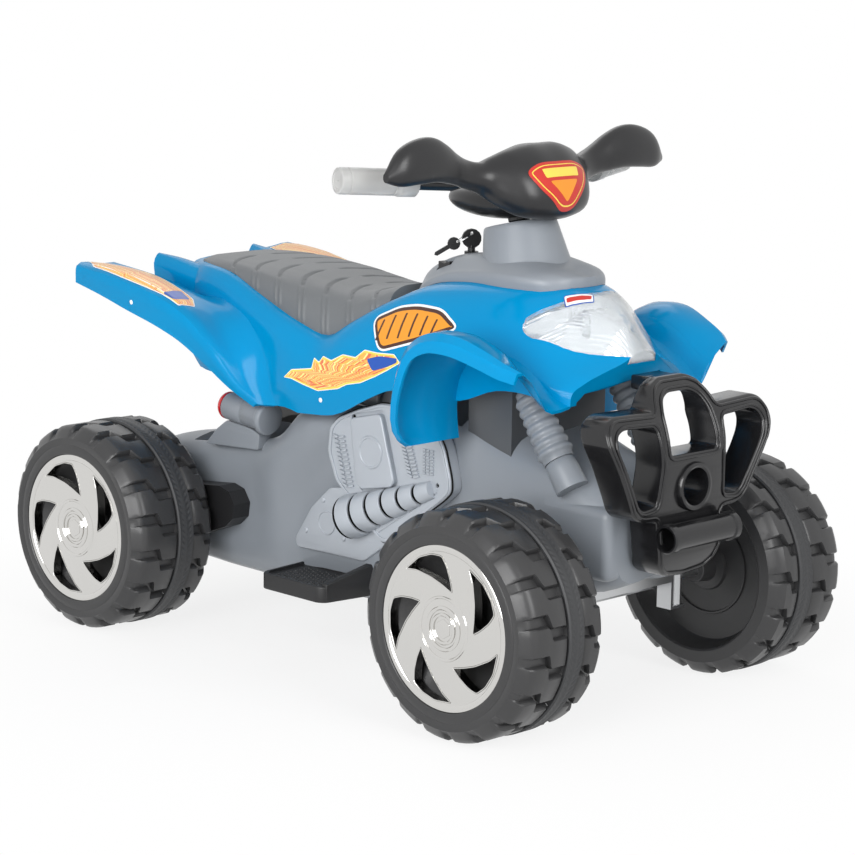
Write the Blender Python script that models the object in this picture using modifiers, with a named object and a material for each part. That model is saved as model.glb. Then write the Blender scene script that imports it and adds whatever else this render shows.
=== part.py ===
"""A child's battery quad bike, built from its separate pieces.

Metres, +Z up. The front of the quad points along -Y and its right side along -X.
The origin lies on the floor, below the middle of the quad's bounding box.
"""

import math

import bmesh
import bpy
from mathutils import Matrix, Vector

# Distance from the origin, below the middle of the whole quad, back to the middle of its wheelbase
CENTRE_SHIFT = 0.00839

# Clearances
SEAT_GAP = 0.0003
RUN_GAP = 0.0004
FLAT_ANGLE = math.radians(0.2)
# How far a cutter runs past what it cuts, and how far a joined piece reaches into the next
CUT_LENGTH = 0.3000
CUT_PAST = 0.0200
SUNK = 0.0010

# Wheels and axles
WHEEL_RADIUS = 0.145
WHEEL_WIDTH = 0.142
WHEELBASE = 0.7375
FRONT_WHEEL_FACE = 0.3095
REAR_WHEEL_FACE = 0.2890
LUG_COUNT = 18
ROUND_STEPS = 28
HUB_STEPS = 10
# The lugs' tops below the band that the wheel rolls on, and the grooves' floors below those
LUG_DROP = 0.0018
LUG_DEPTH = 0.0077
SHOULDER_DROP = 0.0195
BAND_CENTRE = 0.084
BAND_WIDTH = 0.027
BAND_THICKNESS = 0.0065
CAP_RADIUS = 0.1030
CAP_THICKNESS = 0.0060
CAP_RECESS = 0.0020
CAP_WINDOWS = 5
# One window of the cap: radius and angle of its corners
WINDOW_SHAPE = ((0.0545, 49), (0.0905, 29), (0.0920, 11), (0.0905, -6))
DISH_DEPTH = 0.045
HUB_RADIUS = 0.020
HUB_FACE = 0.024
INNER_DISH_RADIUS = 0.108
INNER_DISH_DEPTH = 0.030
AXLE_RADIUS = 0.0060
NUT_THICKNESS = 0.008
NUT_RADIUS = 0.0110
AXLE_PAST_NUT = 0.0020
# A lug's top ends, and its groove's floor lies, at these shares of the pitch
LUG_SHARES = (0.52, 0.76)
# How far the lugs beside the band, and those across it, are turned, as shares of the pitch
LUG_TURNS = (0.12, 0.50)
SHOULDER_WIDTH = 0.0170
BAND_MARGIN = 0.0050
HUB_TAPER = 0.0060
# The cap's middle: radius and distance from the wheel's face
CAP_HUB = ((0.0140, 0.0034), (0.0170, 0.0004), (0.0270, 0.0004))
CAP_HUB_RADIUS = 0.0340

# Steering
COLUMN_TILT = math.radians(13.5)
COLUMN_TOP = (0.0, -0.198, 0.602)
SHAFT_RADIUS = 0.0060
CRANK_HEIGHT = 0.142
CRANK_ARM = 0.0230
CRANK_SIZE = (0.0120, 0.0100, 0.0050)
CRANK_PIN_LENGTH = 0.0140
KNUCKLE_ARM = 0.0345
PIN_RADIUS = 0.0030
KINGPIN_X = 0.1280
KINGPIN_RADIUS = 0.0040
KNUCKLE_RADIUS = 0.0110
KNUCKLE_LOW = 0.1050
KNUCKLE_HIGH = 0.1850
EAR_THICKNESS = 0.0040
EAR_REACH = 0.0100
BEAM_HALF_DEPTH = 0.0120
BEAM_LOW = 0.1380
BEAM_END_GAP = 0.0040
KINGPIN_PAST_EAR = 0.0020
COLLAR_STEP = 0.0040
ARM_HALF_WIDTH = 0.0060
ARM_HEIGHT = 0.0050
ARM_GAP = 0.0005
LINK_PIN_LENGTH = 0.0095
PIN_PLAY = 0.0008
SLOT_TRAVEL = 0.0035
TONGUE_END = 0.0040
TIE_ROD_TOP = 0.1270
TIE_ROD_THICKNESS = 0.0060
TONGUE_HALF_WIDTH = 0.0100
TIE_ROD_WIDTH = 0.0190

# Upper body: each section is y, bow of its outer points, and half the profile from the middle
BODY_WALL = 0.0035
BODY_SECTIONS = (
    (-0.414, 0.026, ((0.0, 0.462), (0.014, 0.459), (0.032, 0.449), (0.062, 0.438),
                     (0.090, 0.425), (0.106, 0.412), (0.108, 0.397))),
    (-0.378, 0.010, ((0.0, 0.503), (0.020, 0.495), (0.046, 0.468), (0.076, 0.448),
                     (0.102, 0.431), (0.116, 0.415), (0.116, 0.397))),
    (-0.335, 0.0, ((0.0, 0.527), (0.032, 0.523), (0.066, 0.500), (0.090, 0.472),
                   (0.107, 0.448), (0.120, 0.428), (0.122, 0.405))),
    (-0.280, 0.0, ((0.0, 0.533), (0.050, 0.533), (0.080, 0.514), (0.100, 0.489),
                   (0.112, 0.462), (0.122, 0.436), (0.126, 0.405))),
    (-0.220, 0.0, ((0.0, 0.535), (0.052, 0.535), (0.088, 0.518), (0.110, 0.489),
                   (0.122, 0.455), (0.130, 0.420), (0.132, 0.385))),
    (-0.150, 0.0, ((0.0, 0.529), (0.055, 0.529), (0.092, 0.515), (0.116, 0.484),
                   (0.129, 0.450), (0.137, 0.415), (0.138, 0.388))),
    (-0.100, 0.0, ((0.0, 0.516), (0.055, 0.516), (0.095, 0.508), (0.118, 0.478),
                   (0.132, 0.440), (0.140, 0.405), (0.141, 0.383))),
    (-0.065, 0.0, ((0.0, 0.492), (0.055, 0.492), (0.098, 0.495), (0.121, 0.466),
                   (0.135, 0.430), (0.142, 0.395), (0.143, 0.368))),
    (0.000, 0.0, ((0.0, 0.456), (0.055, 0.456), (0.114, 0.458), (0.129, 0.438),
                  (0.139, 0.405), (0.144, 0.370), (0.143, 0.338))),
    (0.045, 0.0, ((0.0, 0.431), (0.055, 0.431), (0.119, 0.433), (0.132, 0.415),
                  (0.140, 0.388), (0.144, 0.360), (0.142, 0.333))),
    (0.100, 0.0, ((0.0, 0.442), (0.055, 0.442), (0.118, 0.444), (0.131, 0.427),
                  (0.138, 0.395), (0.142, 0.360), (0.138, 0.330))),
    (0.200, 0.0, ((0.0, 0.475), (0.055, 0.475), (0.107, 0.477), (0.119, 0.462),
                  (0.121, 0.420), (0.119, 0.370), (0.115, 0.335))),
    (0.260, 0.0, ((0.0, 0.494), (0.055, 0.494), (0.099, 0.497), (0.111, 0.484),
                  (0.113, 0.450), (0.109, 0.390), (0.101, 0.342))),
    (0.315, 0.0, ((0.0, 0.499), (0.050, 0.499), (0.091, 0.503), (0.102, 0.491),
                  (0.104, 0.455), (0.099, 0.400), (0.091, 0.348))),
    (0.368, 0.0, ((0.0, 0.508), (0.040, 0.507), (0.070, 0.500), (0.080, 0.482),
                  (0.083, 0.450), (0.081, 0.410), (0.078, 0.380))),
    (0.378, 0.0, ((0.0, 0.494), (0.035, 0.493), (0.058, 0.487), (0.068, 0.474),
                  (0.071, 0.450), (0.070, 0.415), (0.068, 0.388))),
)
# Fender and wing stations: edge x, y, z, lip, then root, valley and ridge as x, shift in y and in z
FENDER_STATIONS = (
    (0.222, -0.2150, 0.3360, 0.008, (0.130, 0.0, 0.0), (0.150, 0.0, 0.0), (0.170, 0.0, 0.0)),
    (0.234, -0.2125, 0.3450, 0.009, (0.124, -0.001, 0.0), (0.150, -0.001, 0.0), (0.172, 0.0, 0.0)),
    (0.240, -0.2140, 0.4250, 0.011, (0.116, -0.006, 0.0), (0.142, -0.006, 0.0), (0.168, 0.0, 0.0)),
    (0.236, -0.2260, 0.4560, 0.012, (0.110, -0.008, -0.009), (0.140, -0.008, -0.009),
     (0.166, 0.0, 0.0)),
    (0.235, -0.2500, 0.4730, 0.014, (0.104, -0.006, -0.019), (0.142, -0.006, -0.019),
     (0.166, 0.0, 0.0)),
    (0.232, -0.2920, 0.4780, 0.016, (0.098, 0.0, -0.027), (0.148, 0.0, -0.027), (0.168, 0.0, -0.001)),
    (0.222, -0.3400, 0.4660, 0.017, (0.096, 0.0, -0.034), (0.151, 0.0, -0.034), (0.169, 0.0, -0.007)),
    (0.214, -0.3700, 0.4550, 0.017, (0.094, 0.0, -0.046), (0.153, 0.0, -0.046), (0.169, 0.0, -0.021)),
    (0.203, -0.3860, 0.4480, 0.016, (0.092, 0.0, -0.049), (0.153, 0.0, -0.049), (0.168, 0.0, -0.024)),
)
WING_STATIONS = (
    (0.148, 0.1480, 0.3330, 0.006, (0.134, -0.045, 0.002), (0.137, -0.026, 0.001),
     (0.142, -0.010, 0.0)),
    (0.166, 0.1720, 0.3600, 0.012, (0.133, -0.062, 0.0), (0.138, -0.036, 0.0), (0.150, -0.012, 0.0)),
    (0.182, 0.1980, 0.4050, 0.030, (0.127, -0.066, 0.0), (0.134, -0.036, 0.0), (0.156, -0.010, 0.0)),
    (0.196, 0.2280, 0.4430, 0.039, (0.116, -0.062, 0.004), (0.126, -0.030, 0.0),
     (0.152, -0.006, -0.001)),
    (0.203, 0.2700, 0.4660, 0.041, (0.104, -0.045, 0.006), (0.118, -0.018, -0.004),
     (0.145, -0.002, -0.001)),
    (0.206, 0.3440, 0.4830, 0.038, (0.090, 0.0, -0.016), (0.112, 0.0, -0.016), (0.135, 0.0, -0.001)),
    (0.207, 0.4050, 0.4920, 0.031, (0.124, 0.0, -0.005), (0.133, 0.0, -0.004), (0.144, 0.0, 0.0)),
    (0.206, 0.4620, 0.4970, 0.024, (0.138, 0.0, 0.0), (0.146, 0.0, 0.0), (0.156, 0.0, 0.0)),
)
FENDER_WALL = 0.0040
# Inner tail fins: y, x inside, x outside, z low, z high
FIN_SECTIONS = (
    (0.300, 0.056, 0.096, 0.460, 0.490),
    (0.345, 0.062, 0.099, 0.466, 0.499),
    (0.385, 0.072, 0.100, 0.472, 0.507),
    (0.418, 0.082, 0.099, 0.476, 0.511),
)
FIN_ROUND = 0.0080
# How far the body's inner form runs on below its foot, so that the shell is open there
OPEN_BELOW = 0.0600
COLUMN_HOLE_RADIUS = 0.0150
COLUMN_HOLE_SPAN = (0.460, 0.580)

# Headlight, seen from above: half its outline from the middle of its rear edge
LENS_OUTLINE = ((0.0, -0.338), (0.032, -0.332), (0.052, -0.325), (0.074, -0.309), (0.090, -0.295),
                (0.098, -0.296), (0.100, -0.306), (0.094, -0.328), (0.083, -0.351),
                (0.056, -0.381), (0.027, -0.410), (0.010, -0.425))
LENS_FLOOR = 0.4440
LENS_CEILING = 0.6000
LENS_THICKNESS = 0.0025
REFLECTOR_FLANGE = 0.0070
REFLECTOR_DEPTH = 0.0180
REFLECTOR_WALL = 0.0020
BULB_RADIUS = 0.0055
BULB_PLACE = (0.040, -0.352)
BULB_HEIGHT = 0.0110

# Seat: y, half width of its top, crown height above the pan at the middle, height at the edge
SEAT_SECTIONS = (
    (-0.049, 0.082, 0.0270, 0.0190),
    (-0.015, 0.095, 0.0370, 0.0240),
    (0.045, 0.103, 0.0640, 0.0390),
    (0.100, 0.103, 0.0570, 0.0400),
    (0.150, 0.099, 0.0470, 0.0360),
    (0.200, 0.094, 0.0340, 0.0280),
    (0.260, 0.086, 0.0175, 0.0150),
    (0.315, 0.078, 0.0145, 0.0110),
    (0.343, 0.066, 0.0090, 0.0055),
)
# Across the seat: share of the half width, and of the crown's rise over the edge
SEAT_PROFILE = ((0.0, 1.0), (0.45, 0.97), (0.80, 0.70), (0.96, 0.0))
SEAT_SKIRT = 0.0060
SEAT_TRIM = 0.0040
CHEVRONS = 5
CHEVRON_PITCH = 0.0620
CHEVRON_START = 0.0150
CHEVRON_SWEEP = 0.0300
CHEVRON_REACH = 0.1300
CHEVRON_WIDTH = 0.0070
CHEVRON_DEPTH = 0.0026

# Chassis hull: y, then half the profile from the middle of the top, round the side, to the floor
HULL_WALL = 0.0050
HULL_SECTIONS = (
    (-0.4450, ((0.0, 0.262), (0.058, 0.262), (0.070, 0.254), (0.076, 0.238), (0.078, 0.215),
               (0.076, 0.196), (0.066, 0.180), (0.0, 0.178))),
    (-0.4300, ((0.0, 0.276), (0.062, 0.274), (0.076, 0.264), (0.083, 0.245), (0.085, 0.215),
               (0.083, 0.188), (0.074, 0.173), (0.0, 0.172))),
    (-0.3350, ((0.0, 0.318), (0.068, 0.316), (0.086, 0.302), (0.094, 0.280), (0.094, 0.220),
               (0.090, 0.166), (0.080, 0.152), (0.0, 0.150))),
    (-0.2300, ((0.0, 0.345), (0.074, 0.343), (0.092, 0.325), (0.099, 0.300), (0.099, 0.220),
               (0.096, 0.128), (0.086, 0.113), (0.0, 0.112))),
    (-0.1900, ((0.0, 0.350), (0.078, 0.348), (0.095, 0.335), (0.104, 0.312), (0.104, 0.230),
               (0.102, 0.112), (0.090, 0.098), (0.0, 0.097))),
    (-0.1000, ((0.0, 0.352), (0.080, 0.350), (0.096, 0.340), (0.104, 0.325), (0.104, 0.240),
               (0.103, 0.102), (0.092, 0.088), (0.0, 0.087))),
    (0.0200, ((0.0, 0.352), (0.082, 0.350), (0.100, 0.340), (0.110, 0.322), (0.104, 0.285),
              (0.104, 0.100), (0.094, 0.086), (0.0, 0.085))),
    (0.0600, ((0.0, 0.350), (0.086, 0.348), (0.108, 0.336), (0.121, 0.315), (0.104, 0.240),
              (0.105, 0.100), (0.096, 0.086), (0.0, 0.085))),
    (0.1000, ((0.0, 0.340), (0.088, 0.336), (0.111, 0.318), (0.123, 0.290), (0.106, 0.198),
              (0.107, 0.100), (0.098, 0.086), (0.0, 0.085))),
    (0.1450, ((0.0, 0.296), (0.088, 0.292), (0.110, 0.281), (0.121, 0.262), (0.117, 0.180),
              (0.110, 0.101), (0.100, 0.086), (0.0, 0.085))),
    (0.1900, ((0.0, 0.281), (0.086, 0.278), (0.104, 0.268), (0.112, 0.250), (0.112, 0.180),
              (0.108, 0.102), (0.098, 0.087), (0.0, 0.086))),
    (0.3000, ((0.0, 0.262), (0.084, 0.260), (0.102, 0.252), (0.112, 0.236), (0.112, 0.180),
              (0.108, 0.106), (0.098, 0.090), (0.0, 0.089))),
    (0.3900, ((0.0, 0.248), (0.082, 0.246), (0.100, 0.238), (0.111, 0.222), (0.111, 0.180),
              (0.106, 0.114), (0.096, 0.098), (0.0, 0.097))),
    (0.4300, ((0.0, 0.236), (0.074, 0.234), (0.090, 0.226), (0.099, 0.212), (0.099, 0.176),
              (0.095, 0.124), (0.086, 0.110), (0.0, 0.109))),
)
TUB_FRONT = -0.185
TUB_BACK = 0.335
TUB_FLOOR = 0.0060
TUB_RISE = 0.0500
HULL_BORE_SPAN = (0.050, 0.400)
# Half length of the room for the front beam, and the rooms behind it for crank and tie rod
BEAM_ROOM = 0.0220
CRANK_ROOM_HALF_WIDTH = 0.0500
CRANK_ROOM_BEHIND = 0.0380
TIE_ROOM_BEHIND = 0.0520
CRANK_ROOM_ABOVE = 0.0120
BRACKET_FRONT = -0.274
BRACKET_BACK = -0.198
BRACKET_HALF_WIDTHS = (0.0900, 0.0450)
BRACKET_STEP = 0.4150
BRACKET_LOW = 0.3000
BRACKET_INSET = 0.0040
NOTCH_TOP = 0.1650

# Front bumper outline in the X-Z plane, right half
HOOP_OUTLINE = ((0.0, 0.434), (0.026, 0.434), (0.044, 0.427), (0.056, 0.4115), (0.061, 0.3975),
                (0.134, 0.400), (0.148, 0.395), (0.157, 0.382), (0.158, 0.366), (0.152, 0.350),
                (0.112, 0.278), (0.103, 0.269), (0.090, 0.2645), (0.064, 0.2635), (0.062, 0.222),
                (0.054, 0.200), (0.038, 0.188), (0.0, 0.184))
HOOP_WINDOW = ((0.0, 0.412), (0.020, 0.412), (0.033, 0.405), (0.040, 0.390), (0.042, 0.370),
               (0.042, 0.343), (0.0, 0.343))
SIDE_WINDOW = ((0.064, 0.376), (0.121, 0.379), (0.133, 0.374), (0.137, 0.364), (0.133, 0.352),
               (0.096, 0.290), (0.087, 0.284), (0.066, 0.286), (0.060, 0.330))
# Front face of the bumper: z and y
BUMPER_FACE = ((0.184, -0.486), (0.215, -0.498), (0.264, -0.496), (0.305, -0.500), (0.355, -0.500),
               (0.400, -0.482), (0.434, -0.458))
BUMPER_DEPTH = 0.046
BUMPER_BACK = -0.4453
RING_HOLE_RADIUS = 0.0245
RING_HEIGHT = 0.3000
RING_RADIUS = 0.0315
RING_STAND = 0.0060
ROLLER_RADIUS = 0.0190
ROLLER_BORE = 0.0135
ROLLER_LENGTH = 0.130
ROLLER_PLACE = (-0.512, 0.243)
ARM_WIDTH = 0.052
ARM_THICKNESS = 0.018
ARM_FRONT = -0.4500
ARM_DROP = 0.0015
ARM_ROUND = 0.0020

# Column cover: plan half outline, rear to front, and heights
PLATE_OUTLINE = ((0.032, -0.052), (0.050, -0.062), (0.062, -0.084), (0.066, -0.125), (0.070, -0.180),
                 (0.072, -0.235), (0.067, -0.268), (0.056, -0.295), (0.036, -0.313), (0.014, -0.320))
PLATE_RIM = 0.0130
# Height of the plate's crown above the body, along y
PLATE_CROWN = ((-0.320, 0.0140), (-0.295, 0.0200), (-0.235, 0.0260), (-0.180, 0.0290),
               (-0.125, 0.0310), (-0.084, 0.0330), (-0.062, 0.0340), (-0.052, 0.0300))
PLATE_TRIM = 0.0120
# The plate's rounding: share of its half width, and of the rim's or the crown's height
PLATE_EDGE = ((1.0, 0.7), (0.93, 1.0))
PLATE_FLAT = 0.6
RIM_LIMIT = 0.8
CONE_LENGTH = 0.0620
CONE_HOLLOW_RADIUS = 0.0542
CONE_BASE_RADIUS = 0.0590
CONE_TOP_RADIUS = 0.0480
CONE_WALL = 0.0030
SHAFT_HOLE_RADIUS = 0.0085

# Key, lock and rocker
LOCK_PLACE = (0.0, -0.112)
LOCK_RADIUS = 0.0095
LOCK_FLARE = 0.0125
LOCK_SEAT_SHIFT = 0.0088
LOCK_HEIGHT = 0.0110
LOCK_DEPTH = 0.0100
LOCK_FLANGE = 0.0030
LOCK_BORE = 0.0035
KEY_HEAD_RADIUS = 0.0130
KEY_HEAD_THICKNESS = 0.0050
KEY_BLADE_RADIUS = 0.0030
KEY_STEM = 0.0050
KEY_RING_RADIUS = 0.0110
KEY_WIRE = 0.0008
SPARE_HEAD_RADIUS = 0.0085
SPARE_EYE_OFFSET = 0.0055
SPARE_EYE_RADIUS = 0.0019
SPARE_THICKNESS = 0.0040
SPARE_BLADE_THICKNESS = 0.0018
# The blade's half width, and where it starts and ends below the eye
SPARE_BLADE = (0.0028, 0.0120, 0.0355)
KEY_TURN = math.radians(35)
KEY_EYE_RADIUS = 0.0022
KEY_EYE_SHARE = 0.55
KEY_COLLAR_STEP = 0.0020
KEY_BLADE_LIFT = 0.0040
# The ring's middle below the eye: shares of its radius, sideways and down
RING_HANG = (0.86, 0.50)
ROCKER_WELL = (0.0004, 0.0015, 0.0030)
# The rocker seen from its end: shares of its length, and heights
ROCKER_OUTLINE = ((-0.5, 0.0030), (-0.5, 0.0120), (0.0, 0.0095), (0.5, 0.0085), (0.5, 0.0030), (0.0, 0.0))
ROCKER_PIVOT = 0.0045
ROCKER_SIZE = (0.0120, 0.0200)
ROCKER_PLACE = (-0.046, -0.112)

# Handlebar: x, y, z, half height, half depth, lean of each section
BAR_SECTIONS = (
    (0.000, -0.240, 0.659, 0.0520, 0.0310, 30),
    (0.030, -0.239, 0.660, 0.0505, 0.0300, 30),
    (0.056, -0.234, 0.659, 0.0440, 0.0270, 30),
    (0.075, -0.223, 0.661, 0.0330, 0.0220, 28),
    (0.094, -0.210, 0.668, 0.0205, 0.0190, 22),
    (0.118, -0.206, 0.676, 0.0220, 0.0170, 16),
    (0.146, -0.210, 0.686, 0.0245, 0.0160, 12),
    (0.178, -0.215, 0.695, 0.0275, 0.0155, 10),
    (0.210, -0.217, 0.695, 0.0280, 0.0155, 8),
    (0.238, -0.216, 0.687, 0.0235, 0.0135, 6),
    (0.260, -0.213, 0.675, 0.0060, 0.0050, 4),
)
BAR_SIDES = 10
BELLY = ((0.0, -0.160, 0.629), (0.046, 0.080, 0.024))
GRIP_START = (0.118, -0.187, 0.658)
GRIP_END = (0.271, -0.138, 0.667)
GRIP_RADIUS = 0.0170
GRIP_TUBE_RADIUS = 0.0090
GRIP_LENGTH = 0.108
THROTTLE_SIZE = (0.0100, 0.0140, 0.0120)
GRIP_CAP = 0.0120
GRIP_ROUND = 0.0020
# The grip's inner ring: its length and its step
GRIP_RING = (0.0240, 0.0010)
THROTTLE_FROM_RING = 0.0120
THROTTLE_SUNK = 0.0045
THROTTLE_PROUD = 0.0025
THROTTLE_SHORTER = 0.0040
THROTTLE_ROUND = 0.0012
NECK_PAST = 0.0040
NECK_ROOT = (0.094, -0.208, 0.668)
SOCKET_DEPTH = 0.0450
CLAMP_RADIUS = 0.0150
CLAMP_LENGTH = 0.0110
CLAMP_RISE = 0.0015
CLAMP_ROUND = 0.0020

# Engine covers, side view outline (y, z)
ENGINE_FACE = 0.1043
ENGINE_DEPTH = 0.0230
ENGINE_OUTLINE = ((0.022, 0.318), (0.006, 0.333), (-0.030, 0.348), (-0.075, 0.362), (-0.130, 0.364),
                  (-0.172, 0.345), (-0.190, 0.318), (-0.202, 0.280), (-0.203, 0.262), (-0.190, 0.250),
                  (-0.088, 0.176), (-0.076, 0.176), (-0.030, 0.214), (0.010, 0.246), (0.026, 0.284))
LOWER_OUTLINE = ((0.030, 0.232), (0.066, 0.200), (0.098, 0.152), (0.095, 0.140), (-0.036, 0.141),
                 (-0.082, 0.174), (-0.030, 0.205), (0.004, 0.236))
LOWER_DEPTH = 0.0150
HEAD_OUTLINE = ((-0.022, 0.336), (-0.080, 0.350), (-0.106, 0.262), (-0.100, 0.254), (-0.044, 0.243),
                (-0.034, 0.252))
HEAD_DEPTH = 0.0070
HEAD_SUNK = 0.0005
BARREL_START = (-0.016, 0.1995)
BARREL_END = (-0.172, 0.262)
BARREL_RADII = (0.0290, 0.0090)
BARREL_RIBS = 5
RIB_STEP = 0.0030
# Footrests
FOOT_OUTLINE = ((0.1043, 0.094), (0.186, 0.086), (0.196, 0.078), (0.198, -0.030), (0.190, -0.040),
                (0.1043, -0.052))
FOOT_TOP = 0.1180
FOOT_THICKNESS = 0.0220
FOOT_WALL = 0.0050
FOOT_RIM = 0.0040
FOOT_FLOOR = 0.0045
TOE_HEIGHT = 0.0240
# The toe board's top and foot thickness at its inner and outer end, and its height at the outer end
TOE_INNER = (0.0120, 0.0160)
TOE_OUTER = (0.0100, 0.0140)
TOE_OUTER_HEIGHT = 0.0030

# Dampers
DAMPER_TOP = (0.0900, -0.296, 0.404)
DAMPER_FOOT = (0.0900, -0.356, 0.322)
PEDESTAL_RADIUS = 0.0190
PEDESTAL_LENGTH = 0.0400
DAMPER_RADIUS = 0.0240
DAMPER_NECK = 0.0195
DAMPER_RIBS = 5
# Shares of the damper's length: where its ribs end and how much of it they take
DAMPER_SPAN = (0.90, 0.82)
DAMPER_GROOVE = 0.0030
DAMPER_TOP_STEP = (0.0060, 0.0040, 0.0080)

# Tail pods
POD_X = 0.118
POD_REAR = (0.246, 0.3180)
POD_FRONT = (0.150, 0.3090)
POD_RADIUS = 0.0195
POD_LENS_LENGTH = 0.0080
POD_COLLAR = 0.0235
# The collar's rounding and its two ends along the pod
POD_COLLAR_ROUND = 0.0020
POD_COLLAR_SPAN = (0.0100, 0.0120)
POD_ROUND = 0.0010
POD_RUN_ON = 0.0200
WEDGE_WIDTH = 0.0260
WEDGE_INSET = 0.0120
WEDGE_SLOPE = 0.0120
# The pod's bracket, seen from the side: y and z
WEDGE_OUTLINE = ((0.285, 0.256), (0.175, 0.262), (0.172, 0.284), (0.190, 0.2905), (0.240, 0.2955),
                 (0.262, 0.280))
# The tail lens: share of its radius and distance from its tip
TAIL_LENS = ((0.0, 0.0), (0.55, 0.001), (0.9, 0.004), (1.0, 0.006))

# Drive
MOTOR_PLACE = (0.226, 0.178)
MOTOR_RADIUS = 0.0185
MOTOR_LENGTH = 0.052
MOTOR_BOSS = 0.0040
MOTOR_TAIL = 0.0050
# The boss and the tail as shares of the motor's radius
MOTOR_STEPS = (0.5, 0.4)
GEARBOX_INNER = 0.1126
GEARBOX_OUTER = 0.1426
GEARBOX_BIG = 0.0480
GEARBOX_SMALL = 0.0290
# Straight sides in the gearbox's large and small round ends
GEARBOX_SIDES = (9, 4)
DRIVE_HUB_RADIUS = 0.0300
DRIVE_HUB_LENGTH = 0.0150
HUB_CLEARANCE = 0.0015
BATTERY_SIZE = (0.065, 0.151, 0.094)
BATTERY_Y = 0.055
BATTERY_ROUND = 0.0030
# A battery terminal: half width, thickness, height, distance from the front edge, and share across
TERMINAL = (0.0030, 0.0010, 0.0070, 0.0100)
TERMINAL_SHARE = 0.35
STRAP_WIDTH = 0.022
STRAP_THICKNESS = 0.0025
STRAP_FOOT = 0.0160
STRAP_SHIFT = 0.0200
CONTROL_SIZE = (0.080, 0.060, 0.024)
CONTROL_Y = -0.105
CONTROL_ROUND = 0.0020

# Colours
BLUE = (0.012, 0.310, 0.720)
GREY = (0.190, 0.205, 0.225)
SILVER_GREY = (0.420, 0.450, 0.490)
SEAT_GREY = (0.150, 0.155, 0.165)
BLACK = (0.012, 0.012, 0.013)
RUBBER = (0.020, 0.020, 0.021)
CHROME = (0.850, 0.840, 0.810)
STEEL = (0.560, 0.570, 0.580)
CLEAR = (0.860, 0.880, 0.900)
RED = (0.600, 0.012, 0.015)
PALE = (0.640, 0.640, 0.630)


def clear_scene():
    for old in list(bpy.context.scene.objects):
        bpy.data.objects.remove(old, do_unlink=True)


def make_collection(name):
    collection = bpy.data.collections.new(name)
    bpy.context.scene.collection.children.link(collection)
    return collection


def make_material(name, colour, roughness, metallic=0.0, coat=0.0):
    material = bpy.data.materials.new(name)
    material.use_nodes = True
    shader = material.node_tree.nodes["Principled BSDF"]
    shader.inputs["Base Color"].default_value = (*colour, 1.0)
    shader.inputs["Roughness"].default_value = roughness
    shader.inputs["Metallic"].default_value = metallic
    shader.inputs["Coat Weight"].default_value = coat
    material.diffuse_color = (*colour, 1.0)
    return material


clear_scene()
PARTS = make_collection("ride_on_quad")

MATERIALS = {
    "body": make_material("blue_gloss", BLUE, 0.16, coat=0.4),
    "hull": make_material("grey_plastic", GREY, 0.42),
    "engine": make_material("silver_plastic", SILVER_GREY, 0.36, metallic=0.25),
    "seat": make_material("seat_plastic", SEAT_GREY, 0.55),
    "black": make_material("black_plastic", BLACK, 0.28),
    "tyre": make_material("tyre_plastic", RUBBER, 0.45),
    "rubber": make_material("band_rubber", RUBBER, 0.75),
    "chrome": make_material("chrome_plating", CHROME, 0.08, metallic=1.0),
    "steel": make_material("zinc_steel", STEEL, 0.30, metallic=1.0),
    "clear": make_material("clear_lens", CLEAR, 0.05),
    "red": make_material("red_lens", RED, 0.15),
    "pale": make_material("pale_grip", PALE, 0.40),
}


def make_frame(name, place, tilt=0.0, parent=None):
    """An empty on a joint's axis, which carries the pieces that move with it."""
    frame = bpy.data.objects.new(name, None)
    frame.empty_display_size = 0.03
    frame.parent = parent
    frame.location = place
    frame.rotation_euler = (tilt, 0.0, 0.0)
    PARTS.objects.link(frame)
    return frame, Matrix.Translation(place) @ Matrix.Rotation(tilt, 4, "X")


def make_root():
    """The empty that carries the whole quad, moved so that the origin lies below its middle."""
    root = bpy.data.objects.new("quad_root", None)
    root.location = (0.0, CENTRE_SHIFT, 0.0)
    PARTS.objects.link(root)
    return root, Matrix.Identity(4)


# Working solids: meshes in world coordinates, linked while modifiers are applied


def solid(bm, name="work"):
    """A linked object from a bmesh, with its faces turned outwards."""
    bmesh.ops.recalc_face_normals(bm, faces=bm.faces)
    mesh = bpy.data.meshes.new(name)
    bm.to_mesh(mesh)
    bm.free()
    obj = bpy.data.objects.new(name, mesh)
    PARTS.objects.link(obj)
    return obj


def discard(obj):
    bpy.data.objects.remove(obj, do_unlink=True)


def settled(obj, weld=1e-6):
    """The object with its modifiers applied, as one welded mesh in world coordinates."""
    bpy.context.view_layer.update()
    graph = bpy.context.evaluated_depsgraph_get()
    mesh = bpy.data.meshes.new_from_object(obj.evaluated_get(graph))
    mesh.transform(obj.matrix_world)
    discard(obj)
    bm = bmesh.new()
    bm.from_mesh(mesh)
    bpy.data.meshes.remove(mesh)
    bmesh.ops.remove_doubles(bm, verts=bm.verts, dist=weld)
    return solid(bm)


def triangulated(obj):
    """The solid in triangles, for one whose faces are no longer flat."""
    bm = bmesh.new()
    bm.from_mesh(obj.data)
    bmesh.ops.triangulate(bm, faces=bm.faces)
    discard(obj)
    return solid(bm)


def combine(target, other, operation, keep=False):
    """Joins, cuts or intersects two solids; the second is used up unless it is kept."""
    modifier = target.modifiers.new("combine", "BOOLEAN")
    modifier.operation = operation
    modifier.solver = "EXACT"
    modifier.object = other
    result = settled(target)
    if not keep:
        discard(other)
    return result


def joined(first, *others):
    for other in others:
        first = combine(first, other, "UNION")
    return first


def cut(target, *cutters):
    for cutter in cutters:
        target = combine(target, cutter, "DIFFERENCE")
    return target


def duplicate(obj):
    twin = bpy.data.objects.new("work", obj.data.copy())
    PARTS.objects.link(twin)
    return twin


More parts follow.
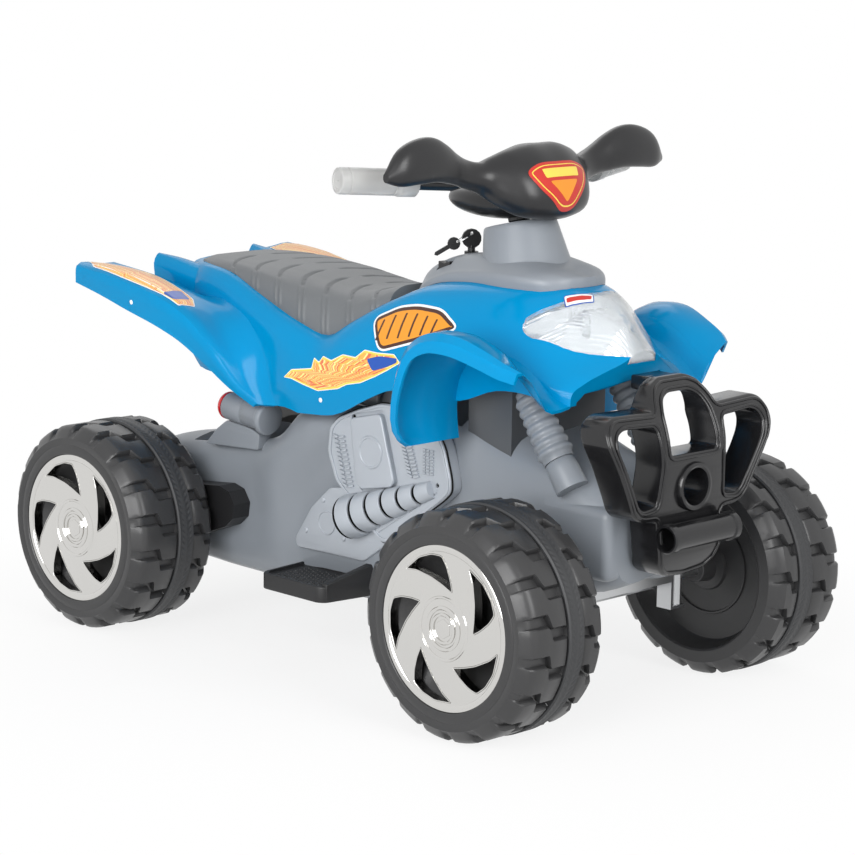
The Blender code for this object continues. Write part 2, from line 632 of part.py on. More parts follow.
def moved(obj, matrix):
    obj.data.transform(matrix)
    if matrix.determinant() < 0:
        obj.data.flip_normals()
    return obj


def mirrored(obj, side):
    """The solid as built for the left side, or its mirror image for the right."""
    return obj if side > 0 else moved(obj, Matrix.Scale(-1, 4, (1, 0, 0)))


def place(obj, name, material, frame, sharp=40):
    """Names the solid, gives it its finish and hangs it on its frame."""
    empty, matrix = frame
    bm = bmesh.new()
    bm.from_mesh(obj.data)
    bmesh.ops.dissolve_limit(bm, angle_limit=FLAT_ANGLE, verts=bm.verts, edges=bm.edges)
    bmesh.ops.triangulate(bm, faces=[f for f in bm.faces if len(f.verts) > 4])
    bm.to_mesh(obj.data)
    bm.free()
    obj.name = name
    obj.data.name = name
    obj.data.transform(matrix.inverted())
    obj.parent = empty
    obj.data.materials.clear()
    obj.data.materials.append(MATERIALS[material])
    obj.data.shade_smooth()
    obj.data.set_sharp_from_angle(angle=math.radians(sharp))
    return obj


def axis_matrix(origin, direction):
    """A frame at the origin whose Z axis points along the direction."""
    turn = Vector(direction).to_track_quat("Z", "Y").to_matrix().to_4x4()
    return Matrix.Translation(origin) @ turn


def block(size, centre, bevel=0.0, segments=1):
    bm = bmesh.new()
    bmesh.ops.create_cube(bm, size=1.0)
    bmesh.ops.scale(bm, vec=size, verts=bm.verts)
    if bevel:
        bmesh.ops.bevel(bm, geom=bm.edges[:], offset=bevel, segments=segments, affect="EDGES",
                        profile=0.5)
    bmesh.ops.translate(bm, vec=centre, verts=bm.verts)
    return solid(bm)


def box_between(low, high, bevel=0.0, segments=1):
    size = [h - l for l, h in zip(low, high)]
    centre = [(h + l) / 2 for l, h in zip(low, high)]
    return block(size, centre, bevel, segments)


def rod(start, end, radius, segments=16, end_radius=None):
    """A cylinder or cone between two points."""
    start, end = Vector(start), Vector(end)
    bm = bmesh.new()
    bmesh.ops.create_cone(bm, cap_ends=True, segments=segments, radius1=radius,
                          radius2=radius if end_radius is None else end_radius,
                          depth=(end - start).length)
    obj = solid(bm)
    return moved(obj, axis_matrix((start + end) / 2, end - start))


def bore(start, end, radius, segments=12):
    """A cutter for a round hole: its flats, not its corners, lie at the radius."""
    return rod(start, end, radius / math.cos(math.pi / segments), segments)


def turned(profile, origin, direction, steps=24, closed=False):
    """A profile of radius and height turned about an axis, with a Screw modifier."""
    mesh = bpy.data.meshes.new("work")
    edges = [(i, i + 1) for i in range(len(profile) - 1)]
    if closed:
        edges.append((len(profile) - 1, 0))
    mesh.from_pydata([(r, 0.0, h) for r, h in profile], edges, [])
    obj = bpy.data.objects.new("work", mesh)
    PARTS.objects.link(obj)
    obj.matrix_world = axis_matrix(origin, direction)
    screw = obj.modifiers.new("turn", "SCREW")
    screw.steps = steps
    screw.render_steps = steps
    screw.use_merge_vertices = True
    screw.merge_threshold = 1e-5
    return settled(obj)


def sheet(outlines, thickness, matrix=Matrix.Identity(4)):
    """A flat plate from a 2D curve: the first outline is its edge, the others are holes."""
    curve = bpy.data.curves.new("work", "CURVE")
    curve.dimensions = "2D"
    curve.fill_mode = "BOTH"
    curve.extrude = thickness / 2
    for outline in outlines:
        spline = curve.splines.new("POLY")
        spline.points.add(len(outline) - 1)
        for point, (x, y) in zip(spline.points, outline):
            point.co = (x, y, 0.0, 1.0)
        spline.use_cyclic_u = True
    obj = bpy.data.objects.new("work", curve)
    PARTS.objects.link(obj)
    obj.matrix_world = matrix
    return settled(obj, weld=1e-5)


def tube(points, radius, resolution=2, cyclic=False):
    """A round wire or pipe along points, from a curve with a bevel depth."""
    curve = bpy.data.curves.new("work", "CURVE")
    curve.dimensions = "3D"
    curve.bevel_depth = radius
    curve.bevel_resolution = resolution
    curve.use_fill_caps = not cyclic
    spline = curve.splines.new("POLY")
    spline.points.add(len(points) - 1)
    for point, place_ in zip(spline.points, points):
        point.co = (*place_, 1.0)
    spline.use_cyclic_u = cyclic
    obj = bpy.data.objects.new("work", curve)
    PARTS.objects.link(obj)
    return settled(obj, weld=1e-5)


def loft(rings):
    """A closed solid through rings of equally many points, with flat ends.

    The diagonals mirror each other, so that a wall between two lofts stays even.
    """
    bm = bmesh.new()
    rows = [[bm.verts.new(p) for p in ring] for ring in rings]
    for low, high in zip(rows, rows[1:]):
        for i in range(len(low)):
            j = (i + 1) % len(low)
            if low[i].co.x + low[j].co.x >= 0:
                bm.faces.new((low[i], low[j], high[j]))
                bm.faces.new((low[i], high[j], high[i]))
            else:
                bm.faces.new((low[i], low[j], high[i]))
                bm.faces.new((low[j], high[j], high[i]))
    bm.faces.new(rows[0])
    bm.faces.new(rows[-1])
    bmesh.ops.triangulate(bm, faces=[f for f in bm.faces if len(f.verts) > 4])
    return solid(bm)


def circle(radius, count, centre=(0.0, 0.0)):
    """Points on a circle in a plane."""
    return [(centre[0] + radius * math.cos(t), centre[1] + radius * math.sin(t))
            for t in [math.tau * i / count for i in range(count)]]


def both_sides(outline):
    """A closed outline from the half that starts and ends on the middle line, or near it."""
    right = [(-x, v) for x, v in reversed(outline) if x > 1e-6]
    return list(outline) + right


def interpolate(table, at):
    """A value from a table of (place, value) pairs, straight between them."""
    if at <= table[0][0]:
        return table[0][1]
    for (p0, v0), (p1, v1) in zip(table, table[1:]):
        if at <= p1:
            return v0 + (v1 - v0) * (at - p0) / (p1 - p0)
    return table[-1][1]


def inset(points, amount):
    """Half a section profile moved inwards by a wall, with its middle point kept at x = 0."""
    result = []
    for i, (x, z) in enumerate(points):
        before = points[i - 1] if i else (-points[1][0], points[1][1])
        after = points[i + 1] if i + 1 < len(points) else (x, z)
        if i + 1 == len(points):
            before, after = points[i - 1], (x + x - points[i - 1][0], z + z - points[i - 1][1])
        into = Vector((x - before[0], z - before[1])).normalized()
        out = Vector((after[0] - x, after[1] - z)).normalized()
        # The profile runs from the middle outwards and down, so inwards is on its right
        normal = Vector((into.y + out.y, -into.x - out.x)).normalized()
        stretch = 1.0 / max(0.5, math.sqrt((1 + into.dot(out)) / 2))
        result.append((x + normal.x * amount * stretch, z + normal.y * amount * stretch))
    result[0] = (0.0, result[0][1])
    return result


# Upper body


def body_ring(y, bow, points):
    widest = max(x for x, _ in points)
    half = [Vector((x, y + bow * (x / widest) ** 2, z)) for x, z in points]
    return half + [Vector((-p.x, p.y, p.z)) for p in reversed(half[1:])]


def body_core(offset=0.0, drop=0.0):
    """The body's outer form moved inwards by an offset; a drop carries its foot further down."""
    rings = []
    last = len(BODY_SECTIONS) - 1
    for i, (y, bow, points) in enumerate(BODY_SECTIONS):
        points = inset(points, offset) if offset else list(points)
        if drop:
            x, z = points[-1]
            points[-1] = (x, z - drop)
        shift = offset if i == 0 else -offset if i == last else 0.0
        rings.append(body_ring(y + shift, bow, points))
    return loft(rings)


def pan_height(y):
    """Height of the body's top, along its middle."""
    return interpolate([(s[0], s[2][0][1]) for s in BODY_SECTIONS], y)


def strip(stations, wheel_y):
    """A fender or wing: a bent strip with a valley, a raised ridge and a turned-down lip."""
    edges = [Vector((0.0, s[1], s[2])) for s in stations]
    hub = Vector((0.0, wheel_y, WHEEL_RADIUS))
    sideways = Vector((-FENDER_WALL, 0.0, 0.0))
    rings = []
    for i, (edge_x, y, z, lip, *inner) in enumerate(stations):
        along = (edges[min(i + 1, len(edges) - 1)] - edges[max(i - 1, 0)]).normalized()
        towards_wheel = Vector((0.0, along.z, -along.y))
        if towards_wheel.dot(hub - edges[i]) < 0:
            towards_wheel = -towards_wheel
        line = [Vector((x, y + dy, z + dz)) for x, dy, dz in inner] + [Vector((edge_x, y, z))]
        lip_foot = line[-1] + towards_wheel * lip
        inside = [p + towards_wheel * FENDER_WALL + sideways for p in line]
        rings.append(line + [lip_foot, lip_foot + sideways] + inside[::-1])
    return loft(rings)


def fin():
    rings = []
    for y, inner, outer, low, high in FIN_SECTIONS:
        r = FIN_ROUND
        rings.append([Vector((x, y, z)) for x, z in (
            (inner, low), (inner, high - r), (inner + r, high), (outer - r, high),
            (outer, high - r), (outer, low))])
    return loft(rings)


def lens_prism(grow, low=LENS_FLOOR, high=LENS_CEILING):
    """The headlight's outline as a tall prism, grown or shrunk sideways."""
    outline = [Vector(p) for p in both_sides(LENS_OUTLINE)]
    grown = []
    for i, here in enumerate(outline):
        into = (here - outline[i - 1]).normalized()
        out = (outline[(i + 1) % len(outline)] - here).normalized()
        # The outline runs clockwise seen from above, so its outside is on the left
        normal = Vector((-into.y - out.y, into.x + out.x)).normalized()
        grown.append(here + normal * grow / max(0.6, math.sqrt((1 + into.dot(out)) / 2)))
    middle = (low - grow + high) / 2
    return sheet([grown], high - low + grow, Matrix.Translation((0, 0, middle)))


def build_upper_body(root):
    body = body_core()
    for side in (1, -1):
        body = joined(body, mirrored(strip(FENDER_STATIONS, -WHEELBASE / 2), side),
                      mirrored(strip(WING_STATIONS, WHEELBASE / 2), side),
                      mirrored(fin(), side))
    low, high = COLUMN_HOLE_SPAN
    hole = rod((0, column_y(low), low), (0, column_y(high), high), COLUMN_HOLE_RADIUS)
    body = cut(body, body_core(BODY_WALL, drop=OPEN_BELOW), lens_prism(0.0), hole)
    return place(body, "upper_body", "body", root, sharp=32)


def build_headlight(root):
    lens = combine(lens_prism(-SEAT_GAP), body_core(), "INTERSECT")
    lens = cut(lens, body_core(LENS_THICKNESS, drop=OPEN_BELOW))
    place(lens, "headlight_lens", "clear", root, sharp=25)

    behind = BODY_WALL + SEAT_GAP
    flange = lens_prism(REFLECTOR_FLANGE)
    tub = combine(flange, body_core(behind), "INTERSECT")
    tub = cut(tub, body_core(REFLECTOR_DEPTH + REFLECTOR_WALL, drop=OPEN_BELOW))
    pocket = cut(lens_prism(-REFLECTOR_WALL, low=LENS_FLOOR + REFLECTOR_WALL),
                 body_core(REFLECTOR_DEPTH, drop=OPEN_BELOW))
    place(cut(tub, pocket), "headlight_reflector", "chrome", root, sharp=25)

    for side, word in ((1, "left"), (-1, "right")):
        x, y = BULB_PLACE
        floor = body_core(REFLECTOR_DEPTH - SEAT_GAP, drop=OPEN_BELOW)
        bulb = rod((x, y, LENS_FLOOR - CUT_PAST), (x, y, LENS_CEILING), BULB_RADIUS, 12)
        bulb = combine(bulb, body_core(REFLECTOR_DEPTH - BULB_HEIGHT), "INTERSECT")
        bulb = cut(bulb, floor)
        place(mirrored(bulb, side), "lamp_bulb_" + word, "clear", root)


# Seat


def seat_rings(lower=0.0):
    """The saddle's sections; lowered ones, a little wider and deeper, bound its grooves."""
    rings = []
    spare = lower / 2
    for y, half, crown, edge in SEAT_SECTIONS:
        floor = pan_height(y) + SEAT_GAP
        skirt = min(edge / 2, SEAT_SKIRT)
        foot = half + SEAT_SKIRT + spare
        top = [(half * across, edge + (crown - edge) * rise) for across, rise in SEAT_PROFILE]
        top.append((foot, skirt))
        half_ring = [Vector((x, y, floor + h - lower)) for x, h in top]
        half_ring.append(Vector((foot, y, floor - SEAT_TRIM - spare)))
        rings.append(half_ring + [Vector((-p.x, p.y, p.z)) for p in reversed(half_ring[1:])])
    if lower:
        rings[0] = [p + Vector((0.0, -spare, 0.0)) for p in rings[0]]
        rings[-1] = [p + Vector((0.0, spare, 0.0)) for p in rings[-1]]
    return rings


def chevron(y):
    """A V-shaped bar in plan, its point towards the rear."""
    arm, width = CHEVRON_REACH, CHEVRON_WIDTH
    half = [(0.0, y + CHEVRON_SWEEP), (arm, y - CHEVRON_SWEEP), (arm, y - CHEVRON_SWEEP - width),
            (0.0, y + CHEVRON_SWEEP - width)]
    outline = [half[0], half[1], half[2], half[3], (-arm, half[2][1]), (-arm, half[1][1])]
    return sheet([outline], CUT_LENGTH, Matrix.Translation((0, 0, pan_height(y))))


def build_seat(root):
    seat = loft(seat_rings())
    core = loft(seat_rings(lower=CHEVRON_DEPTH))
    for i in range(CHEVRONS):
        groove = chevron(CHEVRON_START + i * CHEVRON_PITCH)
        seat = cut(seat, combine(groove, core, "DIFFERENCE", keep=True))
    discard(core)
    seat = cut(seat, body_core(-SEAT_GAP))
    return place(seat, "seat", "seat", root, sharp=28)


# Chassis hull


def hull_ring(y, points, wall=0.0, lift=0.0, top=0.0):
    half = inset(points, wall) if wall else list(points)
    half[-1] = (0.0, half[-1][1] + lift)
    half[0] = (0.0, half[0][1] + top)
    if top:
        half[1] = (half[1][0], half[1][1] + top)
    left = [Vector((x, y, z)) for x, z in half]
    return left + [Vector((-p.x, p.y, p.z)) for p in reversed(left[1:-1])]


def section_at(sections, y):
    """A half profile between two sections."""
    for (y0, a), (y1, b) in zip(sections, sections[1:]):
        if y0 <= y <= y1:
            share = (y - y0) / (y1 - y0)
            return [(p[0] + (q[0] - p[0]) * share, p[1] + (q[1] - p[1]) * share)
                    for p, q in zip(a, b)]
    raise ValueError("no section at this place")


def hull_room():
    """The hull's outer form grown by the seating gap, for trimming what lies against it."""
    return loft([hull_ring(y, points, -SEAT_GAP) for y, points in HULL_SECTIONS])


def tub_cutter():
    """The battery bay: the hull's own section less its wall, open at the top."""
    places = [TUB_FRONT] + [s[0] for s in HULL_SECTIONS if TUB_FRONT < s[0] < TUB_BACK] + [TUB_BACK]
    rings = [hull_ring(y, section_at(HULL_SECTIONS, y), HULL_WALL, TUB_FLOOR - HULL_WALL, TUB_RISE)
             for y in places]
    return loft(rings)


def column_y(z):
    """Where the steering axis lies at a height."""
    return COLUMN_TOP[1] - (COLUMN_TOP[2] - z) * math.tan(COLUMN_TILT)


def build_hull(root):
    hull = loft([hull_ring(y, points) for y, points in HULL_SECTIONS])
    hull = cut(hull, tub_cutter())
    top, foot = Vector(DAMPER_TOP), Vector(DAMPER_FOOT)
    along = (top - foot).normalized()
    for side in (1, -1):
        pedestal = rod(foot - along * PEDESTAL_LENGTH, foot - along * SEAT_GAP, PEDESTAL_RADIUS, 10)
        hull = joined(hull, mirrored(pedestal, side))
    low, high = HULL_BORE_SPAN
    axle_y, wide, room_top = WHEELBASE / 2, CUT_LENGTH, CRANK_HEIGHT + CRANK_ROOM_ABOVE
    behind = BEAM_ROOM - SEAT_GAP - axle_y
    my, mz = MOTOR_PLACE
    hull = cut(hull,
               bore((0, column_y(low), low), (0, column_y(high), high), SHAFT_RADIUS + RUN_GAP),
               box_between((-wide, -axle_y - BEAM_ROOM, low), (wide, -axle_y + BEAM_ROOM, NOTCH_TOP)),
               box_between((-CRANK_ROOM_HALF_WIDTH, behind, low),
                           (CRANK_ROOM_HALF_WIDTH, column_y(CRANK_HEIGHT) + CRANK_ROOM_BEHIND, room_top)),
               box_between((-wide, behind, low), (wide, -axle_y + TIE_ROOM_BEHIND, room_top)),
               bore((-wide, axle_y, WHEEL_RADIUS), (wide, axle_y, WHEEL_RADIUS), AXLE_RADIUS + SEAT_GAP),
               bore((-wide, my, mz), (wide, my, mz), MOTOR_RADIUS + SEAT_GAP, 16))
    for side in (1, -1):
        inner = side * (POD_X - WEDGE_WIDTH / 2 - WEDGE_INSET)
        outer = side * (POD_X + WEDGE_WIDTH / 2 - WEDGE_INSET)
        ring_in = [Vector((inner, y, z - WEDGE_SLOPE)) for y, z in WEDGE_OUTLINE]
        ring_out = [Vector((outer, y, z)) for y, z in WEDGE_OUTLINE]
        bracket = loft([ring_in, ring_out])
        bracket = cut(bracket, pod_shape(side, SEAT_GAP))
        hull = joined(hull, bracket)
    return place(hull, "chassis_hull", "hull", root, sharp=32)


def build_column_bracket(root):
    """The black block between hull and body which holds the steering column upright."""
    wide, narrow = BRACKET_HALF_WIDTHS
    top = max(section[2][0][1] for section in BODY_SECTIONS)
    lower = box_between((-wide, BRACKET_FRONT, BRACKET_LOW), (wide, BRACKET_BACK, BRACKET_STEP))
    upper = box_between((-narrow, BRACKET_FRONT + BRACKET_INSET, BRACKET_STEP - BRACKET_INSET),
                        (narrow, BRACKET_BACK - BRACKET_INSET / 2, top))
    upper = combine(upper, body_core(BODY_WALL + SEAT_GAP), "INTERSECT")
    bracket = cut(joined(cut(lower, hull_room()), upper),
                  bore((0, column_y(BRACKET_LOW), BRACKET_LOW), (0, column_y(top), top),
                       SHAFT_RADIUS + RUN_GAP))
    return place(bracket, "column_bracket", "black", root)


# Tail pods


def pod_axis(side):
    return (Vector((side * POD_X, POD_FRONT[0], POD_FRONT[1])),
            Vector((side * POD_X, POD_REAR[0], POD_REAR[1])))


def pod_shape(side, grow=0.0):
    front, rear = pod_axis(side)
    along = (rear - front).normalized()
    return rod(front - along * POD_RUN_ON, rear + along * POD_RUN_ON, POD_RADIUS + grow, 14)


def build_tail_pods(root):
    for side, word in ((1, "left"), (-1, "right")):
        front, rear = pod_axis(side)
        length = (rear - front).length - POD_LENS_LENGTH
        r, rounding = POD_RADIUS, POD_COLLAR_ROUND
        collar_end, pipe_start = POD_COLLAR_SPAN
        profile = [(0.0, length), (r - POD_ROUND, length), (r, length - POD_ROUND), (r, pipe_start),
                   (POD_COLLAR, collar_end), (POD_COLLAR, rounding), (POD_COLLAR - rounding, 0.0),
                   (0.0, 0.0)]
        pod = turned(profile, front, rear - front, 14)
        place(pod, "tail_pod_" + word, "hull", root)
        start = front + (rear - front).normalized() * (length + SEAT_GAP)
        dome = [(r * share, POD_LENS_LENGTH - down) for share, down in TAIL_LENS]
        lens = turned(dome + [(r, 0.0), (0.0, 0.0)], start, rear - front, 14)
        place(lens, "tail_lens_" + word, "red", root)


# Front bumper


def build_bumper(root):
    windows = [both_sides(HOOP_WINDOW), list(SIDE_WINDOW), [(-x, z) for x, z in SIDE_WINDOW]]
    upright = Matrix.Rotation(math.radians(90), 4, "X")
    hoop = sheet([both_sides(HOOP_OUTLINE)] + windows, BUMPER_DEPTH, upright)
    for vertex in hoop.data.vertices:
        face = interpolate(BUMPER_FACE, vertex.co.z)
        vertex.co.y = face if vertex.co.y < 0 else min(face + BUMPER_DEPTH, BUMPER_BACK)
    hoop = triangulated(hoop)
    half = ROLLER_LENGTH / 2
    ry, rz = ROLLER_PLACE
    roller = rod((-half, ry, rz), (half, ry, rz), ROLLER_RADIUS, 14)
    arm_top = HOOP_OUTLINE[0][1] - ARM_DROP
    arm = box_between((-ARM_WIDTH / 2, ARM_FRONT, arm_top - ARM_THICKNESS),
                      (ARM_WIDTH / 2, BODY_SECTIONS[0][0] - SEAT_GAP, arm_top), ARM_ROUND)
    face = interpolate(BUMPER_FACE, RING_HEIGHT)
    cup = rod((0, face + BUMPER_DEPTH / 2, RING_HEIGHT), (0, face - RING_STAND, RING_HEIGHT),
              RING_RADIUS, 14)
    bumper = joined(hoop, roller, arm, cup)
    bumper = cut(bumper, rod((-half * 2, ry, rz), (half * 2, ry, rz), ROLLER_BORE, 12),
                 rod((0, BUMPER_BACK + BUMPER_DEPTH, RING_HEIGHT),
                     (0, face - BUMPER_DEPTH, RING_HEIGHT), RING_HOLE_RADIUS, 12))
    return place(bumper, "front_bumper", "black", root, sharp=35)


# Steering column cover


def build_column_cover(root):
    rings = []
    crown = []
    for x, y in PLATE_OUTLINE:
        base = pan_height(y) + SEAT_GAP
        height = interpolate(PLATE_CROWN, y)
        rim = min(PLATE_RIM, height * RIM_LIMIT)
        half = [(x, base - PLATE_TRIM)]
        half += [(x * across, base + rim * rise) for across, rise in PLATE_EDGE]
        half += [(x * PLATE_FLAT, base + height), (0.0, base + height)]
        left = [Vector((px, y, pz)) for px, pz in half]
        rings.append(left + [Vector((-p.x, p.y, p.z)) for p in reversed(left[:-1])])
        crown.append((y, base + height))
    plate = loft(rings)
    top = Vector(COLUMN_TOP)
    axis = Vector((0, math.sin(COLUMN_TILT), math.cos(COLUMN_TILT)))
    foot = top - axis * CONE_LENGTH
    cone = rod(foot, top, CONE_BASE_RADIUS, 18, CONE_TOP_RADIUS)
    cover = joined(plate, cone)
    hollow = rod(foot - axis * CONE_LENGTH / 2, top - axis * CONE_WALL, CONE_HOLLOW_RADIUS, 16,
                 CONE_TOP_RADIUS - CONE_WALL)
    cover = cut(cover, hollow, body_core(-SEAT_GAP),
                rod(top - axis * CUT_PAST, top + axis * CUT_PAST, SHAFT_HOLE_RADIUS, 12))
    lock_x, lock_y = LOCK_PLACE
    lock_top = interpolate(sorted(crown), lock_y + LOCK_SEAT_SHIFT)
    above = (lock_x, lock_y, lock_top + CUT_PAST)
    cover = cut(cover, bore((lock_x, lock_y, lock_top - LOCK_DEPTH), above, LOCK_RADIUS + SEAT_GAP),
                bore((lock_x, lock_y, lock_top), above, LOCK_FLARE + SEAT_GAP))
    rx, ry = ROCKER_PLACE
    sx, sy = ROCKER_SIZE
    side_room, end_room, rise = ROCKER_WELL
    rocker_low = pan_height(ry) + SEAT_GAP + rise
    well = box_between((rx - sx / 2 - side_room, ry - sy / 2 - end_room, rocker_low),
                       (rx + sx / 2 + side_room, ry + sy / 2 + end_room, rocker_low + CUT_PAST * 2))
    cover = cut(cover, well)
    place(cover, "column_cover", "hull", root, sharp=32)
    return lock_top, rocker_low


def build_controls(root, lock_top, rocker_low):
    x, y = LOCK_PLACE
    low = lock_top - LOCK_DEPTH + SEAT_GAP
    inner = LOCK_BORE / math.cos(math.pi / 12)
    profile = [(inner, LOCK_HEIGHT), (LOCK_RADIUS, LOCK_HEIGHT), (LOCK_RADIUS, LOCK_FLANGE * 2),
               (LOCK_FLARE, LOCK_FLANGE), (LOCK_FLARE, SEAT_GAP), (LOCK_RADIUS, SEAT_GAP),
               (LOCK_RADIUS, low - lock_top), (inner, low - lock_top)]
    lock = turned(profile, (x, y, lock_top), (0, 0, 1), 12, closed=True)
    place(lock, "ignition_lock", "black", root)

    key_frame = make_frame("key_axis", (x, y, lock_top + LOCK_HEIGHT), parent=root[0])
    top = lock_top + LOCK_HEIGHT
    stem = rod((x, y, low + KEY_BLADE_LIFT), (x, y, top + KEY_STEM + KEY_BLADE_RADIUS),
               KEY_BLADE_RADIUS, 10)
    collar = rod((x, y, top + SEAT_GAP), (x, y, top + KEY_STEM), KEY_BLADE_RADIUS + KEY_COLLAR_STEP, 10)
    centre = Vector((x, y, top + KEY_STEM + KEY_HEAD_RADIUS - SUNK))
    half = KEY_HEAD_THICKNESS / 2
    across = Vector((math.sin(KEY_TURN), math.cos(KEY_TURN), 0))
    head = rod(centre - across * half, centre + across * half, KEY_HEAD_RADIUS, 14)
    side_way = across.cross(Vector((0, 0, 1)))
    hole_at = centre + Vector((0, 0, KEY_HEAD_RADIUS * KEY_EYE_SHARE))
    hole = rod(hole_at - across * CUT_PAST, hole_at + across * CUT_PAST, KEY_EYE_RADIUS, 8)
    key = cut(joined(stem, collar, head), hole)
    place(key, "ignition_key", "black", key_frame)

    # The wire ring hangs through the hole in the key's head
    aside, down = (share * KEY_RING_RADIUS for share in RING_HANG)
    ring_centre = hole_at - side_way * aside - Vector((0, 0, down))
    inward = (hole_at - ring_centre).normalized()
    ring = tube([ring_centre + Vector(inward * c + across * v) for c, v in
                 circle(KEY_RING_RADIUS, 14)], KEY_WIRE, 0, cyclic=True)
    place(ring, "key_ring", "steel", key_frame)
    # The spare key hangs edge-on to the ring's far side, which passes through its eye
    far = ring_centre - inward * KEY_RING_RADIUS
    down = -inward
    hung = Matrix.Translation(far) @ Matrix((down.cross(across), down, across)).transposed().to_4x4()
    head = sheet([circle(SPARE_HEAD_RADIUS, 12, (0.0, SPARE_EYE_OFFSET)), circle(SPARE_EYE_RADIUS, 8)],
                 SPARE_THICKNESS, hung)
    half, root_at, tip = SPARE_BLADE
    blade = sheet([[(-half, root_at), (half, root_at), (half, tip - half), (0.0, tip),
                    (-half, tip - half)]], SPARE_BLADE_THICKNESS, hung)
    place(joined(head, blade), "spare_key", "black", key_frame)

    rx, ry = ROCKER_PLACE
    sx, sy = ROCKER_SIZE
    pivot = (rx, ry, rocker_low + ROCKER_PIVOT)
    rocker_frame = make_frame("rocker_axis", pivot, parent=root[0])
    bar = sheet([[(share * sy, height) for share, height in ROCKER_OUTLINE]], sx,
                Matrix.Translation((rx, ry, rocker_low + SEAT_GAP * 2))
                @ Matrix.Rotation(math.radians(90), 4, "Z") @ Matrix.Rotation(math.radians(90), 4, "X"))
    place(bar, "direction_rocker", "black", rocker_frame)


# Handlebar and steering shaft


def bar_ring(x, y, z, half_height, half_depth, lean):
    ring = []
    tilt = math.radians(lean)
    for i in range(BAR_SIDES):
        t = math.tau * i / BAR_SIDES
        up = half_height * math.cos(t)
        out = -half_depth * math.sin(t)
        ring.append(Vector((x, y + out * math.cos(tilt) + up * math.sin(tilt),
                            z + up * math.cos(tilt) - out * math.sin(tilt))))
    return ring


def grip_line():
    start, end = Vector(GRIP_START), Vector(GRIP_END)
    return start, end, (end - start).normalized()


def build_handlebar(steering):
    sections = [(-s[0],) + s[1:] for s in reversed(BAR_SECTIONS[1:])] + list(BAR_SECTIONS)
    bar = loft([bar_ring(*s) for s in sections])
    centre, radii = BELLY
    bm = bmesh.new()
    bmesh.ops.create_uvsphere(bm, u_segments=10, v_segments=5, radius=1.0)
    bmesh.ops.scale(bm, vec=radii, verts=bm.verts)
    bmesh.ops.translate(bm, vec=centre, verts=bm.verts)
    belly = solid(bm)
    bar = joined(bar, belly)
    start, end, along = grip_line()
    neck_root = Vector(NECK_ROOT)
    for side in (1, -1):
        stub = rod(start, end - along * GRIP_CAP, GRIP_TUBE_RADIUS, 12)
        neck = rod(neck_root, start + (start - neck_root).normalized() * NECK_PAST, GRIP_TUBE_RADIUS, 8)
        bar = joined(bar, mirrored(joined(stub, neck), side))
    top = Vector(COLUMN_TOP)
    axis = Vector((0, math.sin(COLUMN_TILT), math.cos(COLUMN_TILT)))
    below = top - axis * CUT_PAST / 2
    socket = bore(below, top + axis * SOCKET_DEPTH, SHAFT_RADIUS + SEAT_GAP)
    clamp_top = CLAMP_RISE + CLAMP_LENGTH + SEAT_GAP
    recess = bore(below, top + axis * clamp_top, CLAMP_RADIUS + SEAT_GAP)
    bar = cut(bar, socket, recess)
    place(bar, "handlebar_shell", "black", steering, sharp=32)

    for side, word in ((1, "left"), (-1, "right")):
        grip_from = end - along * GRIP_LENGTH
        r, inner = GRIP_RADIUS, (GRIP_TUBE_RADIUS + SEAT_GAP) / math.cos(math.pi / 14)
        length = GRIP_LENGTH
        hole = length - GRIP_CAP + SEAT_GAP
        ring_end, step = GRIP_RING
        profile = [(0.0, length), (r - GRIP_ROUND, length), (r, length - GRIP_ROUND), (r, ring_end),
                   (r + step, ring_end - GRIP_ROUND), (r + step, 0.0), (inner, 0.0), (inner, hole),
                   (0.0, hole)]
        grip = turned(profile, grip_from, along, 14)
        grip = mirrored(grip, side)
        if side < 0:
            grip = cut(grip, throttle_slot(RUN_GAP))
        place(grip, "grip_" + word, "pale", steering)


def throttle_place():
    _, end, along = grip_line()
    along = Vector((-along.x, along.y, along.z))
    end = Vector((-end.x, end.y, end.z))
    centre = end - along * (GRIP_LENGTH - THROTTLE_FROM_RING)
    back = Vector((0, 1, 0))
    back = (back - along * back.dot(along)).normalized()
    return centre, along, back


def throttle_slot(grow):
    centre, along, back = throttle_place()
    turn = Matrix((along, back, along.cross(back))).transposed().to_4x4()
    size = [s + 2 * grow for s in THROTTLE_SIZE]
    depth = GRIP_RADIUS - THROTTLE_SUNK + THROTTLE_SIZE[1] / 2 - grow
    return moved(block(size, (0, 0, 0)), Matrix.Translation(centre + back * depth) @ turn)


def build_throttle(root):
    centre, along, back = throttle_place()
    turn = Matrix((along, back, along.cross(back))).transposed().to_4x4()
    depth = GRIP_RADIUS - THROTTLE_SUNK + THROTTLE_SIZE[1] / 2 + THROTTLE_PROUD
    width, reach, height = THROTTLE_SIZE
    button = block((width, reach - THROTTLE_SHORTER, height), (0, 0, 0), THROTTLE_ROUND)
    moved(button, Matrix.Translation(centre + back * depth) @ turn)
    frame = make_frame("throttle_axis", centre + back * depth, parent=root[0])
    place(button, "throttle_button", "black", frame)


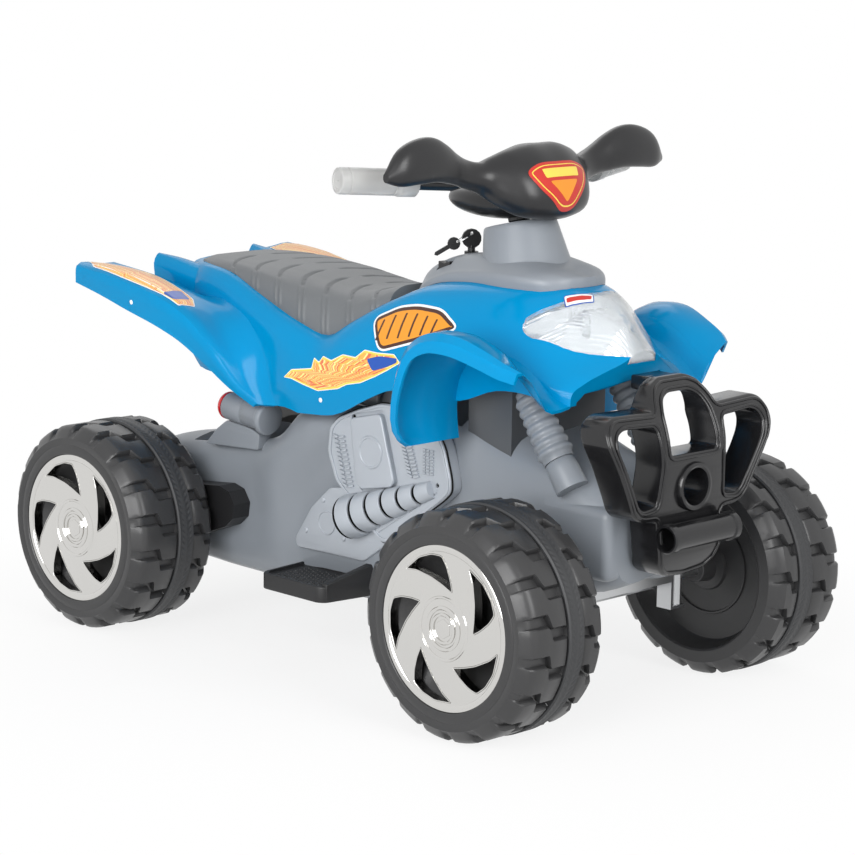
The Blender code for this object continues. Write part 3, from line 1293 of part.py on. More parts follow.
def build_steering_shaft(steering):
    axis = Vector((0, math.sin(COLUMN_TILT), math.cos(COLUMN_TILT)))
    top = Vector(COLUMN_TOP) + axis * (SOCKET_DEPTH - SEAT_GAP)
    foot = Vector((0, column_y(CRANK_HEIGHT), CRANK_HEIGHT))
    shaft = rod(foot - axis * SUNK, top, SHAFT_RADIUS, 12)
    backward = Vector((0, math.cos(COLUMN_TILT), -math.sin(COLUMN_TILT)))
    pin_top = foot + backward * CRANK_ARM
    reach = (foot + pin_top) / 2
    width, past, height = CRANK_SIZE
    crank = block((width, CRANK_ARM + past, height), (0, 0, 0))
    lean = Matrix.Rotation(-COLUMN_TILT, 4, "X")
    moved(crank, Matrix.Translation(reach + axis * (height / 2 - SUNK)) @ lean)
    pin = rod(pin_top + axis * height / 2, pin_top - axis * CRANK_PIN_LENGTH, PIN_RADIUS, 10)
    shaft = joined(shaft, crank, pin)
    place(shaft, "steering_shaft", "steel", steering)

    clamp_low = Vector(COLUMN_TOP) + axis * CLAMP_RISE
    inner = (SHAFT_RADIUS + SEAT_GAP) / math.cos(math.pi / 12)
    rounding = CLAMP_ROUND
    profile = [(inner, CLAMP_LENGTH), (CLAMP_RADIUS - rounding, CLAMP_LENGTH),
               (CLAMP_RADIUS, CLAMP_LENGTH - rounding), (CLAMP_RADIUS, rounding),
               (CLAMP_RADIUS - rounding, 0.0), (inner, 0.0)]
    clamp = turned(profile, clamp_low, axis, 12, closed=True)
    place(clamp, "bar_clamp", "black", steering)
    return pin_top


# Front axle


def build_front_axle(root, frames, pin_top):
    axle_y = -WHEELBASE / 2
    front, back = axle_y - BEAM_HALF_DEPTH, axle_y + BEAM_HALF_DEPTH
    web = KINGPIN_X - KNUCKLE_RADIUS - BEAM_END_GAP
    ear_low, ear_high = KNUCKLE_LOW - SEAT_GAP - EAR_THICKNESS, KNUCKLE_HIGH + SEAT_GAP + EAR_THICKNESS
    beam = box_between((-web, front, BEAM_LOW), (web, back, NOTCH_TOP - SEAT_GAP))
    for side in (1, -1):
        upright = box_between((web - EAR_THICKNESS, front, ear_low), (web, back, ear_high))
        ears = [box_between((web - EAR_THICKNESS / 2, front, z),
                            (KINGPIN_X + EAR_REACH, back, z + EAR_THICKNESS))
                for z in (ear_low, ear_high - EAR_THICKNESS)]
        end = cut(joined(upright, *ears),
                  bore((KINGPIN_X, axle_y, ear_low - CUT_PAST), (KINGPIN_X, axle_y, ear_high + CUT_PAST),
                       KINGPIN_RADIUS + RUN_GAP, 10))
        beam = joined(beam, mirrored(end, side))
    place(beam, "front_axle_beam", "steel", root)

    stub_end = FRONT_WHEEL_FACE - HUB_FACE + NUT_THICKNESS + AXLE_PAST_NUT
    inner_face = FRONT_WHEEL_FACE - WHEEL_WIDTH
    tie_y = axle_y + KNUCKLE_ARM
    tie_top = TIE_ROD_TOP
    hub = Vector((KINGPIN_X, axle_y, WHEEL_RADIUS))
    for side, word in ((1, "left"), (-1, "right")):
        body = rod((KINGPIN_X, axle_y, KNUCKLE_LOW), (KINGPIN_X, axle_y, KNUCKLE_HIGH),
                   KNUCKLE_RADIUS, 10)
        pin = rod((KINGPIN_X, axle_y, ear_low - KINGPIN_PAST_EAR),
                  (KINGPIN_X, axle_y, ear_high + KINGPIN_PAST_EAR), KINGPIN_RADIUS, 8)
        stub = rod(hub, (stub_end, axle_y, WHEEL_RADIUS), AXLE_RADIUS, 10)
        collar = rod((KINGPIN_X + KNUCKLE_RADIUS / 2, axle_y, WHEEL_RADIUS),
                     (inner_face - SEAT_GAP, axle_y, WHEEL_RADIUS), AXLE_RADIUS + COLLAR_STEP, 10)
        half, arm_low = ARM_HALF_WIDTH, tie_top + ARM_GAP
        arm = box_between((KINGPIN_X - half, axle_y, arm_low),
                          (KINGPIN_X + half, tie_y + half, arm_low + ARM_HEIGHT))
        link = rod((KINGPIN_X, tie_y, arm_low + ARM_HEIGHT / 2),
                   (KINGPIN_X, tie_y, arm_low - LINK_PIN_LENGTH), PIN_RADIUS, 8)
        knuckle = mirrored(joined(body, pin, stub, collar, arm, link), side)
        place(knuckle, "steering_knuckle_" + word, "steel", frames["knuckle_" + word])

    hole = PIN_RADIUS + PIN_PLAY
    half = TIE_ROD_WIDTH / 2
    tie_low = tie_top - TIE_ROD_THICKNESS
    past = KNUCKLE_RADIUS - PIN_RADIUS
    tie = box_between((-KINGPIN_X - past, tie_y - half, tie_low),
                      (KINGPIN_X + past, tie_y + half, tie_top), SUNK)
    # The crank's pin is lowest, and furthest forward, where it ends inside the slot
    pin_back = pin_top.y - (pin_top.z - tie_top) * math.tan(COLUMN_TILT) + hole
    pin_front = pin_back - 2 * hole - SLOT_TRAVEL
    tongue = box_between((-TONGUE_HALF_WIDTH, tie_y, tie_low),
                         (TONGUE_HALF_WIDTH, pin_back + TONGUE_END, tie_top), SUNK)
    tie = joined(tie, tongue)
    for x, low, high in ((-KINGPIN_X, tie_y - hole - SLOT_TRAVEL, tie_y + hole), (0.0, pin_front, pin_back),
                         (KINGPIN_X, tie_y - hole - SLOT_TRAVEL, tie_y + hole)):
        tie = cut(tie, box_between((x - hole, low, tie_low - CUT_PAST), (x + hole, high, tie_top + CUT_PAST)))
    return tie, tie_y, tie_top


# Wheels


def wheel_ring(radius, x, count=ROUND_STEPS):
    """Points on a circle about the axle; the lowest two lie level, either side of the bottom."""
    return [Vector((x, radius * math.sin(t), -radius * math.cos(t)))
            for t in [math.tau * (i + 0.5) / count for i in range(count)]]


def lug_ring(high, low, x, shift):
    """Three points a lug: two on its top and one in the groove beside it."""
    pitch = math.tau / LUG_COUNT
    ring = []
    for i in range(LUG_COUNT):
        for share, radius in ((0.0, high), (LUG_SHARES[0], high), (LUG_SHARES[1], low)):
            t = (i + shift + share) * pitch
            ring.append(Vector((x, radius * math.sin(t), -radius * math.cos(t))))
    return ring


def turn_of(point):
    return math.atan2(point.y, -point.z) % math.tau


def join_rings(bm, first, second):
    """Triangles between two closed rings about the axle, whatever their counts."""
    first = sorted(first, key=lambda v: turn_of(v.co))
    second = sorted(second, key=lambda v: turn_of(v.co))
    i = j = 0
    while i < len(first) or j < len(second):
        a, b = first[i % len(first)], second[j % len(second)]
        next_a, next_b = first[(i + 1) % len(first)], second[(j + 1) % len(second)]
        reach_a = turn_of(next_a.co) + math.tau * ((i + 1) // len(first))
        reach_b = turn_of(next_b.co) + math.tau * ((j + 1) // len(second))
        if j >= len(second) or (i < len(first) and reach_a <= reach_b):
            bm.faces.new((a, next_a, b))
            i += 1
        else:
            bm.faces.new((a, next_b, b))
            j += 1


def ring_body(rings):
    """A closed ring-shaped solid whose cross section runs through rings about the axle."""
    bm = bmesh.new()
    rows = [[bm.verts.new(p) for p in ring] for ring in rings]
    for first, second in zip(rows, rows[1:] + rows[:1]):
        join_rings(bm, first, second)
    return solid(bm)


def tyre_shape():
    """A hollow moulded tyre: lugs, band groove, outer dish for the cap and inner dish."""
    w = WHEEL_WIDTH
    tread, shoulder, band_seat = (WHEEL_RADIUS - d for d in (LUG_DROP, SHOULDER_DROP, BAND_THICKNESS))
    groove = tread - LUG_DEPTH
    inner = (AXLE_RADIUS + RUN_GAP) / math.cos(math.pi / HUB_STEPS)
    band_low, band_high = BAND_CENTRE - BAND_WIDTH / 2, BAND_CENTRE + BAND_WIDTH / 2
    cap_seat = CAP_RADIUS + RUN_GAP
    cap_back = CAP_RECESS + CAP_THICKNESS + RUN_GAP
    return ring_body([
        wheel_ring(inner, HUB_FACE, HUB_STEPS), wheel_ring(HUB_RADIUS, HUB_FACE, HUB_STEPS),
        wheel_ring(HUB_RADIUS + HUB_TAPER, DISH_DEPTH, HUB_STEPS),
        wheel_ring(cap_seat, cap_back), wheel_ring(cap_seat, 0.0), wheel_ring(shoulder, 0.0),
        lug_ring(tread, groove, SHOULDER_WIDTH, 0.0),
        lug_ring(tread, groove, band_low - BAND_MARGIN, LUG_TURNS[0]),
        wheel_ring(band_seat, band_low), wheel_ring(band_seat, band_high),
        lug_ring(tread, groove, band_high + BAND_MARGIN, LUG_TURNS[1]),
        lug_ring(tread, groove, w - SHOULDER_WIDTH, LUG_TURNS[1]),
        wheel_ring(shoulder, w), wheel_ring(INNER_DISH_RADIUS, w),
        wheel_ring(INNER_DISH_RADIUS - HUB_TAPER, w - INNER_DISH_DEPTH, HUB_STEPS * 2),
        wheel_ring(HUB_RADIUS, w - INNER_DISH_DEPTH, HUB_STEPS),
        wheel_ring(HUB_RADIUS - HUB_TAPER / 2, w, HUB_STEPS), wheel_ring(inner, w, HUB_STEPS),
    ])


def band_shape():
    low, high = BAND_CENTRE - BAND_WIDTH / 2 + RUN_GAP, BAND_CENTRE + BAND_WIDTH / 2 - RUN_GAP
    outer = WHEEL_RADIUS / math.cos(math.pi / ROUND_STEPS)
    inner = WHEEL_RADIUS - BAND_THICKNESS + SEAT_GAP
    return ring_body([wheel_ring(inner, low), wheel_ring(outer, low), wheel_ring(outer, high),
                      wheel_ring(inner, high)])


def hubcap_shape():
    """A disc with swirled windows and a stepped middle."""
    rim = [(CAP_RADIUS * math.cos(t), CAP_RADIUS * math.sin(t))
           for t in [math.tau * (i + 0.5) / ROUND_STEPS for i in range(ROUND_STEPS)]]
    windows = []
    for i in range(CAP_WINDOWS):
        turn = math.tau * i / CAP_WINDOWS
        windows.append([(r * math.cos(turn + math.radians(a)), r * math.sin(turn + math.radians(a)))
                        for r, a in WINDOW_SHAPE])
    facing = Matrix.Rotation(math.radians(90), 4, "Y")
    middle = CAP_RECESS + CAP_THICKNESS / 2
    disc = sheet([rim] + windows, CAP_THICKNESS, Matrix.Translation((middle, 0, 0)) @ facing)
    back = CAP_RECESS + CAP_THICKNESS - SUNK
    hub = turned([(0.0, CAP_HUB[0][1]), *CAP_HUB, (CAP_HUB_RADIUS, back), (0.0, back)],
                 (0, 0, 0), (1, 0, 0), HUB_STEPS)
    return joined(disc, hub)


def nut_shape():
    nut = rod((HUB_FACE - NUT_THICKNESS, 0, 0), (HUB_FACE - SEAT_GAP, 0, 0), NUT_RADIUS, 6)
    return cut(nut, bore((0, 0, 0), (HUB_FACE * 2, 0, 0), AXLE_RADIUS + SEAT_GAP, 8))


def build_wheels(frames):
    tyre, band, cap, nut = tyre_shape(), band_shape(), hubcap_shape(), nut_shape()
    for end, y, face in (("front", -WHEELBASE / 2, FRONT_WHEEL_FACE),
                         ("rear", WHEELBASE / 2, REAR_WHEEL_FACE)):
        for side, word in ((1, "left"), (-1, "right")):
            label = end + "_" + word
            frame = frames["wheel_" + label]
            # The shapes run from their outer face inwards along +X; the left ones are turned round
            out = (Matrix.Translation((side * face, y, WHEEL_RADIUS))
                   @ Matrix.Rotation(math.pi if side > 0 else 0.0, 4, "Z"))
            for shape, name, material, sharp in ((tyre, "tyre_", "tyre", 30),
                                                 (band, "traction_band_", "rubber", 30),
                                                 (cap, "hubcap_", "chrome", 25)):
                place(moved(duplicate(shape), out), name + label, material, frame, sharp)
            owner = frames["root"] if end == "rear" else frames["knuckle_" + word]
            place(moved(duplicate(nut), out), "axle_nut_" + label, "steel", owner)
    for shape in (tyre, band, cap, nut):
        discard(shape)


# Drive


def build_drive(root):
    axle_y = WHEELBASE / 2
    reach = REAR_WHEEL_FACE - HUB_FACE + NUT_THICKNESS + AXLE_PAST_NUT
    axle = rod((-reach, axle_y, WHEEL_RADIUS), (reach, axle_y, WHEEL_RADIUS), AXLE_RADIUS, 10)
    place(axle, "rear_axle", "steel", root)
    my, mz = MOTOR_PLACE
    boss_radius, tail_radius = (share * MOTOR_RADIUS for share in MOTOR_STEPS)
    hub_end = GEARBOX_OUTER + DRIVE_HUB_LENGTH
    for side, word in ((1, "left"), (-1, "right")):
        case = sheet([gearbox_outline()], GEARBOX_OUTER - GEARBOX_INNER,
                     side_facing((GEARBOX_OUTER + GEARBOX_INNER) / 2))
        hub = rod((GEARBOX_OUTER - SUNK, axle_y, WHEEL_RADIUS), (hub_end, axle_y, WHEEL_RADIUS),
                  DRIVE_HUB_RADIUS, 14)
        case = cut(joined(case, hub),
                   bore((0, axle_y, WHEEL_RADIUS), (CUT_LENGTH, axle_y, WHEEL_RADIUS),
                        AXLE_RADIUS + SEAT_GAP, 10),
                   rod((GEARBOX_OUTER - 2 * SUNK, axle_y, WHEEL_RADIUS), (CUT_LENGTH, axle_y, WHEEL_RADIUS),
                       HUB_RADIUS + HUB_CLEARANCE, 14),
                   bore((0, my, mz), (GEARBOX_INNER + MOTOR_BOSS + SEAT_GAP, my, mz),
                        boss_radius + SEAT_GAP, 10))
        place(mirrored(case, side), "gearbox_" + word, "black", root)
        face = GEARBOX_INNER - SEAT_GAP
        back = face - MOTOR_LENGTH
        can = rod((back, my, mz), (face, my, mz), MOTOR_RADIUS, 16)
        boss = rod((face - SUNK, my, mz), (face + MOTOR_BOSS, my, mz), boss_radius, 10)
        tail = rod((back - MOTOR_TAIL, my, mz), (back + SUNK, my, mz), tail_radius, 8)
        place(mirrored(joined(can, boss, tail), side), "motor_" + word, "steel", root)


def gearbox_outline():
    """The outline round two circles: the final gear on the axle and the motor's pinion."""
    big, small = Vector((WHEELBASE / 2, WHEEL_RADIUS)), Vector(MOTOR_PLACE)
    between = small - big
    heading = math.atan2(between.y, between.x)
    spread = math.acos((GEARBOX_BIG - GEARBOX_SMALL) / between.length)
    large_sides, small_sides = GEARBOX_SIDES
    outline = []
    for i in range(large_sides + 1):
        t = heading + spread + (math.tau - 2 * spread) * i / large_sides
        outline.append((big.x + GEARBOX_BIG * math.cos(t), big.y + GEARBOX_BIG * math.sin(t)))
    for i in range(small_sides + 1):
        t = heading - spread + 2 * spread * i / small_sides
        outline.append((small.x + GEARBOX_SMALL * math.cos(t), small.y + GEARBOX_SMALL * math.sin(t)))
    return outline


def build_electrics(root):
    floor = 0.0
    for y in (BATTERY_Y - BATTERY_SIZE[1] / 2, BATTERY_Y + BATTERY_SIZE[1] / 2):
        floor = max(floor, section_at(HULL_SECTIONS, y)[-1][1] + TUB_FLOOR)
    floor += SEAT_GAP
    sx, sy, sz = BATTERY_SIZE
    top = floor + sz
    battery = box_between((-sx / 2, BATTERY_Y - sy / 2, floor), (sx / 2, BATTERY_Y + sy / 2, top),
                          BATTERY_ROUND)
    half, thick, height, inset_y = TERMINAL
    front = BATTERY_Y - sy / 2 + inset_y
    terminals = [box_between((x - half, front, top - SUNK), (x + half, front + thick, top + height))
                 for x in (-sx * TERMINAL_SHARE, sx * TERMINAL_SHARE)]
    place(joined(battery, *terminals), "battery", "black", root)

    t, g, w, ear = STRAP_THICKNESS, SEAT_GAP, STRAP_WIDTH, STRAP_FOOT
    inner, high = sx / 2 + g, top + g
    outer = inner + t
    outline = ((-outer - ear, floor), (-outer - ear, floor + t), (-outer, floor + t), (-outer, high + t),
               (outer, high + t), (outer, floor + t), (outer + ear, floor + t), (outer + ear, floor),
               (inner, floor), (inner, high), (-inner, high), (-inner, floor))
    facing = Matrix(((1, 0, 0, 0), (0, 0, 1, BATTERY_Y + STRAP_SHIFT), (0, 1, 0, 0), (0, 0, 0, 1)))
    place(sheet([outline], w, facing), "battery_strap", "black", root)

    cx, cy, cz = CONTROL_SIZE
    low = max(section_at(HULL_SECTIONS, CONTROL_Y + s * cy / 2)[-1][1] for s in (-1, 1))
    low += TUB_FLOOR + SEAT_GAP
    control = box_between((-cx / 2, CONTROL_Y - cy / 2, low), (cx / 2, CONTROL_Y + cy / 2, low + cz),
                          CONTROL_ROUND)
    place(control, "control_box", "black", root)


# Side mouldings


def side_facing(x):
    """Turns a plate drawn in y and z so that it stands at x."""
    return Matrix(((0, 0, 1, x), (1, 0, 0, 0), (0, 1, 0, 0), (0, 0, 0, 1)))


def cooling_barrel(x):
    """A tapering barrel with stepped ribs, half sunk in the cover."""
    start, end = Vector((x, *BARREL_START)), Vector((x, *BARREL_END))
    length = (end - start).length
    big, small = BARREL_RADII
    profile = [(0.0, length)]
    for i in reversed(range(BARREL_RIBS)):
        low, high = length * i / BARREL_RIBS, length * (i + 1) / BARREL_RIBS
        radius = big + (small - big) * (i + 0.5) / BARREL_RIBS
        profile += [(radius, high), (radius + RIB_STEP, low)]
    return turned(profile + [(0.0, 0.0)], start, end - start, 8)


def build_engine_covers(root):
    for side, word in ((1, "left"), (-1, "right")):
        main = sheet([ENGINE_OUTLINE], ENGINE_DEPTH, side_facing(ENGINE_FACE + ENGINE_DEPTH / 2))
        lower = sheet([LOWER_OUTLINE], LOWER_DEPTH, side_facing(ENGINE_FACE + LOWER_DEPTH / 2))
        face = ENGINE_FACE + ENGINE_DEPTH
        head = sheet([HEAD_OUTLINE], HEAD_DEPTH, side_facing(face + HEAD_DEPTH / 2 - HEAD_SUNK))
        cover = joined(main, lower, head)
        cover = cut(joined(cover, cooling_barrel(face)), hull_room())
        place(mirrored(cover, side), "engine_cover_" + word, "engine", root)


def build_footrests(root):
    low = FOOT_TOP - FOOT_THICKNESS
    x_in, y_in = FOOT_OUTLINE[-1]
    x_out, y_out = FOOT_OUTLINE[-2]
    for side, word in ((1, "left"), (-1, "right")):
        foot = sheet([FOOT_OUTLINE], FOOT_THICKNESS,
                     Matrix.Translation((0, 0, FOOT_TOP - FOOT_THICKNESS / 2)))
        tread = [(x + FOOT_WALL if x == x_in else x - FOOT_WALL, y - FOOT_WALL if y > 0 else y + FOOT_WALL)
                 for x, y in FOOT_OUTLINE]
        dish_floor = FOOT_TOP - FOOT_RIM
        dish = sheet([tread], CUT_PAST, Matrix.Translation((0, 0, dish_floor + CUT_PAST / 2)))
        under = sheet([tread], CUT_PAST * 2, Matrix.Translation((0, 0, dish_floor - FOOT_FLOOR - CUT_PAST)))
        foot = cut(foot, dish, under)
        rings = []
        for x, y, (top_width, foot_width), high in ((x_in, y_in, TOE_INNER, FOOT_TOP + TOE_HEIGHT),
                                                    (x_out, y_out, TOE_OUTER, FOOT_TOP + TOE_OUTER_HEIGHT)):
            rings.append([Vector((x, y + s, z)) for s, z in (
                (0.0, low), (0.0, high), (top_width, high), (foot_width, low))])
        foot = cut(joined(foot, loft(rings)), hull_room())
        place(mirrored(foot, side), "footrest_" + word, "black", root)


def build_dampers(root):
    top, foot = Vector(DAMPER_TOP), Vector(DAMPER_FOOT)
    length = (top - foot).length
    ribs_top, ribs_span = (share * length for share in DAMPER_SPAN)
    pitch = ribs_span / DAMPER_RIBS
    rim, shoulder, fall = DAMPER_TOP_STEP
    profile = [(0.0, length), (DAMPER_NECK - rim, length), (DAMPER_NECK - shoulder, length - fall)]
    for i in range(DAMPER_RIBS):
        radius = DAMPER_NECK + (DAMPER_RADIUS - DAMPER_NECK) * i / (DAMPER_RIBS - 1)
        low = ribs_top - pitch * (i + 1)
        profile += [(radius - DAMPER_GROOVE, low + pitch), (radius, low + pitch / 2)]
    end = DAMPER_RADIUS - DAMPER_GROOVE
    profile += [(end, profile[-1][1] - pitch / 2), (end - SUNK, 0.0), (0.0, 0.0)]
    for side, word in ((1, "left"), (-1, "right")):
        damper = turned(profile, foot, top - foot, 10)
        place(mirrored(damper, side), "damper_" + word, "hull", root)


def main():
    axle_y = WHEELBASE / 2
    root = make_root()
    base = root[0]
    frames = {"root": root}
    steering = make_frame("steering_axis", COLUMN_TOP, -COLUMN_TILT, base)
    for side, word in ((1, "left"), (-1, "right")):
        for label, x, y in (("knuckle_", KINGPIN_X, -axle_y),
                            ("wheel_front_", FRONT_WHEEL_FACE, -axle_y),
                            ("wheel_rear_", REAR_WHEEL_FACE, axle_y)):
            spot = (side * x, y, WHEEL_RADIUS)
            frames[label + word] = make_frame(label + word + "_axis", spot, parent=base)
    build_hull(root)
    build_column_bracket(root)
    build_upper_body(root)
    build_headlight(root)
    build_seat(root)
    build_tail_pods(root)
    build_bumper(root)
    lock_top, rocker_low = build_column_cover(root)
    build_controls(root, lock_top, rocker_low)
    build_handlebar(steering)
    build_throttle(root)
    pin_top = build_steering_shaft(steering)
    tie, tie_y, tie_top = build_front_axle(root, frames, pin_top)
    tie_frame = make_frame("tie_rod_axis", (0, tie_y, tie_top), parent=base)
    place(tie, "tie_rod", "steel", tie_frame)
    build_wheels(frames)
    build_drive(root)
    build_electrics(root)
    build_engine_covers(root)
    build_footrests(root)
    build_dampers(root)


main()
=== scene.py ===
import math

import bmesh
import bpy
import numpy as np
from mathutils import Matrix, Vector
from mathutils.bvhtree import BVHTree


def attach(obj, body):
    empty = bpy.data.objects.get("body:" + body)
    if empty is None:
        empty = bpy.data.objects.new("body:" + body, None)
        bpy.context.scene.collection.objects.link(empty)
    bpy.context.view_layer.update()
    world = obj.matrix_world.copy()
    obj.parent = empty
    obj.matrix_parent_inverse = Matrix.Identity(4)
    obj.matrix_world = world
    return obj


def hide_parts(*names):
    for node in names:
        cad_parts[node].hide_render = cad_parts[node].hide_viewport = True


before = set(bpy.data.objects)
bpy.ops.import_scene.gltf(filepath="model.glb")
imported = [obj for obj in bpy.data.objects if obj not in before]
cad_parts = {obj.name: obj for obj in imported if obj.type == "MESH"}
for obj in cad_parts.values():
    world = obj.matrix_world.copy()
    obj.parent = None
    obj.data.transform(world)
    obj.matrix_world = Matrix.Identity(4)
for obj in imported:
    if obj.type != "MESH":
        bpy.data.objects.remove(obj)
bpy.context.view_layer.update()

# everything is drawn about the middle of the wheelbase and then moved back by this much
shiftY = 0.00839
sides = ((1, "left"), (-1, "right"))


class Wire:
    # a socket that can be used in sums
    def __init__(self, net, socket):
        self.net = net
        self.socket = socket

    def sum(self, operation, other=None, clamp=False):
        node = self.net.tree.nodes.new("ShaderNodeMath")
        node.operation = operation
        node.use_clamp = clamp
        for slot, value in zip(node.inputs, (self, other)):
            self.net.feed(slot, value)
        return Wire(self.net, node.outputs[0])

    def __add__(self, other):
        return self.sum("ADD", other)

    __radd__ = __add__

    def __mul__(self, other):
        return self.sum("MULTIPLY", other)

    __rmul__ = __mul__

    def __sub__(self, other):
        return self.sum("SUBTRACT", other)

    def __truediv__(self, other):
        return self.sum("DIVIDE", other)

    def above(self, other):
        return self.sum("GREATER_THAN", other)

    def most(self, other):
        return self.sum("MAXIMUM", other)

    def sine(self):
        return self.sum("SINE")

    def part(self):
        return self.sum("FRACT")

    def clamped(self):
        return self.sum("ADD", 0.0, clamp=True)


class Net:
    # a material with a Principled shader, and short ways to add nodes to it
    def __init__(self, name, colour, roughness, **constants):
        self.material = bpy.data.materials.new(name)
        self.material.use_nodes = True
        self.tree = self.material.node_tree
        self.shader = self.tree.nodes["Principled BSDF"]
        self.set("Base Color", (*colour, 1.0))
        self.set("Roughness", roughness)
        for key, value in constants.items():
            self.set(key.replace("_", " "), value)

    def set(self, name, value):
        self.feed(self.shader.inputs[name], value)

    def feed(self, slot, value):
        if value is None:
            return
        if isinstance(value, Wire):
            value = value.socket
        if isinstance(value, bpy.types.NodeSocket):
            self.tree.links.new(value, slot)
        elif hasattr(slot.default_value, "__len__") and not hasattr(value, "__len__"):
            slot.default_value = [value] * len(slot.default_value)
        elif hasattr(slot.default_value, "__len__") and len(slot.default_value) == 4 and len(value) == 3:
            slot.default_value = (*value, 1.0)
        else:
            slot.default_value = value

    def node(self, kind, settings=None, **sockets):
        node = self.tree.nodes.new("ShaderNode" + kind)
        for key, value in (settings or {}).items():
            setattr(node, key, value)
        for key, value in sockets.items():
            self.feed(node.inputs[key.replace("_", " ")], value)
        return node

    def place(self, source="Object"):
        if source == "UV":
            point = self.node("UVMap").outputs["UV"]
        else:
            point = self.node("TexCoord").outputs[source]
        split = self.node("SeparateXYZ", Vector=point)
        return point, [Wire(self, split.outputs[axis]) for axis in "XYZ"]

    def noise(self, point, scale, detail=3.0, roughness=0.5):
        node = self.node("TexNoise", Vector=point, Scale=scale, Detail=detail, Roughness=roughness)
        return Wire(self, node.outputs["Fac"])

    def mix(self, share, first, second):
        node = self.node("Mix", {"data_type": "RGBA"})
        for slot, value in ((node.inputs[0], share), (node.inputs[6], first), (node.inputs[7], second)):
            self.feed(slot, value)
        return node.outputs[2]

    def bump(self, height, strength, distance):
        node = self.node("Bump", Height=height, Strength=strength, Distance=distance)
        self.set("Normal", node.outputs["Normal"])


looks = {
    "blue": (0.000, 0.242, 0.510),
    "hullGrey": (0.222, 0.243, 0.270),
    "engineGrey": (0.400, 0.430, 0.470),
    "seatGrey": (0.138, 0.147, 0.155),
    "paintedShadeGrey": (0.070, 0.076, 0.084),
    "black": (0.010, 0.010, 0.011),
    "tyreBlack": (0.030, 0.030, 0.031),
    "chrome": (0.640, 0.632, 0.612),
    "steel": (0.560, 0.570, 0.580),
    "grip": (0.620, 0.620, 0.610),
    "red": (0.550, 0.010, 0.014),
}


def plastic(name, colour, roughness, grain, depth, vary=0.05, **constants):
    # moulded plastic: a fine grain in its normal, and a roughness that drifts a little
    net = Net(name, colour, roughness, **constants)
    point, _ = net.place()
    net.set("Roughness", net.noise(point, 14.0) * vary + (roughness - vary / 2))
    if depth:
        net.bump(net.noise(point, grain, 2.0), 0.35, depth)
    return net


glossBlue = plastic("glossBlue", looks["blue"], 0.16, 90.0, 0.0, 0.04, Specular_IOR_Level=0.14)
greyHull = plastic("greyHull", looks["hullGrey"], 0.40, 900.0, 0.00012)
greyEngine = plastic("greyEngine", looks["engineGrey"], 0.34, 900.0, 0.00008, Metallic=0.15)
greySeat = plastic("greySeat", looks["seatGrey"], 0.50, 1400.0, 0.00025)
# a darker grey that paints in the shade under the fender, for the column bracket
paintedShadeGrey = plastic("paintedShadeGrey", looks["paintedShadeGrey"], 0.45, 900.0, 0.00012)
glossBlack = plastic("glossBlack", looks["black"], 0.20, 60.0, 0.0, 0.08)
satinBlack = plastic("satinBlack", looks["black"], 0.31, 900.0, 0.00010, 0.08)
# a near black that paints shade into the engine covers' slots, holes and gaps
paintedShadeBlack = plastic("paintedShadeBlack", (0.004, 0.004, 0.004), 0.60, 900.0, 0.0, 0.05, Specular_IOR_Level=0.2)
softBlack = plastic("softBlack", looks["black"], 0.45, 1100.0, 0.00018)
tyreBlack = plastic("tyreBlack", looks["tyreBlack"], 0.36, 500.0, 0.00016, 0.10)
chromeCap = plastic("chromeCap", looks["chrome"], 0.09, 60.0, 0.0, 0.03, Metallic=1.0)
zincSteel = plastic("zincSteel", looks["steel"], 0.30, 300.0, 0.00004, 0.12, Metallic=1.0)
paleGrip = plastic("paleGrip", looks["grip"], 0.28, 800.0, 0.00004, Transmission_Weight=0.35, IOR=1.25)
redLens = plastic("redLens", looks["red"], 0.12, 60.0, 0.0, 0.02, Coat_Weight=0.3)
paper = plastic("paper", (0.86, 0.86, 0.84), 0.30, 60.0, 0.0, 0.04)


def fluted(name, colour, roughness, pitch, depth, **constants):
    # fine upright flutes, crossed by wider and shallower ones
    net = Net(name, colour, roughness, **constants)
    point, (x, y, z) = net.place()
    net.set("Roughness", net.noise(point, 30.0) * 0.05 + roughness)
    across = ((x + y) * (math.tau / pitch)).sine()
    along = (z * (math.tau / (pitch * 2.6))).sine()
    net.bump(across * 0.5 + along * 0.3, 0.6, depth)
    return net


reflector = fluted("reflector", (0.80, 0.82, 0.84), 0.24, 0.0052, 0.0009, Metallic=0.8)


def curved(points, per, closed=False, corners=()):
    # a smooth line, or grid of lines, through points; it keeps its corners
    pts = np.asarray(points, float)
    count = len(pts)
    rows = []
    for i in range(count if closed else count - 1):
        a, b = pts[i], pts[(i + 1) % count]
        span = np.linalg.norm(b - a, axis=-1, keepdims=True) + 1e-9
        slopes = []
        for j in (i, i + 1):
            j = j % count if closed else j
            if j in corners or (not closed and j in (0, count - 1)):
                slopes.append((b - a) / span)
                continue
            here, before, after = pts[j], pts[j - 1], pts[(j + 1) % count]
            into = np.linalg.norm(here - before, axis=-1, keepdims=True) + 1e-9
            out = np.linalg.norm(after - here, axis=-1, keepdims=True) + 1e-9
            slopes.append(((here - before) / into * out + (after - here) / out * into) / (into + out))
        for k in range(per):
            t = k / per
            rows.append((2 * t**3 - 3 * t**2 + 1) * a + (t**3 - 2 * t**2 + t) * span * slopes[0]
                        + (3 * t**2 - 2 * t**3) * b + (t**3 - t**2) * span * slopes[1])
    if not closed:
        rows.append(pts[-1])
    return np.array(rows)


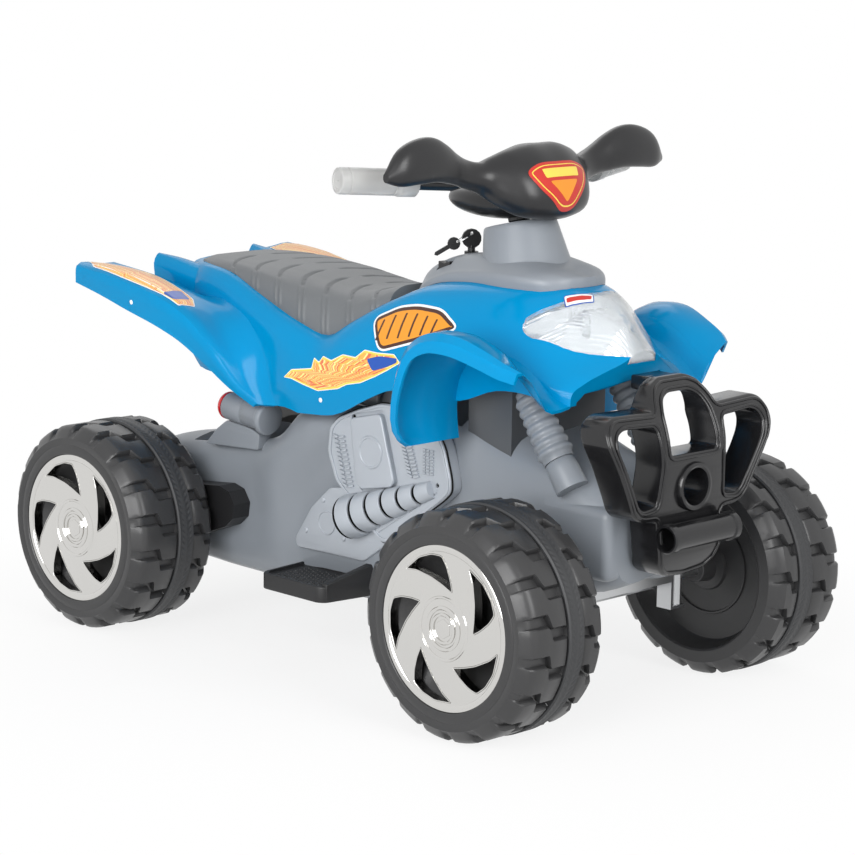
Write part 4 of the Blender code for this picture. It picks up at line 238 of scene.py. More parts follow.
def gridObject(name, grid, wrapped=False, caps=False):
    # a sheet of quads over a grid of points; a wrapped one closes across its rows
    if wrapped:
        grid = np.concatenate([grid, grid[:, :1]], axis=1)
    rows, columns = grid.shape[:2]
    bm = bmesh.new()
    bmesh.ops.create_grid(bm, x_segments=columns - 1, y_segments=rows - 1, size=1.0)
    for vert, place in zip(bm.verts, grid.reshape(-1, 3)):
        vert.co = place
    bmesh.ops.remove_doubles(bm, verts=bm.verts, dist=1e-7)
    if caps:
        bmesh.ops.holes_fill(bm, edges=[e for e in bm.edges if e.is_boundary], sides=0)
    bmesh.ops.recalc_face_normals(bm, faces=bm.faces)
    return fromBmesh(name, bm)


def ringGrid(rings, perAcross, perAlong, corners=(), stops=()):
    # smooth quads through closed rings; corners stay sharp across, stops along
    grid = np.asarray([[tuple(p) for p in ring] for ring in rings], float)
    grid = curved(grid.transpose(1, 0, 2), perAcross, closed=True, corners=corners)
    return curved(grid.transpose(1, 0, 2), perAlong, corners=stops)


def edited(obj, change):
    bm = bmesh.new()
    bm.from_mesh(obj.data)
    change(bm)
    bm.to_mesh(obj.data)
    bm.free()
    return obj


def linked(name, data):
    obj = bpy.data.objects.new(name, data)
    bpy.context.scene.collection.objects.link(obj)
    return obj


def fromBmesh(name, bm):
    mesh = bpy.data.meshes.new(name)
    bm.to_mesh(mesh)
    bm.free()
    return linked(name, mesh)


def discard(obj):
    bpy.data.objects.remove(obj, do_unlink=True)


def applied(obj):
    # the object with its modifiers made part of its mesh
    bpy.context.view_layer.update()
    graph = bpy.context.evaluated_depsgraph_get()
    mesh = bpy.data.meshes.new_from_object(obj.evaluated_get(graph))
    mesh.transform(obj.matrix_world)
    name = obj.name
    discard(obj)
    return linked(name, mesh)


def combined(target, others, operation):
    for other in others:
        modifier = target.modifiers.new("combine", "BOOLEAN")
        modifier.operation = operation
        modifier.solver = "EXACT"
        modifier.object = other
        target = applied(target)
        discard(other)
    return target


def copied(obj, matrix):
    return moved(linked(obj.name, obj.data.copy()), matrix)


def moved(obj, matrix):
    obj.data.transform(matrix)
    if matrix.determinant() < 0:
        obj.data.flip_normals()
    return obj


mirrorX = Matrix.Scale(-1, 4, (1, 0, 0))


def onSide(obj, side):
    return obj if side > 0 else moved(obj, mirrorX)


def merged(name, objects):
    # several meshes as one object, which keeps their materials
    bm = bmesh.new()
    materials = []
    for obj in objects:
        start = len(bm.faces)
        bm.from_mesh(obj.data)
        bm.faces.ensure_lookup_table()
        owned = [m for m in obj.data.materials] or [None]
        for face in bm.faces[start:]:
            material = owned[min(face.material_index, len(owned) - 1)]
            if material not in materials:
                materials.append(material)
            face.material_index = materials.index(material)
        discard(obj)
    result = fromBmesh(name, bm)
    for material in materials:
        result.data.materials.append(material)
    return result


def painted(obj, net):
    obj.data.materials.clear()
    obj.data.materials.append(net.material)
    return obj


def frameOf(origin, direction):
    turn = Vector(direction).to_track_quat("Z", "Y").to_matrix().to_4x4()
    return Matrix.Translation(origin) @ turn


def spun(name, profile, origin, direction, steps=48):
    # a profile of radius and height, turned once about an axis
    bm = bmesh.new()
    verts = [bm.verts.new((r, 0.0, h)) for r, h in profile]
    edges = [bm.edges.new(pair) for pair in zip(verts, verts[1:])]
    bmesh.ops.spin(bm, geom=verts + edges, angle=math.tau, steps=steps, axis=(0, 0, 1),
                   cent=(0, 0, 0), use_merge=True)
    bmesh.ops.remove_doubles(bm, verts=bm.verts, dist=1e-6)
    bmesh.ops.recalc_face_normals(bm, faces=bm.faces)
    return moved(fromBmesh(name, bm), frameOf(origin, direction))


def box(name, low, high, bevel=0.0, segments=2):
    bm = bmesh.new()
    bmesh.ops.create_cube(bm, size=1.0)
    bmesh.ops.scale(bm, vec=[h - l for l, h in zip(low, high)], verts=bm.verts)
    bmesh.ops.translate(bm, vec=[(h + l) / 2 for l, h in zip(low, high)], verts=bm.verts)
    if bevel:
        bmesh.ops.bevel(bm, geom=bm.edges[:], offset=bevel, segments=segments, affect="EDGES",
                        profile=0.5, material=-1)
    return fromBmesh(name, bm)


def rod(name, start, end, radius, steps=32):
    start, end = Vector(start), Vector(end)
    length = (end - start).length
    return spun(name, [(0.0, 0.0), (radius, 0.0), (radius, length), (0.0, length)], start, end - start,
                steps)


def filleted(outline, radius, steps=4):
    # a closed outline with rounded corners
    result = []
    count = len(outline)
    for i, here in enumerate(outline):
        here = Vector(here)
        before, after = Vector(outline[i - 1]), Vector(outline[(i + 1) % count])
        into, out = before - here, after - here
        reach = min(radius, into.length * 0.45, out.length * 0.45)
        a, b = here + into.normalized() * reach, here + out.normalized() * reach
        for k in range(steps + 1):
            t = k / steps
            result.append(tuple((1 - t)**2 * a + 2 * t * (1 - t) * here + t**2 * b))
    return result


def curveObject(name, lines, closed, **settings):
    # one curve of straight stretches through each line of points
    curve = bpy.data.curves.new(name, "CURVE")
    for key, value in settings.items():
        setattr(curve, key, value)
    for line in lines:
        spline = curve.splines.new("POLY")
        spline.points.add(len(line) - 1)
        for point, place in zip(spline.points, line):
            point.co = Vector((*place, 0.0)[:3]).to_4d()
        spline.use_cyclic_u = closed
    return linked(name, curve)


def plate(name, outlines, thickness, bevel, matrix, rounds=2):
    # a flat plate with rounded edges; the first outline is its edge, the others are holes
    obj = curveObject(name, outlines, True, dimensions="2D", fill_mode="BOTH", bevel_depth=bevel,
                      bevel_resolution=rounds, offset=-bevel, extrude=thickness / 2 - bevel)
    obj.matrix_world = matrix
    return edited(applied(obj), lambda bm: bmesh.ops.remove_doubles(bm, verts=bm.verts, dist=1e-6))


def wire(name, points, radius, closed=False, resolution=3):
    return applied(curveObject(name, [points], closed, dimensions="3D", bevel_depth=radius,
                               bevel_resolution=resolution, use_fill_caps=not closed))


def mirrored(half, first=1, last=None):
    # half a ring and its mirror image, without the points that they share
    return half + [(-x, y, z) for x, y, z in reversed(half[first:last])]


def bothSides(outline):
    return list(outline) + [(-x, v) for x, v in reversed(outline) if x > 1e-6]


def sideFacing(x):
    # a plate drawn in y and z stands at x
    return Matrix(((0, 0, 1, x), (1, 0, 0, 0), (0, 1, 0, 0), (0, 0, 0, 1)))


def finished(obj, net, body, stands=(), sharp=38.0):
    # moves the piece to its place in the frame and hangs it under its body
    if net is not None:
        painted(obj, net)
    moved(obj, Matrix.Translation((0.0, shiftY, 0.0)))
    obj.data.shade_smooth()
    obj.data.set_sharp_from_angle(angle=math.radians(sharp))
    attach(obj, body)
    if stands:
        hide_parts(*stands)
    return obj


surfaces = {}


def remember(key, obj):
    # what stickers and screws are laid on
    bm = bmesh.new()
    bm.from_mesh(obj.data)
    surfaces[key] = BVHTree.FromBMesh(bm)
    bm.free()


def planOf(origin, across, up):
    # a flat plan whose Z faces away from the surface that it is laid on
    x = Vector(across).normalized()
    z = x.cross(Vector(up)).normalized()
    return Matrix.Translation(origin) @ Matrix((x, z.cross(x), z)).transposed().to_4x4()


def sticker(name, outline, plan, key, step, lift):
    # a thin sheet cut to an outline and laid on a surface; its UV is its own flat plan
    obj = applied(curveObject(name, [outline], True, dimensions="2D", fill_mode="FRONT"))
    aim = -(plan.to_3x3() @ Vector((0, 0, 1)))

    def lay(bm):
        for axis in (0, 1):
            places = [p[axis] for p in outline]
            for at in np.arange(min(places) + step, max(places), step):
                normal = Vector([float(k == axis) for k in range(3)])
                bmesh.ops.bisect_plane(bm, geom=bm.verts[:] + bm.edges[:] + bm.faces[:], dist=1e-7,
                                       plane_co=normal * at, plane_no=normal)
        layer = bm.loops.layers.uv.new("plan")
        for face in bm.faces:
            for loop in face.loops:
                loop[layer].uv = loop.vert.co.xy
        for vert in bm.verts:
            start = plan @ vert.co
            spot = surfaces[key].ray_cast(start, aim)[0] or surfaces[key].find_nearest(start)[0]
            vert.co = spot - aim * lift

    return edited(obj, lay)


def shrunk(outline, amount):
    # a closed outline moved inwards; a negative amount moves it outwards
    points = [Vector(p) for p in outline]
    turn = sum(a.cross(b) for a, b in zip(points, points[1:] + points[:1]))
    amount = math.copysign(amount, amount * turn)
    result = []
    for i, here in enumerate(points):
        into = (here - points[i - 1]).normalized()
        out = (points[(i + 1) % len(points)] - here).normalized()
        normal = Vector((-into.y - out.y, into.x + out.x))
        if normal.length < 1e-6:
            normal = Vector((-into.y, into.x))
        normal.normalize()
        stretch = max(0.6, abs(normal.dot(Vector((-into.y, into.x)))))
        result.append(tuple(here + normal * amount / stretch))
    return result


def interpolate(table, at):
    places, values = zip(*table)
    return float(np.interp(at, places, values))


def inset(points, amount):
    # half a profile moved inwards by a wall
    result = []
    last = len(points) - 1
    for i, (x, z) in enumerate(points):
        before = points[i - 1] if i else (-points[1][0], points[1][1])
        after = points[i + 1] if i < last else (2 * x - points[i - 1][0], 2 * z - points[i - 1][1])
        into = Vector((x - before[0], z - before[1])).normalized()
        out = Vector((after[0] - x, after[1] - z)).normalized()
        normal = Vector((into.y + out.y, -into.x - out.x)).normalized()
        stretch = 1.0 / max(0.5, math.sqrt((1 + into.dot(out)) / 2))
        result.append((x + normal.x * amount * stretch, z + normal.y * amount * stretch))
    result[0] = (0.0, result[0][1])
    return result


print("helpers and materials ready")

wheel = {
    "radius": 0.145, "width": 0.142, "base": 0.7375, "frontFace": 0.3095, "rearFace": 0.2890,
    "lugs": 18, "lugTop": 0.1434, "lugFoot": 0.1352, "shoulder": 0.1262, "capRadius": 0.1030,
    "bandFrom": 0.0705, "bandTo": 0.0975, "bandSeat": 0.1385, "capGap": 0.0004,
    # rings of the outer face: radius, or reach past the cap's seat, and distance from the face
    "hubRings": ((0.0068, 0.024), (0.0190, 0.024), (0.0200, 0.0248), (0.0255, 0.0440), (0.0290, 0.0456),
                 (0.0600, 0.0420)),
    "seatRings": ((-0.018, 0.0250), (-0.004, 0.0110), (0.0, 0.0085), (0.0, 0.0012), (0.0010, 0.0002),
                  (0.0060, 0.0)),
    "wallRings": ((0.1150, 0.0004), (0.1165, 0.0012), (0.1180, 0.0006), (0.1240, 0.0)),
    # under the band: height over its seat, distance from the face, and jog
    "bandRings": ((0.0015, 0.0700, 0.36), (0.0, 0.0712, 0.38), (0.0, 0.0840, 0.43), (0.0, 0.0968, 0.48),
                  (0.0015, 0.0980, 0.49)),
    # the inner side: radius and distance from the inner face
    "backRings": ((0.1240, 0.0), (0.1180, 0.0), (0.1110, 0.0), (0.1085, 0.0015), (0.1070, 0.006),
                  (0.1020, 0.026), (0.0990, 0.0295), (0.0950, 0.030), (0.0660, 0.030), (0.0650, 0.0275),
                  (0.0625, 0.0272), (0.0615, 0.030), (0.0330, 0.030), (0.0310, 0.026), (0.0230, 0.025),
                  (0.0205, 0.024), (0.0180, 0.001), (0.0170, 0.0), (0.0068, 0.0)),
    "backJog": 0.8,
}
# across the tread: distance from the outer face, height of a lug from 0 to 1, and its jog
outerTread = ((0.000, 0.00, 0.00), (0.0035, 0.25, 0.00), (0.0075, 0.60, 0.00), (0.0120, 0.86, 0.00),
              (0.0180, 1.00, 0.00), (0.0360, 1.00, 0.00), (0.0380, 1.00, 0.05), (0.0420, 1.00, 0.30),
              (0.0440, 1.00, 0.35), (0.0655, 1.00, 0.35), (0.0685, 0.90, 0.35))
innerTread = ((0.0995, 0.90, 0.50), (0.1025, 1.00, 0.50), (0.1120, 1.00, 0.50), (0.1140, 1.00, 0.55),
              (0.1170, 1.00, 0.75), (0.1190, 1.00, 0.80), (0.1260, 1.00, 0.80), (0.1310, 0.82, 0.80),
              (0.1355, 0.55, 0.80), (0.1390, 0.25, 0.80), (0.1420, 0.00, 0.80))
# round one lug: place within the pitch, and height
lugShape = ((0.000, 0.0), (0.025, 0.72), (0.060, 1.0), (0.250, 1.0), (0.450, 1.0), (0.640, 1.0),
            (0.720, 1.0), (0.755, 0.72), (0.780, 0.0), (0.890, 0.0))


def ringPoint(x, radius, turn):
    return (x, radius * math.sin(turn), -radius * math.cos(turn))


def treadRing(x, height, jog):
    # one ring round the tread, with the lugs' tops and the grooves between them
    shoulder = wheel["shoulder"]
    top = shoulder + (wheel["lugTop"] - shoulder) * height
    foot = shoulder + (wheel["lugFoot"] - shoulder) * min(1.0, height * 1.15)
    return [ringPoint(x, foot + (top - foot) * rise, (lug + share + jog) * math.tau / wheel["lugs"])
            for lug in range(wheel["lugs"]) for share, rise in lugShape]


def plainRing(radius, x, jog=0.0):
    return [ringPoint(x, radius, (lug + share + jog) * math.tau / wheel["lugs"])
            for lug in range(wheel["lugs"]) for share, _ in lugShape]


def closedRings(name, rings):
    return gridObject(name, np.array(rings + rings[:1]), wrapped=True)


def tyreObject():
    w = wheel
    seatRadius = w["capRadius"] + w["capGap"]
    rings = [plainRing(radius, x) for radius, x in w["hubRings"]]
    rings += [plainRing(seatRadius + reach, x) for reach, x in w["seatRings"]]
    rings += [plainRing(radius, x) for radius, x in w["wallRings"]]
    rings += [treadRing(*row) for row in outerTread]
    rings += [plainRing(w["bandSeat"] + rise, x, jog) for rise, x, jog in w["bandRings"]]
    rings += [treadRing(*row) for row in innerTread]
    rings += [plainRing(radius, w["width"] - depth, w["backJog"]) for radius, depth in w["backRings"]]
    return closedRings("tyre", rings)


band = {
    "ribs": 110, "sideGap": 0.0004, "seatGap": 0.0003, "ribDepth": 0.0009, "lean": 3.0, "steps": 4,
    # its edges: drop from the outer radius, and distance from the side; then the rows' margins
    "edge": ((0.0022, 0.0), (0.0012, 0.0008)), "rowMargin": 0.0016, "middleMargin": 0.0008,
}


def bandRing(radius, x, slip=0.0, rib=0.0):
    count = band["ribs"] * 2
    return [ringPoint(x, radius - rib * (i % 2), (i + slip) * math.tau / count) for i in range(count)]


def bandObject():
    # a soft band with fine slanting ribs in two rows
    low, high = wheel["bandFrom"] + band["sideGap"], wheel["bandTo"] - band["sideGap"]
    inner, outer = wheel["bandSeat"] + band["seatGap"], wheel["radius"]
    middle = (low + high) / 2
    rows = ((low + band["rowMargin"], middle - band["middleMargin"]),
            (middle + band["middleMargin"], high - band["rowMargin"]))
    rings = [bandRing(inner, low)] + [bandRing(outer - drop, low + side) for drop, side in band["edge"]]
    steps = band["steps"]
    for row, (start, end) in enumerate(rows):
        for k in range(steps + 1):
            lean = band["lean"] * (1 - k / steps if row else k / steps)
            rib = band["ribDepth"] if 0 < k < steps else 0.0
            rings.append(bandRing(outer, start + (end - start) * k / steps, lean, rib))
    rings += [bandRing(outer - drop, high - side) for drop, side in reversed(band["edge"])]
    return closedRings("band", rings + [bandRing(inner, high)])


hubcap = {
    "thick": 0.0060, "recess": 0.0020, "edge": 0.0012, "discRadius": 0.0965, "hubRadius": 0.0420,
    "wallDepth": 0.0130, "wallThick": 0.0011, "wallStart": 0.0006, "windowRound": 0.004,
    "boltRadius": 0.0125, "boltRound": 0.001, "boltThick": 0.004, "boltEdge": 0.0006, "boltAt": 0.0040,
    # the windows in a ring, and one window's corners: radius and angle
    "windows": 5,
    "window": ((0.0480, 53), (0.0620, 46), (0.0780, 39), (0.0900, 33), (0.0925, 22), (0.0930, 8),
               (0.0915, -10), (0.0800, 0), (0.0640, 16), (0.0540, 32)),
    "rim": ((0.1030, 0.0078), (0.1030, 0.0018), (0.1015, 0.0008), (0.0985, 0.0006), (0.0960, 0.0014),
            (0.0948, 0.0026), (0.0945, 0.0078)),
    "hub": ((0.0, 0.0062), (0.0138, 0.0062), (0.0150, 0.0054), (0.0158, 0.0012), (0.0170, 0.0002),
            (0.0186, 0.0002), (0.0198, 0.0014), (0.0204, 0.0060), (0.0214, 0.0066), (0.0226, 0.0060),
            (0.0232, 0.0016), (0.0244, 0.0004), (0.0268, 0.0004), (0.0282, 0.0018), (0.0290, 0.0066),
            (0.0320, 0.0078), (0.0356, 0.0070), (0.0368, 0.0024), (0.0382, 0.0010), (0.0400, 0.0014),
            (0.0412, 0.0034), (0.0420, 0.0050)),
}


facingOut = Matrix.Rotation(math.radians(90), 4, "Y")


def atX(x):
    return Matrix.Translation((x, 0, 0)) @ facingOut


def circle(radius, count):
    return [(radius * math.cos(t), radius * math.sin(t))
            for t in np.linspace(0, math.tau, count, endpoint=False)]


def sleeve(outline):
    # a wall standing behind an outline drawn in the wheel's plane
    points = [facingOut @ Vector((x, y, 0.0)) for x, y in outline]
    start = hubcap["recess"] + hubcap["wallStart"]
    grid = np.array([[(start + s, p.y, p.z) for p in points] for s in (0.0, hubcap["wallDepth"])])
    obj = gridObject("windowWall", grid, wrapped=True)
    return edited(obj, lambda bm: bmesh.ops.solidify(bm, geom=bm.faces[:], thickness=hubcap["wallThick"]))


def hubcapObject():
    h = hubcap
    windows = []
    for i in range(h["windows"]):
        turn = i * math.tau / h["windows"]
        corners = [(r * math.cos(turn + math.radians(a)), r * math.sin(turn + math.radians(a)))
                   for r, a in h["window"]]
        windows.append(filleted(corners, h["windowRound"], 3))
    disc = plate("disc", [circle(h["discRadius"], 96)] + windows, h["thick"] - h["edge"], h["edge"],
                 atX(h["recess"] + h["thick"] / 2))
    ring = spun("rim", h["rim"] + h["rim"][:1], (0, 0, 0), (1, 0, 0), 96)
    back = h["recess"] + h["thick"]
    hub = spun("hub", h["hub"] + ((h["hubRadius"], back), (0.0, back)), (0, 0, 0), (1, 0, 0), 64)
    bolt = plate("bolt", [filleted(circle(h["boltRadius"], 6), h["boltRound"], 2)], h["boltThick"],
                 h["boltEdge"], atX(h["boltAt"]))
    return merged("hubcap", [disc, ring, hub, bolt] + [sleeve(window) for window in windows])


def makeWheels():
    tyre, ribbed, cap = tyreObject(), bandObject(), hubcapObject()
    for end, sign, face in (("front", -1, wheel["frontFace"]), ("rear", 1, wheel["rearFace"])):
        for side, word in sides:
            label = end + "_" + word
            spot = Matrix.Translation((side * face, sign * wheel["base"] / 2, wheel["radius"]))
            out = spot @ Matrix.Rotation(math.pi if side > 0 else 0.0, 4, "Z")
            body = "wheel_" + label
            for shape, node, net, slot in ((tyre, "tyre_", tyreBlack, "tyre_plastic"),
                                           (ribbed, "traction_band_", bandRubber, "band_rubber"),
                                           (cap, "hubcap_", chromeCap, "chrome_plating")):
                piece = copied(shape, out)
                piece.name = "detailed_" + node + label
                finished(piece, net, body, (node + label,), 30.0)
    for shape in (tyre, ribbed, cap):
        discard(shape)
    print("four wheels done")


bandRubber = plastic("bandRubber", (0.030, 0.031, 0.033), 0.55, 900.0, 0.0001, 0.10)
makeWheels()

body = {
    "wall": 0.0035, "stripWall": 0.0040, "coreDrop": 0.06, "finRound": 0.008, "lensRange": (0.444, 0.60),
    "lensGap": 0.0004, "lensWall": 0.0025, "lensDrop": 0.05,
    # the column's hole: its ends and its radius
    "hole": ((0, -0.228, 0.46), (0, -0.210, 0.58), 0.015),
    # each section: y, bow of its outer points, and half the profile from the middle
    "sections": (
        (-0.414, 0.026, ((0.0, 0.462), (0.014, 0.459), (0.032, 0.449), (0.062, 0.438),
                         (0.090, 0.425), (0.106, 0.412), (0.108, 0.397))),
        (-0.378, 0.010, ((0.0, 0.503), (0.020, 0.495), (0.046, 0.468), (0.076, 0.448),
                         (0.102, 0.431), (0.116, 0.415), (0.116, 0.397))),
        (-0.335, 0.0, ((0.0, 0.527), (0.032, 0.523), (0.066, 0.500), (0.090, 0.472),
                       (0.107, 0.448), (0.120, 0.428), (0.122, 0.405))),
        (-0.280, 0.0, ((0.0, 0.533), (0.050, 0.533), (0.080, 0.514), (0.100, 0.489),
                       (0.112, 0.462), (0.122, 0.436), (0.126, 0.405))),
        (-0.220, 0.0, ((0.0, 0.535), (0.052, 0.535), (0.088, 0.518), (0.110, 0.489),
                       (0.122, 0.455), (0.130, 0.420), (0.132, 0.385))),
        (-0.150, 0.0, ((0.0, 0.529), (0.055, 0.529), (0.092, 0.515), (0.116, 0.484),
                       (0.129, 0.450), (0.137, 0.415), (0.138, 0.388))),
        (-0.100, 0.0, ((0.0, 0.516), (0.055, 0.516), (0.095, 0.508), (0.118, 0.478),
                       (0.132, 0.440), (0.140, 0.405), (0.141, 0.383))),
        (-0.065, 0.0, ((0.0, 0.492), (0.055, 0.492), (0.098, 0.495), (0.121, 0.466),
                       (0.135, 0.430), (0.142, 0.395), (0.143, 0.368))),
        (0.000, 0.0, ((0.0, 0.456), (0.055, 0.456), (0.114, 0.458), (0.129, 0.438),
                      (0.139, 0.405), (0.144, 0.370), (0.143, 0.338))),
        (0.045, 0.0, ((0.0, 0.431), (0.055, 0.431), (0.119, 0.433), (0.132, 0.415),
                      (0.140, 0.388), (0.144, 0.360), (0.142, 0.333))),
        (0.100, 0.0, ((0.0, 0.442), (0.055, 0.442), (0.118, 0.444), (0.131, 0.427),
                      (0.138, 0.395), (0.142, 0.360), (0.138, 0.330))),
        (0.200, 0.0, ((0.0, 0.475), (0.055, 0.475), (0.107, 0.477), (0.119, 0.462),
                      (0.121, 0.420), (0.119, 0.370), (0.115, 0.335))),
        (0.260, 0.0, ((0.0, 0.494), (0.055, 0.494), (0.099, 0.497), (0.111, 0.484),
                      (0.113, 0.450), (0.109, 0.390), (0.101, 0.342))),
        (0.315, 0.0, ((0.0, 0.499), (0.050, 0.499), (0.091, 0.503), (0.102, 0.491),
                      (0.104, 0.455), (0.099, 0.400), (0.091, 0.348))),
        (0.368, 0.0, ((0.0, 0.508), (0.040, 0.507), (0.070, 0.500), (0.080, 0.482),
                      (0.083, 0.450), (0.081, 0.410), (0.078, 0.380))),
        (0.378, 0.0, ((0.0, 0.494), (0.035, 0.493), (0.058, 0.487), (0.068, 0.474),
                      (0.071, 0.450), (0.070, 0.415), (0.068, 0.388))),
    ),
    # fender and wing: edge x, y, z, lip, then root, valley and ridge as x and shifts in y and z
    "fender": (
        (0.222, -0.2150, 0.3360, 0.008, (0.130, 0.0, 0.0), (0.150, 0.0, 0.0), (0.170, 0.0, 0.0)),
        (0.234, -0.2125, 0.3450, 0.009, (0.124, -0.001, 0.0), (0.150, -0.001, 0.0), (0.172, 0.0, 0.0)),
        (0.240, -0.2140, 0.4250, 0.011, (0.116, -0.006, 0.0), (0.142, -0.006, 0.0), (0.168, 0.0, 0.0)),
        (0.236, -0.2260, 0.4560, 0.012, (0.110, -0.008, -0.009), (0.140, -0.008, -0.009),
         (0.166, 0.0, 0.0)),
        (0.235, -0.2500, 0.4730, 0.014, (0.104, -0.006, -0.019), (0.142, -0.006, -0.019),
         (0.166, 0.0, 0.0)),
        (0.232, -0.2920, 0.4780, 0.016, (0.098, 0.0, -0.027), (0.148, 0.0, -0.027),
         (0.168, 0.0, -0.001)),
        (0.222, -0.3400, 0.4660, 0.017, (0.096, 0.0, -0.034), (0.151, 0.0, -0.034),
         (0.169, 0.0, -0.007)),
        (0.214, -0.3700, 0.4550, 0.017, (0.094, 0.0, -0.046), (0.153, 0.0, -0.046),
         (0.169, 0.0, -0.021)),
        (0.203, -0.3860, 0.4480, 0.016, (0.092, 0.0, -0.049), (0.153, 0.0, -0.049),
         (0.168, 0.0, -0.024)),
    ),
    "wing": (
        (0.148, 0.1480, 0.3330, 0.006, (0.134, -0.045, 0.002), (0.137, -0.026, 0.001),
         (0.142, -0.010, 0.0)),
        (0.166, 0.1720, 0.3600, 0.012, (0.133, -0.062, 0.0), (0.138, -0.036, 0.0),
         (0.150, -0.012, 0.0)),
        (0.182, 0.1980, 0.4050, 0.030, (0.127, -0.066, 0.0), (0.134, -0.036, 0.0),
         (0.156, -0.010, 0.0)),
        (0.196, 0.2280, 0.4430, 0.039, (0.116, -0.062, 0.004), (0.126, -0.030, 0.0),
         (0.152, -0.006, -0.001)),
        (0.203, 0.2700, 0.4660, 0.041, (0.104, -0.045, 0.006), (0.118, -0.018, -0.004),
         (0.145, -0.002, -0.001)),
        (0.206, 0.3440, 0.4830, 0.038, (0.090, 0.0, -0.016), (0.112, 0.0, -0.016),
         (0.135, 0.0, -0.001)),
        (0.207, 0.4050, 0.4920, 0.031, (0.124, 0.0, -0.005), (0.133, 0.0, -0.004), (0.144, 0.0, 0.0)),
        (0.206, 0.4620, 0.4970, 0.024, (0.138, 0.0, 0.0), (0.146, 0.0, 0.0), (0.156, 0.0, 0.0)),
    ),
    # tail fins: y, x inside, x outside, z low, z high
    "fins": ((0.300, 0.056, 0.096, 0.460, 0.490), (0.345, 0.062, 0.099, 0.466, 0.499),
             (0.385, 0.072, 0.100, 0.472, 0.507), (0.418, 0.082, 0.099, 0.476, 0.511)),
    "lens": ((0.0, -0.338), (0.032, -0.332), (0.052, -0.325), (0.074, -0.309), (0.090, -0.295),
             (0.098, -0.296), (0.100, -0.306), (0.094, -0.328), (0.083, -0.351), (0.056, -0.381),
             (0.027, -0.410), (0.010, -0.425)),
}


def bodyCore(offset=0.0, drop=0.0):
    # the body's outer form, moved inwards by an offset
    rings = []
    last = len(body["sections"]) - 1
    for i, (y, bow, points) in enumerate(body["sections"]):
        points = inset(points, offset) if offset else list(points)
        points[-1] = (points[-1][0], points[-1][1] - drop)
        y += offset if i == 0 else -offset if i == last else 0.0
        widest = max(x for x, _ in points)
        half = [(x, y + bow * (x / widest) ** 2, z) for x, z in points]
        rings.append(mirrored(half))
    return gridObject("core", ringGrid(rings, 4, 4, corners=(6, 7), stops=(14,)), wrapped=True, caps=True)


def strip(stations, wheelY):
    # a fender or wing: a bent strip with a valley, a raised ridge and a turned-down lip
    edges = [Vector((0.0, s[1], s[2])) for s in stations]
    hub = Vector((0.0, wheelY, wheel["radius"]))
    sideways = Vector((-body["stripWall"], 0.0, 0.0))
    rings = []
    for i, (edgeX, y, z, lip, *inner) in enumerate(stations):
        along = (edges[min(i + 1, len(edges) - 1)] - edges[max(i - 1, 0)]).normalized()
        towards = Vector((0.0, along.z, -along.y))
        if towards.dot(hub - edges[i]) < 0:
            towards = -towards
        line = [Vector((x, y + dy, z + dz)) for x, dy, dz in inner] + [Vector((edgeX, y, z))]
        lipFoot = line[-1] + towards * lip
        inside = [p + towards * body["stripWall"] + sideways for p in line]
        rings.append(line + [lipFoot, lipFoot + sideways] + inside[::-1])
    return gridObject("strip", ringGrid(rings, 4, 5, corners=(0, 4, 5, 9)), wrapped=True, caps=True)


def fin():
    r = body["finRound"]
    rings = [[(x, y, z) for x, z in ((inner, low), (inner, high - r), (inner + r, high),
                                     (outer - r, high), (outer, high - r), (outer, low))]
             for y, inner, outer, low, high in body["fins"]]
    return gridObject("fin", ringGrid(rings, 4, 4, corners=(0, 5)), wrapped=True, caps=True)


def lensPrism(grow):
    # an upright block through the lens's outline, a little larger or smaller
    grown = shrunk(bothSides(body["lens"]), -grow)
    low, high = body["lensRange"]
    rings = [[(x, y, z) for x, y in grown] for z in (low - grow, high)]
    smooth = curved(np.array(rings).transpose(1, 0, 2), 3, closed=True, corners=(0, 4, 11, 12, 19))
    return gridObject("prism", smooth.transpose(1, 0, 2), wrapped=True, caps=True)


def makeBody():
    shell = bodyCore()
    remember("core", shell)
    for side, _ in sides:
        shell = combined(shell, [onSide(strip(body["fender"], -wheel["base"] / 2), side),
                                 onSide(strip(body["wing"], wheel["base"] / 2), side),
                                 onSide(fin(), side)], "UNION")
    inner = bodyCore(body["wall"], body["coreDrop"])
    shell = combined(shell, [inner, lensPrism(0.0), rod("hole", *body["hole"])], "DIFFERENCE")
    shell.name = "body_shell"
    remember("body", shell)
    finished(shell, glossBlue, "chassis", ("upper_body",), 34.0)

    lens = combined(lensPrism(-body["lensGap"]), [bodyCore()], "INTERSECT")
    lens = combined(lens, [bodyCore(body["lensWall"], body["lensDrop"])], "DIFFERENCE")
    lens.name = "headlight_cover"
    finished(lens, lensPlastic, "chassis", ("headlight_lens",), 40.0)
    print("body shell and headlight done")


lensPlastic = fluted("lensPlastic", (0.93, 0.95, 0.96), 0.05, 0.0040, 0.00016, Transmission_Weight=0.85,
                     IOR=1.2)
makeBody()

